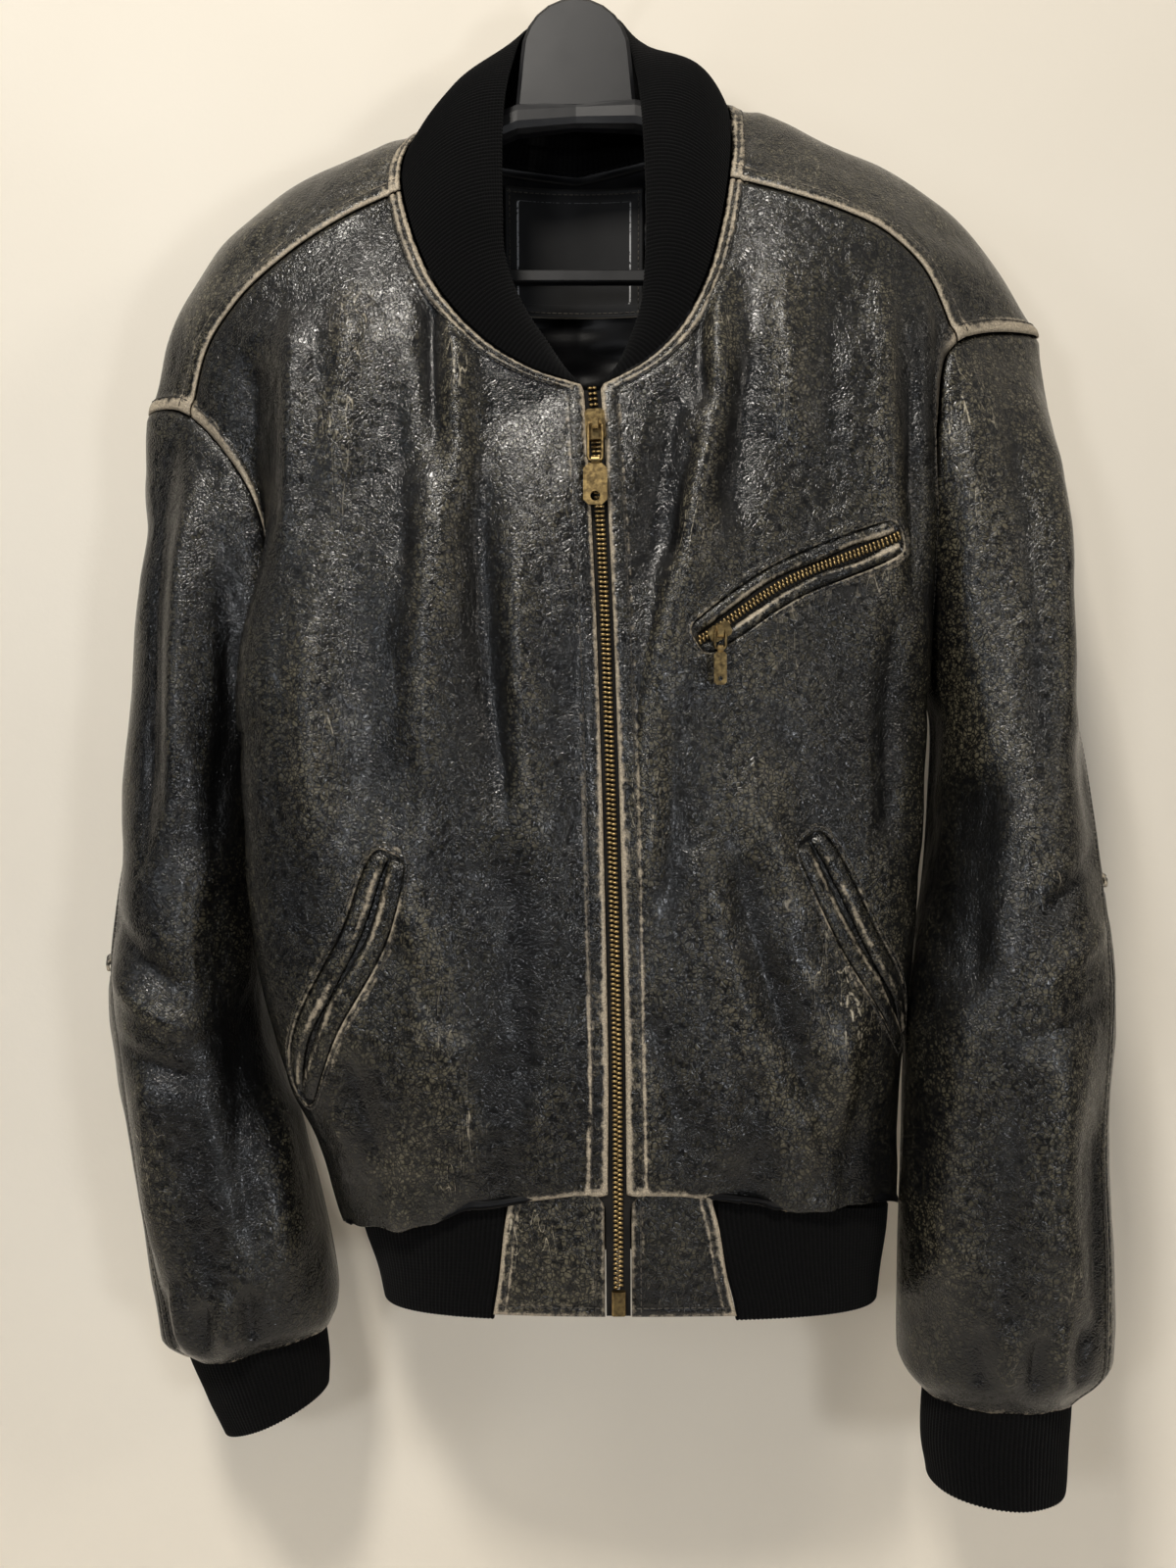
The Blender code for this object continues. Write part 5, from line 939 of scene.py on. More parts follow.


# Soft folds, as (x1, z1, x2, z2, bow, half width, height) in the front view
creases = {
    ("front", "right"): (
        (-64, -256, -58, -372, 2, 8, 3.0), (-77, -244, -74, -344, 1, 5, -2.6), (-66, -360, -80, -520, 4, 12, 2.4),
        (-50, -346, -38, -530, 4, 7, -3.0), (-96, -300, -88, -430, 0, 10, -1.8),
        (-120, -262, -126, -380, 3, 11, 2.2), (-30, -400, -22, -560, 2, 9, 2.0),
        (-38, -560, -26, -700, -3, 10, -1.8), (-86, -540, -60, -700, 6, 14, 2.2),
        (-105, -727, -56, -725, 3, 3.2, 1.3), (-56, -725, -22, -711, -2, 3.0, 1.3),
        (-70, -703, -22, -705, 2, 3.2, 0.9), (-63, -722, -62, -748, 0, 4.5, -4.2),
        (-48, -716, -38, -744, 1, 5, 1.6), (-84, -714, -86, -744, 1, 6, 1.5), (-120, -668, -98, -730, 3, 7, -1.6),
        (-128, -700, -110, -740, 2, 6, 1.5), (-20, -690, -14, -735, 0, 4, 1.0), (-96, -600, -60, -655, 4, 9, -1.2),
        (-34, -470, -16, -490, 2, 5, 0.8), (-140, -440, -132, -560, 4, 10, 1.8)),
    ("front", "left"): (
        (69, -246, 67, -330, 1, 5, -3.0), (66, -336, 47, -412, 2, 5, -2.8), (45, -420, 29, -510, 2, 6, -2.4),
        (78, -246, 76, -322, 2, 9, 3.2), (76, -322, 58, -404, 3, 10, 3.6), (58, -404, 38, -475, 2, 11, 3.4),
        (38, -475, 33, -590, -3, 12, 2.6), (97, -290, 84, -392, 2, 9, -2.4), (54, -318, 40, -430, 2, 8, -2.6),
        (54, -470, 52, -600, 2, 9, -2.2), (112, -252, 118, -350, 3, 10, 2.2), (140, -262, 138, -360, 2, 10, -1.8),
        (168, -262, 172, -420, 3, 9, 2.6), (184, -300, 182, -420, 2, 7, -2.4), (172, -430, 168, -560, 2, 9, -2.0),
        (92, -520, 128, -600, 5, 11, 1.9), (66, -560, 112, -690, 6, 12, 2.4), (84, -560, 136, -716, 6, 9, -2.2),
        (40, -640, 58, -712, 3, 7, -1.5), (101, -715, 101, -748, 0, 4.5, -4.2), (84, -700, 90, -744, 1, 6, 1.7),
        (120, -696, 132, -742, 2, 6, 1.6), (44, -706, 92, -722, 3, 4, 1.0), (150, -640, 140, -720, 3, 8, 1.8),
        (60, -716, 74, -742, 1, 5, -1.4), (30, -700, 34, -735, 0, 4, 1.0)),
    ("back", "right"): (
        (-30, -240, -50, -420, 4, 13, 2.4), (-90, -250, -96, -430, 3, 12, -2.4),
        (-130, -300, -120, -470, 4, 11, 2.4), (-60, -470, -34, -640, 5, 13, -2.2),
        (-104, -560, -80, -700, 5, 12, 2.4), (-20, -560, -12, -720, 3, 10, 2.0), (-50, -690, -54, -750, 1, 6, -3.0),
        (-90, -690, -88, -750, 2, 6, -2.6), (-118, -690, -112, -748, 2, 6, 1.8)),
    ("back", "left"): (
        (34, -236, 62, -430, -4, 13, 2.6), (96, -240, 108, -420, 3, 12, -2.4), (150, -270, 148, -450, 4, 11, 2.4),
        (74, -480, 60, -640, 5, 13, -2.2), (128, -560, 112, -700, -5, 12, 2.4), (40, -580, 44, -722, 3, 10, 1.8),
        (84, -690, 86, -750, 1, 6, -3.0), (128, -690, 124, -750, 2, 6, -2.6), (158, -680, 150, -744, 2, 6, 1.8))}


# Height of a panel's surface away from its edges: listed folds, gathers that die out above
# the hem, and small random lumps as of soft old hide
def panelRelief(part, side, points, t):
    seed = 11 if side == "right" else 23
    stretched = points * np.array([1.0, 1.0, 0.22])
    gathers = 2.2 * roughField(stretched, 19.0, seed + 1) + 0.7 * roughField(stretched, 9.0, seed + 2)
    calm = ease(t, 0.045, 0.12)
    height = 2.0 * creaseHeight(creases[part, side], points) * calm
    height += gathers * (1 - ease(t, 0.08, 0.24)) * (0.35 + 0.65 * ease(t, 0.0, 0.05))
    height += leatherSheet["lump"] * roughField(points * np.array([1.0, 1.0, 0.45]), 44.0, seed)
    height += 0.4 * leatherSheet["lump"] * roughField(points * np.array([1.0, 1.0, 0.8]), 21.0, seed + 5)
    return height + leatherSheet["grainLump"] * roughField(points, 11.0, seed + 3)


# The front's face at any shares with its relief, and its outward normals from small steps
def frontFace(side, s, t):
    step = 0.004
    middle = panelAt("front", side, s, t)
    toSide, toTop = panelAt("front", side, s + step, t) - middle, panelAt("front", side, s, t + step) - middle
    normal = unit(np.cross(toSide, toTop))
    normal = normal * -np.sign(normal[..., 1:2])
    return middle + normal * panelRelief("front", side, middle, t)[..., None], normal


# Pocket lines as shares of the front, and how far the opening reaches to each side of the line
# at its middle and at its ends
pocketLines = {
    "chest": {"side": "left", "share": ((0.0, 0.117, 0.433), (0.5, 0.300, 0.512), (1.0, 0.577, 0.595)),
              "low": (-10.8, -8.4), "high": (10.8, 8.4), "lips": ((-10.4, -3.2), (3.2, 10.4))},
    "handRight": {"side": "right", "share": ((0.0, 0.253, 0.298), (0.5, 0.345, 0.220), (1.0, 0.620, 0.125)),
                  "low": (-12.2, -8.8), "high": (12.2, 8.8), "lips": ((-11.8, -0.7), (0.7, 11.8))},
    "handLeft": {"side": "left", "share": ((0.0, 0.307, 0.303), (0.5, 0.460, 0.226), (1.0, 0.720, 0.152)),
                 "low": (-11.7, -8.4), "high": (11.7, 8.4), "lips": ((-11.3, -0.7), (0.7, 11.3))}}


# The point run mm along and off mm across a pocket's line from its share along, on the front's face:
# the step in shares is the panel's two slopes solved for that offset
def pocketPlace(pocket, along, off, run=0.0):
    rows, side = np.array(pocketLines[pocket]["share"]), pocketLines[pocket]["side"]
    def share(at):
        return smooth(rows[:, 0], rows[:, 1], at), smooth(rows[:, 0], rows[:, 2], at)
    at, off, run = np.broadcast_arrays(np.asarray(along, dtype=float), off, run)
    s, t = share(at)
    step = 0.004
    middle = panelAt("front", side, s, t)
    toSide = (panelAt("front", side, s + step, t) - middle) / step
    toTop = (panelAt("front", side, s, t + step) - middle) / step
    later = np.minimum(at + 0.02, 1.0)
    sooner = later - 0.04
    ahead = unit(panelAt("front", side, *share(later)) - panelAt("front", side, *share(sooner)))
    normal = unit(np.cross(toSide, toTop))
    normal = normal * -np.sign(normal[..., 1:2])
    across = unit(np.cross(normal, ahead))
    move = across * off[..., None] + ahead * run[..., None]
    a, b, c = (np.sum(x * y, axis=-1) for x, y in ((toSide, toSide), (toSide, toTop), (toTop, toTop)))
    p, q = np.sum(move * toSide, axis=-1), np.sum(move * toTop, axis=-1)
    ds, dt = (c * p - b * q) / (a * c - b * b), (a * q - b * p) / (a * c - b * b)
    return frontFace(side, s + ds, t + dt)


# How far inside a pocket's opening each point of a grid lies (1 inside, 0 outside), by the nearest
# point of the pocket's line and its offset across it
def pocketInside(pocket, points, grow=0.0, soft=1.4):
    at = np.linspace(0.0, 1.0, 81)
    middle, normal = pocketPlace(pocket, at, 0.0)
    ahead = unit(np.gradient(middle, axis=0))
    across = unit(np.cross(normal, ahead))
    flat = points.reshape(-1, 3)
    near = np.argmin(((flat[:, None] - middle[None]) ** 2).sum(axis=-1), axis=1)
    off = np.sum((flat - middle[near]) * across[near], axis=-1)
    run = np.sum((flat - middle[near]) * ahead[near], axis=-1)
    belly = 1 - np.abs(2 * at[near] - 1) ** 7
    wide = [pocketLines[pocket][key][1] + (pocketLines[pocket][key][0] - pocketLines[pocket][key][1]) * belly
            for key in ("low", "high")]
    inside = np.minimum(wide[1] + grow - off, off - wide[0] + grow)
    ends = grow + 1.0 - np.abs(run)
    return ease(np.minimum(inside, np.where((near == 0) | (near == 80), ends, inside)), -soft, soft).reshape(
        points.shape[:-1])


# Give a piece its body, the solid that it stands for and its finish
def finishPiece(obj, nodes, slot, *looks, thick=None):
    for look in looks:
        obj.data.materials.append(look)
    if thick:
        wall = obj.modifiers.new("wall", "SOLIDIFY")
        wall.thickness, wall.offset, wall.use_rim = thick * mm, -1.0, True
        wall.use_even_offset = False
        wall.material_offset = len(looks) - 1
    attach(obj, "jacket")
    if nodes:
        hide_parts(*nodes)


# A hide piece from its face, its wear values and its painted shade, with the lining's satin inside
def hidePiece(nodes, face, towards, wear, rub, dark, thick=None):
    obj = gridObject("leather_" + nodes[0], face, towards, {"wear": wear, "rub": rub, "dark": dark})
    finishPiece(obj, nodes, "leather", leatherLook, liningLook, thick=thick or leatherSheet["thick"])


# Where old hide is rubbed, as (x, z, half width, half height, strength) in the front view
rubs = {
    "right": ((-70, -300, 26, 60, 0.55), (-120, -262, 34, 30, 0.75), (-55, -470, 16, 80, 0.35),
              (-12, -520, 9, 160, 0.5), (-30, -700, 40, 22, 0.75), (-90, -724, 44, 16, 0.7),
              (-110, -560, 26, 60, 0.25), (-120, -690, 26, 26, 0.5), (-40, -330, 18, 40, 0.4),
              (-60, -600, 60, 60, 0.2)),
    "left": ((84, -262, 22, 40, 0.7), (70, -360, 16, 50, 0.7), (110, -420, 40, 60, 0.55), (140, -560, 44, 60, 0.6),
             (100, -500, 60, 50, 0.45), (170, -400, 16, 120, 0.5), (46, -520, 12, 120, 0.45),
             (100, -690, 60, 36, 0.7), (34, -640, 16, 90, 0.55), (150, -640, 30, 50, 0.5),
             (120, -250, 40, 24, 0.4))}


# The double ridge along the neck: two rounds of 3.5 mm with a stitched groove after each
def neckEdge(distance):
    height = -1.2 * bell(distance, 1.2) + 0.9 * (1 - ease(distance, 6.5, 9.0))
    grooves = bell(distance - stitchIn["neckrow"], 0.9) + 0.8 * bell(distance - stitchIn["neck"], 1.0)
    wear = 1.1 * bell(distance - 1.5, 1.5) + 0.95 * bell(distance - 5.6, 1.4)
    return height - 0.9 * grooves, wear + 0.3 * bell(distance - 10.0, 1.6)


# 200 points up a panel, a little inside its middle
def panelColumn(part, side):
    return panelSurface(part, side, np.full((200, 1), 0.45), np.linspace(0, 1, 200)[:, None])[:, 0]


def frontPanel(side):
    t = stepShares(panelColumn("front", side))
    s = stepShares(bentRow("front", side, np.linspace(0, 1, 200), np.full(200, 0.5)))
    s, t = np.meshgrid(s, t)
    points = panelSurface("front", side, s, t)
    normals = gridNormals(points, toFront)
    height = panelRelief("front", side, points, t)
    fly, outer, low, high = edgeDistance(points)
    flyZone = 1 - ease(t, neckAt - 0.012, neckAt + 0.012)
    edge, flyWear = sewnEdge(fly, stitchIn["fly"], 0.7, 1.0, 0.9)
    flyWear = flyWear * (1.25 + 1.1 * bell(points[..., 2] + 680, 100))
    neck, neckWear = neckEdge(fly)
    holeZone = ease(t, underarmAt + 0.03, underarmAt + 0.12)
    hole, holeWear = sewnEdge(outer, stitchIn["hole"], 1.3, 1.2, 1.0)
    holeWear += 0.75 * (1 - ease(outer, 5.5, 7.5))
    seam, seamWear = sewnEdge(high, 60.0, 0.0, 1.3, 0.5)
    foot = bell(low, 2.0)
    height = height * ease(np.minimum(fly, high), 0.0, 14.0)
    valley, ridge = np.clip(-height / 3.5, 0, 1), np.clip(height / 3.5, 0, 1)
    height = height + edge * flyZone + neck * (1 - flyZone)
    height += hole * holeZone + seam
    wear = flyWear * flyZone + neckWear * (1 - flyZone) + holeWear * holeZone + 0.5 * seamWear
    front = (points[..., 0] > -42) & (points[..., 0] < 84)
    hemLine = bell(low - 4.0, 3.2) * np.where(front, 1.05, 0.6)
    # painted shade: darker along the hem fold at the panel's foot and in the fold valleys
    dark = 0.8 * foot + 1.1 * valley
    for pocket, row in pocketLines.items():
        if row["side"] == side:
            inside = pocketInside(pocket, points)
            height -= 1.7 * inside
            # painted shade inside the pocket opening
            dark = dark + 0.9 * inside
            wear = wear + 0.4 * pocketInside(pocket, points, 4.5, 3.0) * (1 - inside)
    rub = patchStrength(rubs[side], points) + 0.9 * ridge - 0.8 * valley + 0.25 * holeZone * (outer < 20)
    face = points + normals * height[..., None]
    hidePiece(["front_" + side], face, toFront, wear + hemLine, rub, np.clip(dark, 0, 1))
    neckRow = np.flatnonzero(t[:, 0] > neckAt)[0]
    fly, neck = slice(8, neckRow), slice(neckRow + 2, None)
    holeRows = t[:, 0] > underarmAt + 0.08
    for name, rows, edge in (("fly", fly, "first"), ("neck", neck, "first"), ("neckrow", neck, "first"),
                             ("hole", holeRows, "last")):
        stitchEdge("stitch_%s_%s" % (name, side), face[rows], normals[rows], edge, stitchIn[name])


def backPanel():
    t = stepShares(panelColumn("back", "right"), 1.8, 4.2)
    line = bentRow("back", "right", np.linspace(0, 1, 200), np.full(200, 0.5))
    s = stepShares(line, 1.8, 4.2)
    s = np.concatenate([[0.0], s[s >= 0.02]])
    halves = []
    for side in ("right", "left"):
        across, up = np.meshgrid(s, t)
        points = panelSurface("back", side, across, up)
        relief = panelRelief("back", side, points, up) * ease(across, 0.0, 0.08)
        halves.append((points, relief, up))
    points, relief, up = (np.concatenate([right[:, ::-1], left[:, 1:]], axis=1) for right, left in zip(*halves))
    normals = gridNormals(points, toBack)
    first, last, low, high = edgeDistance(points)
    sideways = np.minimum(first, last)
    hole, holeWear = sewnEdge(sideways, stitchIn["hole"], 1.3, 1.2, 1.0)
    holeZone = ease(up, underarmAt + 0.03, underarmAt + 0.12)
    top, topWear = sewnEdge(high, 60.0, 0.0, 1.2, 0.5)
    height = relief * ease(np.minimum(sideways, high), 0.0, 14.0) + hole * holeZone + top
    wear = (holeWear * holeZone + 0.5 * topWear * (np.abs(points[..., 0]) > 76)
            + 0.3 * bell(low - 4, 3.2))
    rub = 0.35 + 0.5 * np.clip(height / 3.0, 0, 1) + 0.25 * roughField(points, 90.0, 5)
    face = points + normals * height[..., None]
    # painted shade along the hem fold at the panel's foot
    hidePiece(["back"], face, toBack, wear, rub, 0.8 * bell(low, 2))
    rows = up[:, 0] > underarmAt + 0.08
    for edge in ("first", "last"):
        stitchEdge("stitch_back_" + edge, face[rows], normals[rows], edge, stitchIn["hole"])


def shoulderPiece(side):
    s = stepShares(shoulderPoints(side, np.linspace(0, 1, 200), (0.0,))[0], 1.6, 3.4)
    t = stepShares(shoulderPoints(side, (0.5,), np.linspace(0, 1, 200))[:, 0], 1.4, 3.2)
    points = shoulderPoints(side, s, t)
    normals = gridNormals(points, upwards)
    neckwards, hole, front, rear = edgeDistance(points)
    height = 0.8 * leatherSheet["lump"] * roughField(points, 30.0, 41) * ease(np.minimum(front, rear), 0, 12)
    seam, seamWear = sewnEdge(front, stitchIn["saddle"], 1.2, 1.0, 1.0)
    rearSeam, rearWear = sewnEdge(rear, stitchIn["saddle"], 1.2, 1.0, 1.0)
    holeEdge, holeWear = sewnEdge(hole, stitchIn["hole"], 1.3, 1.2, 1.0)
    holeWear += 0.75 * (1 - ease(hole, 5.5, 7.5))
    neck, neckWear = neckEdge(neckwards)
    height += seam + rearSeam + holeEdge + neck
    wear = 1.2 * seamWear + rearWear + holeWear + neckWear
    rub = 0.5 + 0.4 * roughField(points, 50.0, 8) + 0.5 * np.clip(height / 2, 0, 1)
    face = points + normals * height[..., None]
    hidePiece(["shoulder_" + side], face, upwards, wear, rub, 0.0)
    for name, edge, key in (("front", "low", "saddle"), ("back", "high", "saddle"), ("hole", "last", "hole"),
                            ("neck", "first", "neck")):
        stitchEdge("stitch_saddle_%s_%s" % (name, side), face, normals, edge, stitchIn[key])


sleeveCreases = {
    "right": (
        (-232, -345, -240, -560, 4, 9, -2.6), (-196, -392, -200, -560, -4, 10, -2.6),
        (-214, -350, -222, -540, 3, 9, 2.2), (-250, -400, -258, -560, 3, 9, 2.0),
        (-206, -560, -214, -660, 5, 12, 1.8), (-262, -600, -214, -640, 4, 7, -1.6),
        (-262, -630, -206, -664, 4, 7, 1.4), (-258, -668, -200, -690, 3, 7, -1.4),
        (-236, -690, -226, -800, 4, 11, 1.8), (-186, -640, -176, -790, 5, 10, -1.8),
        (-210, -700, -196, -820, 4, 10, -1.6), (-166, -700, -160, -800, 3, 9, 1.6),
        (-236, -812, -226, -846, 1, 5, -2.4), (-206, -814, -204, -842, 1, 5, -2.2),
        (-180, -806, -178, -836, 1, 5, -2.0), (-222, -806, -216, -840, 1, 5, 1.8),
        (-192, -808, -190, -838, 1, 5, 1.8)),
    "left": (
        (236, -300, 246, -520, -4, 9, -2.4), (258, -300, 268, -500, -3, 9, 2.2), (216, -330, 222, -520, 4, 10, 2.2),
        (222, -520, 210, -640, 4, 11, -2.0), (276, -420, 284, -560, 3, 8, -1.8), (290, -560, 240, -602, 4, 7, -1.6),
        (292, -600, 236, -636, 4, 7, 1.5), (290, -640, 226, -664, 3, 7, -1.4), (256, -660, 262, -800, 4, 11, 2.0),
        (232, -680, 226, -820, 4, 10, -2.0), (206, -640, 200, -800, 4, 10, 1.6), (280, -700, 282, -820, 3, 9, -1.6),
        (272, -812, 268, -848, 1, 5, -2.4), (244, -814, 242, -848, 1, 5, -2.2), (212, -812, 214, -846, 1, 5, -2.0),
        (256, -808, 256, -846, 1, 5, 1.8), (228, -810, 228, -846, 1, 5, 1.8))}


# Rubbed patches on the left sleeve's front, as (x, z, half width, half height, strength): partly wear, partly a
# painted highlight where the sleeve catches the light
leftSleeveRubAndHighlight = ((250, -400, 40, 170, 1.9), (262, -600, 36, 90, 0.8), (236, -320, 30, 60, 0.9))


# Angles of a sleeve piece between its two long seams, at shares across and sections down
def sleeveTurn(kind, share, section):
    outer = smooth(sleeveSeams["section"], sleeveSeams["outer"], section)
    under = smooth(sleeveSeams["section"], sleeveSeams["under"], section)
    first, last = (outer, under) if kind == "front" else (under, outer + 360.0)
    return first + (last - first) * share


def sleevePiece(side, kind, top, foot, nodes):
    run = np.linspace(top, foot, 200)
    rows = top + (foot - top) * stepShares(sleevePoint(side, sleeveTurn(kind, 0.5, run), run), 1.6, 3.6)
    middle = np.full(200, min(top + 2.0, (top + foot) / 2))
    around = sleeveTurn(kind, np.linspace(0.0, 1.0, 200), middle)
    shares = stepShares(sleevePoint(side, around, middle), 1.6, 3.6)
    share, section = np.meshgrid(shares, rows)
    turn = sleeveTurn(kind, share, section)
    points = sleevePoint(side, turn, section)
    centre = (sleevePoint(side, turn * 0, section) + sleevePoint(side, turn * 0 + 180, section)) / 2
    normals = gridNormals(points, points - centre)
    first, last, low, high = edgeDistance(points)
    seam = np.minimum(first, last)
    seed = 61 + len(nodes[0])
    deeper = 1.0 if kind == "back" else 2.4 if side == "right" else 1.7
    height = creaseHeight(sleeveCreases[side], points) * deeper
    height += leatherSheet["lump"] * 0.9 * roughField(points * np.array([1.0, 1.0, 0.4]), 34.0, seed)
    height += leatherSheet["lump"] * 0.3 * roughField(points, 19.0, seed + 7)
    height += leatherSheet["grainLump"] * roughField(points, 11.0, seed + 1)
    height *= ease(np.minimum(low, seam), 0.0, 16.0)
    valley, ridge = np.clip(-height / 3.5, 0, 1), np.clip(height / 3.5, 0, 1)
    closing = 0.0
    if top == 0:
        closing = -1.6 * bell(low, 2.6)
    if foot == 9:
        closing = closing - 1.2 * bell(high, 1.6)
        height += 1.0 * roughField(points * np.array([1.0, 1.0, 0.3]), 13.0, seed + 2) * (1 - ease(high, 6.0, 34.0))
    long, longWear = sewnEdge(seam, stitchIn["sleeve"], 0.35, 0.9, 0.55)
    height += closing + long
    wear = longWear * 0.8
    if top == elbowSection:
        height -= 1.2 * bell(low, 2.4)
    if foot == elbowSection:
        step, stepWear = sewnEdge(high, stitchIn["elbow"], 2.3, 0.6, 1.3)
        height += step
        wear = wear + stepWear
    if foot == 9:
        wear = wear + 0.55 * bell(high - 3, 4.0)
    outside = 1 - ease(np.abs(((turn + 180) % 360) - 180), 30, 75)
    rub = 0.28 + 0.3 * roughField(points * np.array([1, 1, 0.5]), 60.0, seed + 4) + 0.6 * ridge - 0.5 * valley
    elbow = bell(section - elbowSection, 1.3) * (kind == "back")
    rub = rub - (0.4 if side == "right" else 0.1) + 0.35 * outside + 0.4 * elbow
    # partly painted highlight: the left sleeve's front is lightened where it catches the light
    if side == "left" and kind == "front":
        rub = rub + patchStrength(leftSleeveRubAndHighlight, points)
    # painted shade along the piece's top seam and in the fold valleys, deeper on the right sleeve
    dark = 0.7 * bell(low, 2.2) + valley * (1.4 if side == "right" else 0.9)
    face = points + normals * height[..., None]
    hidePiece(nodes, face, points - centre, wear, rub, np.clip(dark, 0, 1))
    if kind == "front":
        stitchEdge("stitch_" + nodes[0], face, normals, "first", stitchIn["sleeve"], (8, 6))
    if foot == elbowSection:
        stitchEdge("stitch_elbow_" + nodes[0], face, normals, "high", stitchIn["elbow"])


knitRib = {"pitch": 2.5, "steps": 5, "high": 0.55, "thick": 2.4, "turn": 5}


# Doubled grid from an outer grid whose last row is the fold: the inner layer is the outer one
# moved in by the knit's thickness, joined by a half circle; ribs run along the columns
def knitPiece(name, outer, inward, nodes, backRows, closed=False):
    ahead = unit(outer[-1] - outer[-2])
    half = knitRib["thick"] / 2
    turns = np.linspace(0.0, np.pi, knitRib["turn"] + 2)[1:-1]
    bend = [outer[-1] + inward[-1] * half * (1 - math.cos(a)) + ahead * half * math.sin(a) for a in turns]
    bendOut = [unit(ahead * math.sin(a) - inward[-1] * math.cos(a)) for a in turns]
    back = (outer + inward * knitRib["thick"])[::-1][:backRows:2]
    points = np.concatenate([outer, np.stack(bend), back])
    out = np.concatenate([-inward, np.stack(bendOut), inward[::-1][:backRows:2]])
    phase = np.arange(points.shape[1]) * 2 * np.pi / knitRib["steps"]
    wave = knitRib["high"] * (0.5 * np.cos(phase) - 0.5)
    points = points + out * wave[None, :, None]
    # groove marks the rib grooves, where the knit's colour carries painted shade
    obj = gridObject(name, points, out, {"groove": (0.5 - 0.5 * np.cos(phase))[None]}, closed=closed)
    finishPiece(obj, nodes, "knit", knitLook)


# A ring of angles at even steps of arc, a whole number of ribs round
def ribAngles(ring, first, last, closed):
    fine = np.linspace(first, last, 1200)
    path = ring(fine)
    run = runAlong(path)
    pitch = knitRib["pitch"] * 1.0
    count = int(run[-1] / pitch) * knitRib["steps"]
    stops = np.linspace(0.0, run[-1], count + 1)
    return np.interp(stops[:-1] if closed else stops, run, fine)


def cuffPiece(side):
    angles = ribAngles(lambda at: cuffPoint(side, at, 0.3), 0.0, 360.0, True)
    rows = np.linspace(0.0, 1.0, 22)
    outer = np.stack([cuffPoint(side, angles, down) for down in rows])
    centre = outer.mean(axis=1, keepdims=True)
    uneven = 0.5 * roughField(outer, 16.0, 71)[..., None]
    outer = outer + uneven * unit(outer - centre) * ease(rows, 0.35, 0.8)[:, None, None]
    knitPiece("knit_cuff_" + side, outer, unit(centre - outer), ["cuff_" + side], 18, closed=True)


def waistbandPiece():
    def tabAngle(side, down):
        row = {name: smooth(bandRings["down"], bandRings[name], down) for name in bandRings}
        top, foot = tabEdge[side]
        x = top + (foot - top) * ease(down, 0.1, 1.0) + (-1.2 if side == "right" else 1.2)
        share = np.abs(row["midX"] - x) / row["halfX"]
        return np.degrees(np.arcsin(share ** (bandPower / 2))) * (1.0 if side == "right" else -1.0)
    def ends(down):
        return float(tabAngle("right", down)), 360.0 + float(tabAngle("left", down))
    even = ribAngles(lambda at: bandPoint(at, 0.5), *ends(0.5), False)
    share = (even - even[0]) / (even[-1] - even[0])
    outer = []
    for down in np.linspace(0.0, 1.0, 20):
        first, last = ends(down)
        outer.append(bandPoint(first + (last - first) * share, down))
    outer = np.stack(outer)
    knitPiece("knit_waistband", outer, -bandAway(outer), ["waistband"], 16)


def collarPiece():
    along = np.concatenate([np.linspace(0.0, 2.0, 240), np.linspace(2.0, 3.0, 60)[1:]])
    halves = []
    for side in ("right", "left"):
        seam = curve(neckSeam[side], "along", "xyz", np.minimum(along, 2.0))
        back = topEdge("back", side, (3 - np.maximum(along, 2.0)) * neckShare)
        seam = np.where((along <= 2.0)[:, None], seam, back)
        edge = curve(collarEdge[side], "along", "xyz", along)
        halves.append((seam, edge, smooth(collarEdge[side]["along"], collarEdge[side]["bulge"], along)))
    seam, edge, bulge = (np.concatenate([halves[0][i], halves[1][i][-2::-1]]) for i in range(3))
    middle = (seam + edge) / 2
    run = runAlong(middle)
    count = int(run[-1] / (knitRib["pitch"] * 0.92)) * knitRib["steps"]
    stops = np.linspace(0.0, run[-1], count + 1)
    def pick(rows):
        return np.stack([np.interp(stops, run, rows[:, i]) for i in range(3)], axis=-1)
    seam, edge, bulge = pick(seam), pick(edge), np.interp(stops, run, bulge)
    out = unit(np.cross(edge - seam, np.gradient(seam, axis=0)))
    kernel = np.ones(61) / 61
    padded = (np.pad(column, 30, mode="edge") for column in out.T)
    out = unit(np.stack([np.convolve(column, kernel, mode="valid") for column in padded], axis=-1))
    order = np.arange(len(run))
    behind = ease(np.interp(stops, run, np.minimum(order, order[::-1])), 225.0, 245.0)[:, None]
    start = seam + unit(edge - seam) * (1.5 - 4.0 * behind) - out * 1.7 * behind
    ups = np.linspace(0.0, 0.985, 23)
    outer = np.stack([start + (edge - start) * up + out * (bulge * 4 * up * (1 - up))[:, None] for up in ups])
    soft = 0.9 * roughField(outer, 26.0, 77) * (4 * ups * (1 - ups))[:, None]
    outer = outer + out[None] * soft[..., None]
    inward = np.repeat(-out[None], len(ups), axis=0)
    knitPiece("knit_collar", outer, inward, ["collar"], 20)


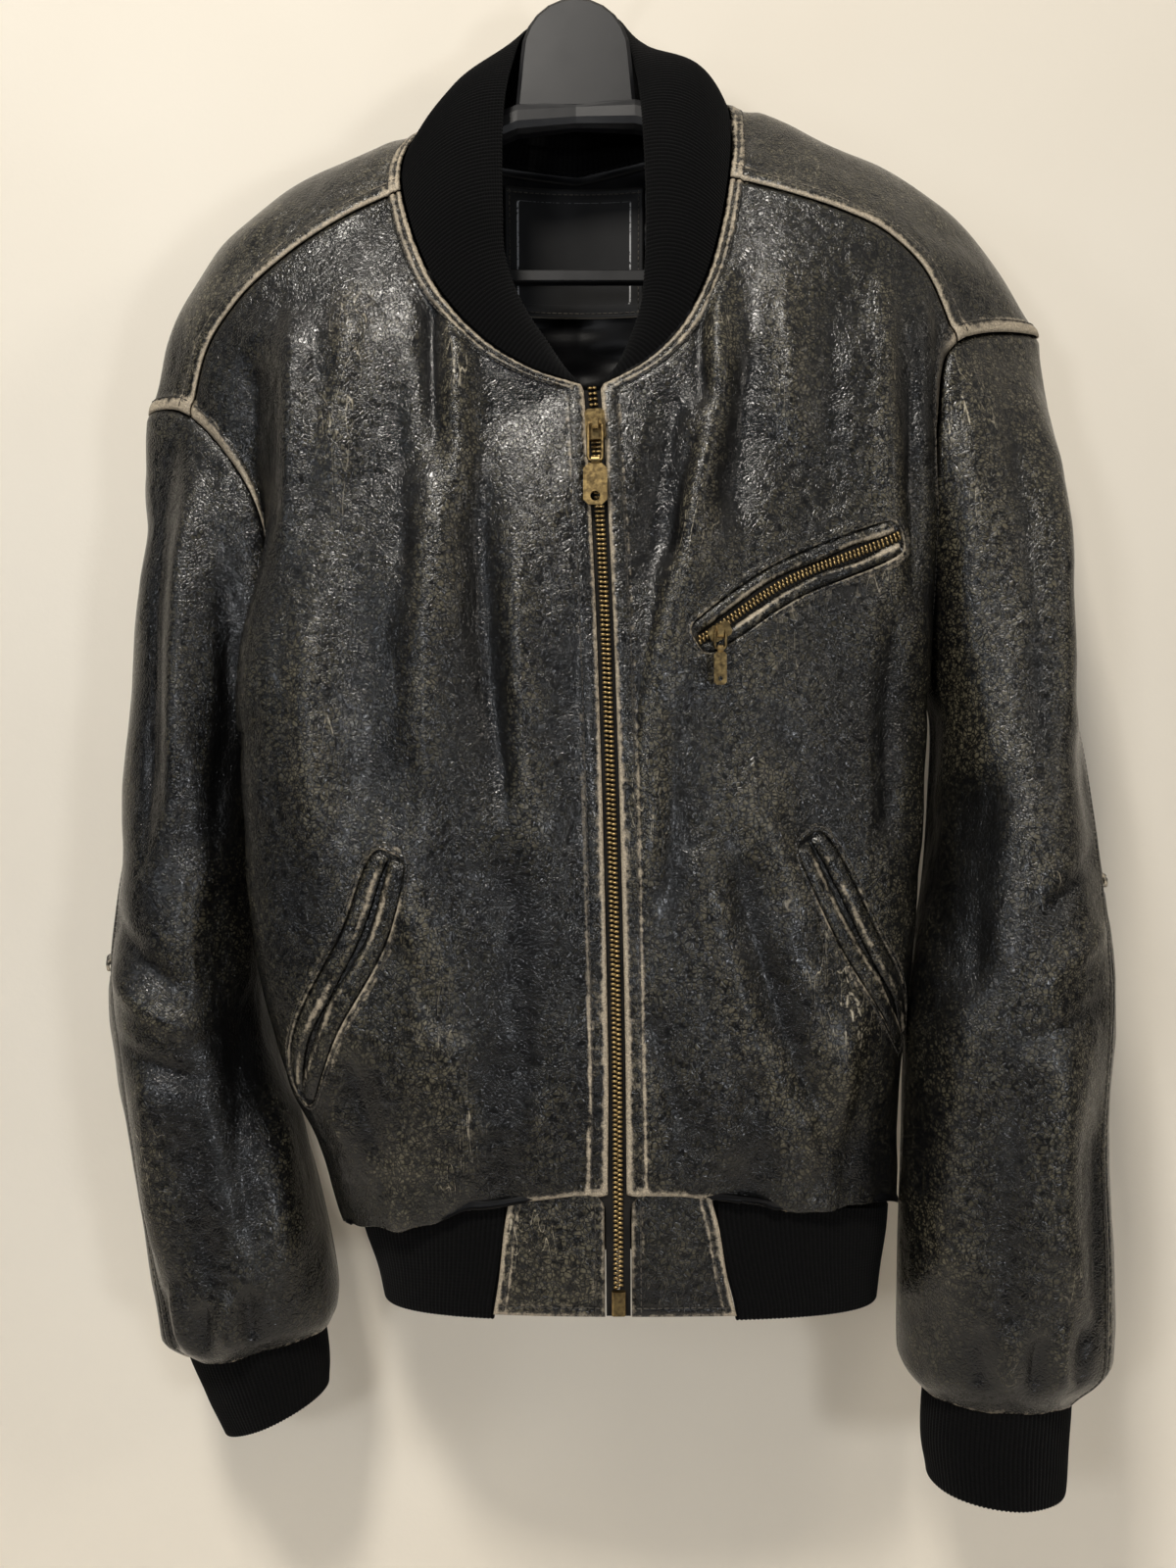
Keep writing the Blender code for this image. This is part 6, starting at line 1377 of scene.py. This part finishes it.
# A hem tab as a fine sheet with sewn edges all round
def hemTab(side):
    downs = np.linspace(0.0, tabDown[1], 50)
    across = np.linspace(0.0, 1.0, 48)
    points = np.stack([tabPoints(side, across, float(down)) for down in downs])
    reach = np.linspace(8.0, 1.2, 6)[:, None, None] * upwards
    points = np.concatenate([points[:1] + reach, points])
    normals = gridNormals(points, toFront)
    first, last, low, high = edgeDistance(points)
    edge = np.minimum(np.minimum(first, last), high)
    height, wear = sewnEdge(edge, stitchIn["tab"], 0.45, 0.8, 0.8)
    outerWear = sewnEdge(last, stitchIn["tab"], 0.0, 0.0, 0.7)[1]
    height += 0.7 * roughField(points, 20.0, 91) * ease(edge, 0, 8)
    wear = wear + outerWear + 0.7 * bell(low, 4.0)
    rub = np.full(points.shape[:2], 1.7 if side == "right" else 0.15) + 0.3 * roughField(points, 14.0, 92)
    face = points + normals * height[..., None]
    hidePiece(["hem_tab_" + side], face, toFront, wear, rub, 0.0, 2.6)
    for name in ("first", "last", "high"):
        stitchEdge("stitch_tab_%s_%s" % (side, name), face, normals, name, stitchIn["tab"])


# The welts of a pocket: half-round strips that start below the face and crown above it
def pocketLips(pocket, nodes):
    along = np.linspace(0.0, 1.0, 110)
    belly = (1 - np.abs(2 * along - 1) ** 7)[:, None]
    row = pocketLines[pocket]
    for node, (low, high) in zip(nodes, row["lips"]):
        outer, inner = (low, high) if abs(low) > abs(high) else (high, low)
        end = row["low"][1] if outer < 0 else row["high"][1]
        edge = outer * belly + end * (1 - belly)
        share = np.linspace(0.0, 1.0, 13)[None]
        onLine = np.stack([along * 90, 0 * along, 0 * along], axis=-1)
        inward = inner + 0.8 * roughField(onLine, 14.0, 31)[:, None] * np.sign(inner)
        off = edge + (inward - edge) * share
        place, normal = pocketPlace(pocket, np.broadcast_to(along[:, None], off.shape), off)
        crown = np.sin(np.pi * np.clip(share * 0.9 + 0.07, 0, 1)) ** 0.6
        lump = 0.35 * roughField(place, 9.0, 33)
        height = (-1.9 + (2.9 + lump) * crown * ease(along, 0.0, 0.03)[:, None]
                  * (1 - ease(along, 0.97, 1.0))[:, None])
        face = place + normal * height[..., None]
        crest = bell(share - 0.72, 0.16)
        wear = 0.75 * crest + 0.3 * roughField(place, 20.0, 34) + (0.25 if pocket == "chest" else 0.0)
        rub = 0.5 + 0.6 * crest
        # painted shade at the foot of each lip, in the pocket's slit
        dark = 0.75 * (1 - ease(crown, 0.30, 0.75)) + 0 * off
        wear = wear * ease(along, 0.02, 0.1)[:, None]
        obj = gridObject("leather_" + node, face, normal, {"wear": wear, "rub": rub, "dark": dark})
        finishPiece(obj, [node], "leather", leatherLook, thick=0.9)


# The turned edge of the front round a pocket's opening, with its stitches: a closed band whose
# section rises from inside the opening over a low crown to the face
def pocketFrame(pocket):
    row = pocketLines[pocket]
    at = np.linspace(0.0, 1.0, 120)
    belly = 1 - np.abs(2 * at - 1) ** 7
    high = row["high"][0] * belly + row["high"][1] * (1 - belly)
    low = row["low"][0] * belly + row["low"][1] * (1 - belly)
    cap = np.linspace(1.0, -1.0, 14)[1:-1]
    along = np.concatenate([at, np.ones(12), at[::-1], np.zeros(12)])
    off = np.concatenate([high, np.where(cap > 0, high[-1] * cap, -low[-1] * cap), low[::-1],
                          np.where(cap > 0, low[0] * cap, -high[0] * cap)])
    run = np.concatenate([0 * at, np.full(12, 1.4), 0 * at, np.full(12, -1.4)])
    path, normal = pocketPlace(pocket, along, off, run)
    ring = np.concatenate([path[-3:], path, path[:3]])
    path = sum(ring[i:len(ring) - 6 + i] for i in range(7)) / 7
    ahead = unit(np.roll(path, -1, axis=0) - np.roll(path, 1, axis=0))
    out = unit(np.cross(normal, ahead))
    centre = path.mean(axis=0)
    out = out * np.sign(np.sum(out * (path - centre), axis=1).mean())
    widths = np.array([-0.5, 0.0, 0.5, 1.3, 2.2, 3.1, 4.2, 5.2])
    rise = np.array([-1.7, -0.2, 0.42, 0.55, 0.42, 0.12, 0.16, -0.35])
    points = path[:, None] + out[:, None] * widths[None, :, None] + normal[:, None] * rise[None, :, None]
    worn = np.array([0.0, 0.45, 0.85, 0.55, 0.35, 0.6, 0.45, 0.25])
    # painted shade on the part of the band that turns down into the opening
    patchy = 0.8 + 0.5 * roughField(points, 18.0, 35)
    dark = np.array([1.0, 0.5, 0.0, 0.0, 0.0, 0.0, 0.0, 0.0])
    obj = gridObject("leather_frame_" + pocket, points.swapaxes(0, 1), normal[None],
                     {"wear": worn[:, None] * patchy.T, "rub": 0.7, "dark": dark[:, None]}, closed=True)
    finishPiece(obj, [], "leather", leatherLook)
    path, out, normal = (np.concatenate([ring, ring[:1]]) for ring in (path, out, normal))
    stitchPath("stitch_frame_" + pocket, path + out * 2.6 + normal * 0.25, normal, (0.5, 2.5))


zipFine = {"pitch": 2.5, "chestPitch": 2.3, "reach": 2.9, "along": 1.25, "deep": 2.0, "tapeReach": 13.0,
           "chain": (-788.0, -345.5), "openTeeth": (-328.5, -315.0), "tape": (-803.0, -316.0)}


# One zip tooth: four square sections from its foot to its rounded head, x towards the middle
def toothShape(reach, along, deep):
    stations = ((0.0, 0.85, 0.8), (0.45, 1.0, 1.0), (0.8, 0.8, 0.95), (1.0, 0.45, 0.6))
    corners = ((-1, -1), (1, -1), (1, 1), (-1, 1))
    verts = [(x * reach, y * along * wide / 2, z * deep * tall / 2) for x, wide, tall in stations for y, z in corners]
    return np.array(verts), tubeFaces(4, 4)


# Teeth of one side of a chain along a path: each points at the middle line from its foot
def teethRow(name, path, out, aside, phase, nodes, pitch, reach, gap=0.0):
    places, along, up, side = evenSteps(path, pitch, out, aside, start=0.3 + phase * pitch, end=0.3)
    side = unit(side - along * np.sum(side * along, axis=1, keepdims=True))
    up = unit(np.cross(side, along)) * np.sign(np.sum(np.cross(side, along) * up, axis=1, keepdims=True))
    verts, faces = toothShape(reach, zipFine["along"], zipFine["deep"])
    flip = np.sign(np.sum(np.cross(-side, along) * up, axis=1).mean())
    if flip < 0:
        faces = [face[::-1] for face in faces]
    obj = copiesObject(name, verts, faces, places + side * (reach - 0.35 + gap), -side, along, up)
    finishPiece(obj, nodes, "brass", brassLook)


def frontZip():
    path = zipPoint(np.linspace(*zipFine["chain"], 240)) + toBack * 0.75
    upper = zipPoint(np.linspace(*zipFine["openTeeth"], 20)) + toBack * 0.75
    foot, top = zipFine["tape"]
    front = np.broadcast_to(toFront, path.shape)
    for side, shift in (("right", -1.0), ("left", 1.0)):
        aside = np.broadcast_to([shift, 0.0, 0.0], path.shape)
        teethRow("brass_chain_" + side, path, front, aside, 0.0 if side == "right" else 0.5,
                 ["zip_chain"], zipFine["pitch"], zipFine["reach"])
        teethRow("brass_teeth_" + side, upper, front[:20], aside[:20], 0.2, ["zip_teeth_" + side],
                 zipFine["pitch"], 2.4, 0.25)
        levels = np.concatenate([np.linspace(foot, -749.0, 26), np.linspace(-746.0, top, 180)])
        wide = 6.3 + (zipFine["tapeReach"] - 6.3) * ease(levels, -748.0, -733.0)
        behind = 1.0 + 1.0 * ease(levels, -752.0, -738.0)
        share = np.array([0.0, 0.12, 0.3, 0.55, 0.8, 1.0])
        off = 0.7 + (wide[:, None] - 0.7) * share
        middle = zipPoint(levels)
        up = np.clip((levels - zipBottom) / (zipTop - zipBottom), 0.0, 1.0) * neckAt
        edge = panelAt("front", side, np.zeros_like(up), np.maximum(up, 0.06))
        ahead = unit(panelAt("front", side, np.full_like(up, 0.05), np.maximum(up, 0.06)) - edge)
        sideways = np.array([shift, 0, 0])
        free = ease(levels, -748, -733)[:, None]
        ahead = ahead * free + sideways * (1 - free)
        near = middle[:, None] + sideways * np.minimum(off, flyHalf)[..., None]
        points = near + ahead[:, None] * np.maximum(off - flyHalf, 0.0)[..., None]
        points[..., 1] += behind[:, None]
        tape = gridObject("cloth_tape_" + side, points, toFront)
        finishPiece(tape, ["zip_tape_" + side], "tape", tapeLook, thick=0.7)


def chestZip():
    along = np.linspace(0.0, 1.0, 160)
    path, normal = pocketPlace("chest", along, 0.0)
    across = unit(np.cross(normal, np.gradient(path, axis=0)))
    for side, shift in (("lower", -1.0), ("upper", 1.0)):
        teethRow("brass_chest_" + side, path - normal * 0.6, normal, across * shift,
                 0.0 if shift < 0 else 0.5, ["chest_chain"], zipFine["chestPitch"], 2.6)
    off = np.array([-5.4, -2.7, 0.0, 2.7, 5.4])
    place, out = pocketPlace("chest", np.broadcast_to(along[:, None], (160, 5)), np.broadcast_to(off, (160, 5)))
    tape = gridObject("cloth_tape_chest", place - out * 1.5, out)
    finishPiece(tape, [], "tape", tapeLook)


liningShape = {"half": 0.472, "low": 0.68, "high": 0.990, "inside": 2.4, "thick": 0.5}


# The satin inside the back of the neck, with soft sagging wrinkles
def liningPiece():
    half, foot, top = liningShape["half"], liningShape["low"], liningShape["high"]
    s = np.concatenate([-np.linspace(half, 0.0, 60)[:-1], np.linspace(0.0, half, 60)])
    t = np.linspace(foot, top, 84)
    across, up = np.meshgrid(np.abs(s), t)
    right = panelAt("back", "right", across, up)
    left = panelAt("back", "left", across, up)
    points = np.where((s < 0)[None, :, None], right, left)
    normals = gridNormals(points, toFront)
    sunk = [2.0 * np.clip(-creaseHeight(creases["back", side], points), 0, None) for side in ("right", "left")]
    points = points + normals * (liningShape["inside"] + np.where((s < 0)[None, :], *sunk))[..., None]
    wave = roughField(points * np.array([0.35, 1.0, 1.0]), 9.0, 51) * 1.9 + roughField(points, 24.0, 52) * 1.6
    rim = ease(np.minimum(up - foot, top - up), 0.0, 0.03)
    points = points + normals * ((wave + 1.2) * rim)[..., None]
    obj = gridObject("satin_lining", points, toFront)
    finishPiece(obj, ["lining_back"], "satin", liningLook, thick=liningShape["thick"])
    return points


# A bare leather patch on the lining: its depth is taken from the lining's nearest points,
# weighted by distance in the front view
patchShape = {"x": (-44.0, 41.0), "z": (-238.0, -162.0), "thick": 1.4}


def patchPiece(lining):
    x, z = np.meshgrid(np.linspace(*patchShape["x"], 64), np.linspace(*patchShape["z"], 58))
    flat = lining[::2, ::2].reshape(-1, 3)
    coarse = np.stack([x[::3, ::3], z[::3, ::3]], axis=-1).reshape(-1, 2)
    gap = ((coarse[:, None] - flat[None][..., (0, 2)]) ** 2).sum(axis=-1)
    weight = 1.0 / (gap + 30.0) ** 2
    depth = (weight * flat[:, 1]).sum(axis=1) / weight.sum(axis=1)
    term = np.stack([np.ones(len(coarse)), coarse[:, 0], coarse[:, 1], coarse[:, 0] ** 2, coarse[:, 1] ** 2,
                     coarse[:, 0] * coarse[:, 1]], axis=-1)
    fit = np.linalg.lstsq(term, depth, rcond=None)[0]
    y = fit[0] + fit[1] * x + fit[2] * z + fit[3] * x**2 + fit[4] * z**2 + fit[5] * x * z - 3.2
    points = np.stack([x, y, z], axis=-1)
    normals = gridNormals(points, toFront)
    first, last, low, high = edgeDistance(points)
    edge = np.minimum(np.minimum(first, last), np.minimum(low, high))
    height, wear = sewnEdge(edge, stitchIn["patch"], 0.2, 0.6, 0.12)
    wear = wear * 0.5 + 0.9 * bell(low, 0.9)
    line = bell(edge - 6.0, 0.42) + bell(edge - 8.4, 0.42)
    face = points + normals * height[..., None]
    obj = gridObject("leather_patch", face, toFront, {"wear": wear, "line": line, "rub": 0.1, "dark": 0.0})
    finishPiece(obj, ["label_patch"], "patch", patchLook, thick=patchShape["thick"])
    for name in ("first", "last", "low", "high"):
        stitchEdge("stitch_patch_" + name, face, normals, name, stitchIn["patch"], (3, 3))


for side in ("right", "left"):
    frontPanel(side)
    shoulderPiece(side)
    hemTab(side)
    cuffPiece(side)
    sleevePiece(side, "front", 0.0, 9.0, ["sleeve_%s_front" % side])
    sleevePiece(side, "back", 0.0, elbowSection, ["sleeve_%s_back_upper" % side])
    sleevePiece(side, "back", elbowSection, 9.0, ["sleeve_%s_back_lower" % side])
    print("made the", side, "side")
backPanel()
waistbandPiece()
collarPiece()
print("made the back, waistband and collar")
pocketLips("chest", ["chest_lip_lower", "chest_lip_upper"])
pocketLips("handRight", ["hand_right_lip_side", "hand_right_lip_front"])
pocketLips("handLeft", ["hand_left_lip_front", "hand_left_lip_side"])
for pocket in pocketLines:
    pocketFrame(pocket)
frontZip()
chestZip()
patchPiece(liningPiece())
for stitches in madeStitches:
    finishPiece(stitches, [], "tape", threadLook)
print("made the pockets, zips, lining and", len(madeStitches), "rows of stitches")

# The small pieces that ride on each sheet, by the sheet's name
riders = {"leather_back": ("stitch_back",), "leather_patch": ("stitch_patch",), "cloth_tape_chest": ("brass_chest",)}
for side in ("right", "left"):
    frontRows = ("stitch_fly", "stitch_neck", "stitch_neckrow", "stitch_hole", "leather_hand")
    frames = ("leather_frame_hand", "stitch_frame_hand")
    riders.update({
        "leather_front_" + side: (*(row + "_" + side for row in frontRows),
                                  *(row + side.capitalize() for row in frames)),
        "leather_shoulder_" + side: tuple("stitch_saddle_%s_%s" % (edge, side)
                                          for edge in ("front", "back", "hole", "neck")),
        "leather_sleeve_%s_front" % side: ("stitch_sleeve_" + side,),
        "leather_sleeve_%s_back_upper" % side: ("stitch_elbow_sleeve_" + side,),
        "leather_hem_tab_" + side: ("stitch_tab_" + side,),
        "cloth_tape_" + side: ("brass_chain_" + side, "brass_teeth_" + side)})
riders["leather_front_left"] += ("leather_chest", "leather_frame_chest", "stitch_frame_chest")

# The hard pieces keep their shapes and take a finish
for node, look in (("zip_slider", brassLook), ("zip_link", brassLook), ("zip_tab", brassLook), ("zip_box", brassLook),
                   ("chest_slider", brassLook), ("chest_link", brassLook), ("chest_tab", brassLook),
                   ("hanger_frame", plasticLook), ("hanger_hook", steelLook)):
    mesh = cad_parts[node].data
    if not mesh.materials:
        mesh.materials.append(look)
    for place in range(len(mesh.materials)):
        mesh.materials[place] = look

studio = {"wallY": 0.086, "floorZ": -1.10, "wall": (0.80, 0.74, 0.64), "floor": (0.78, 0.74, 0.68)}


def flatPlane(name, corners, look):
    mesh = bpy.data.meshes.new(name)
    mesh.from_pydata(corners, [], [(0, 1, 2, 3)])
    mesh.materials.append(look)
    obj = bpy.data.objects.new(name, mesh)
    bpy.context.scene.collection.objects.link(obj)
    return obj


def makeWall():
    look, shader, add, link = newLook("painted_wall", studio["wall"], 0.9)
    at = objectPlace(add)
    cloud = noiseAt(add, at, 2.2, 3.0)
    link(mixColor(add, cloud, (0.74, 0.67, 0.56), (0.84, 0.79, 0.70)), shader.inputs["Base Color"])
    link(bumpOf(add, noiseAt(add, at, 260.0, 4.0), 0.15, 0.0006), shader.inputs["Normal"])
    # from behind the wall is clear
    behind = add("ShaderNodeNewGeometry").outputs["Backfacing"]
    clear = add("ShaderNodeBsdfTransparent")
    mix = add("ShaderNodeMixShader", None, i0=behind, i1=shader.outputs[0], i2=clear.outputs[0])
    link(mix.outputs[0], look.node_tree.nodes["Material Output"].inputs["Surface"])
    return look


wallY, floorZ = studio["wallY"], studio["floorZ"]
wall = flatPlane("wall", [(-4, wallY, floorZ), (4, wallY, floorZ), (4, wallY, 2.6), (-4, wallY, 2.6)], makeWall())
wall.visible_shadow = False
floorLook = newLook("pale_floor", studio["floor"], 0.8)[0]
flatPlane("floor", [(-0.9, -0.6, floorZ), (0.9, -0.6, floorZ), (0.9, 0.6, floorZ), (-0.9, 0.6, floorZ)], floorLook)

world = bpy.data.worlds.new("studio")
bpy.context.scene.world = world
world.use_nodes = True
add, link = nodeMaker(world.node_tree)
dim = world.node_tree.nodes["Background"]
dim.inputs["Color"].default_value = (0.86, 0.90, 1.0, 1.0)
dim.inputs["Strength"].default_value = 0.05
pale = add("ShaderNodeBackground", None, Color=(0.93, 0.90, 0.85, 1.0))
rays = add("ShaderNodeLightPath").outputs
seen = Flow(add, rays["Is Camera Ray"])
seen = seen.join("MAXIMUM", seen, rays["Is Transmission Ray"])
way = add("ShaderNodeSeparateXYZ", None, i0=add("ShaderNodeTexCoord").outputs["Generated"])
# a pale ceiling over a dimmer room
above = add("ShaderNodeMapRange", {"interpolation_type": "SMOOTHSTEP"}, Value=way.outputs["Z"])
above.inputs["From Min"].default_value, above.inputs["From Max"].default_value = 0.15, 0.8
above.inputs["To Max"].default_value = 0.5
gloss = add("ShaderNodeMath", {"operation": "MULTIPLY_ADD", "use_clamp": True}, i0=rays["Is Glossy Ray"],
            i1=above.outputs["Result"], i2=seen)
both = add("ShaderNodeMixShader", None, i0=gloss.outputs[0], i1=dim.outputs[0], i2=pale.outputs[0])
link(both.outputs[0], world.node_tree.nodes["World Output"].inputs["Surface"])

# name, place, aim, size, power, color
lamps = (
    ("key", (-0.36, -1.22, 0.86), (0.0, 0.0, -0.42), 0.28, 27.0, (1.0, 0.95, 0.87)),
    ("fill", (1.5, -1.1, 0.1), (0.0, 0.0, -0.5), 0.3, 4.4, (1.0, 0.93, 0.82)),
    ("low", (-1.4, -1.2, -0.2), (0.0, 0.0, -0.6), 0.3, 2.4, (0.88, 0.94, 1.0)),
    ("frontLow", (0.62, -1.3, -0.70), (0.1, 0.0, -0.65), 0.16, 3.4, (0.93, 0.96, 1.0)),
    ("frontMiddle", (-0.48, -1.3, -0.42), (0.0, 0.0, -0.5), 0.16, 3.2, (0.95, 0.97, 1.0)),
    ("back", (0.3, 1.6, 0.4), (0.0, 0.0, -0.5), 1.2, 14.0, (1.0, 0.97, 0.93)))
for name, place, aim, size, power, color in lamps:
    lamp = bpy.data.lights.new(name, "AREA")
    lamp.size, lamp.energy, lamp.color = size, power, color
    obj = bpy.data.objects.new(name, lamp)
    obj.location = place
    obj.rotation_euler = (Vector(aim) - Vector(place)).to_track_quat("-Z", "Y").to_euler()
    bpy.context.scene.collection.objects.link(obj)

eye = bpy.data.cameras.new("eye")
eye.lens, eye.sensor_width = 31.12, 36.0
camera = bpy.data.objects.new("eye", eye)
camera.location = (0.007, -0.790, -0.526)
camera.rotation_euler = (math.radians(90), 0.0, 0.0)
eye.clip_start = 0.01
bpy.context.scene.collection.objects.link(camera)
bpy.context.scene.camera = camera
bpy.context.scene.view_settings.view_transform = "Standard"
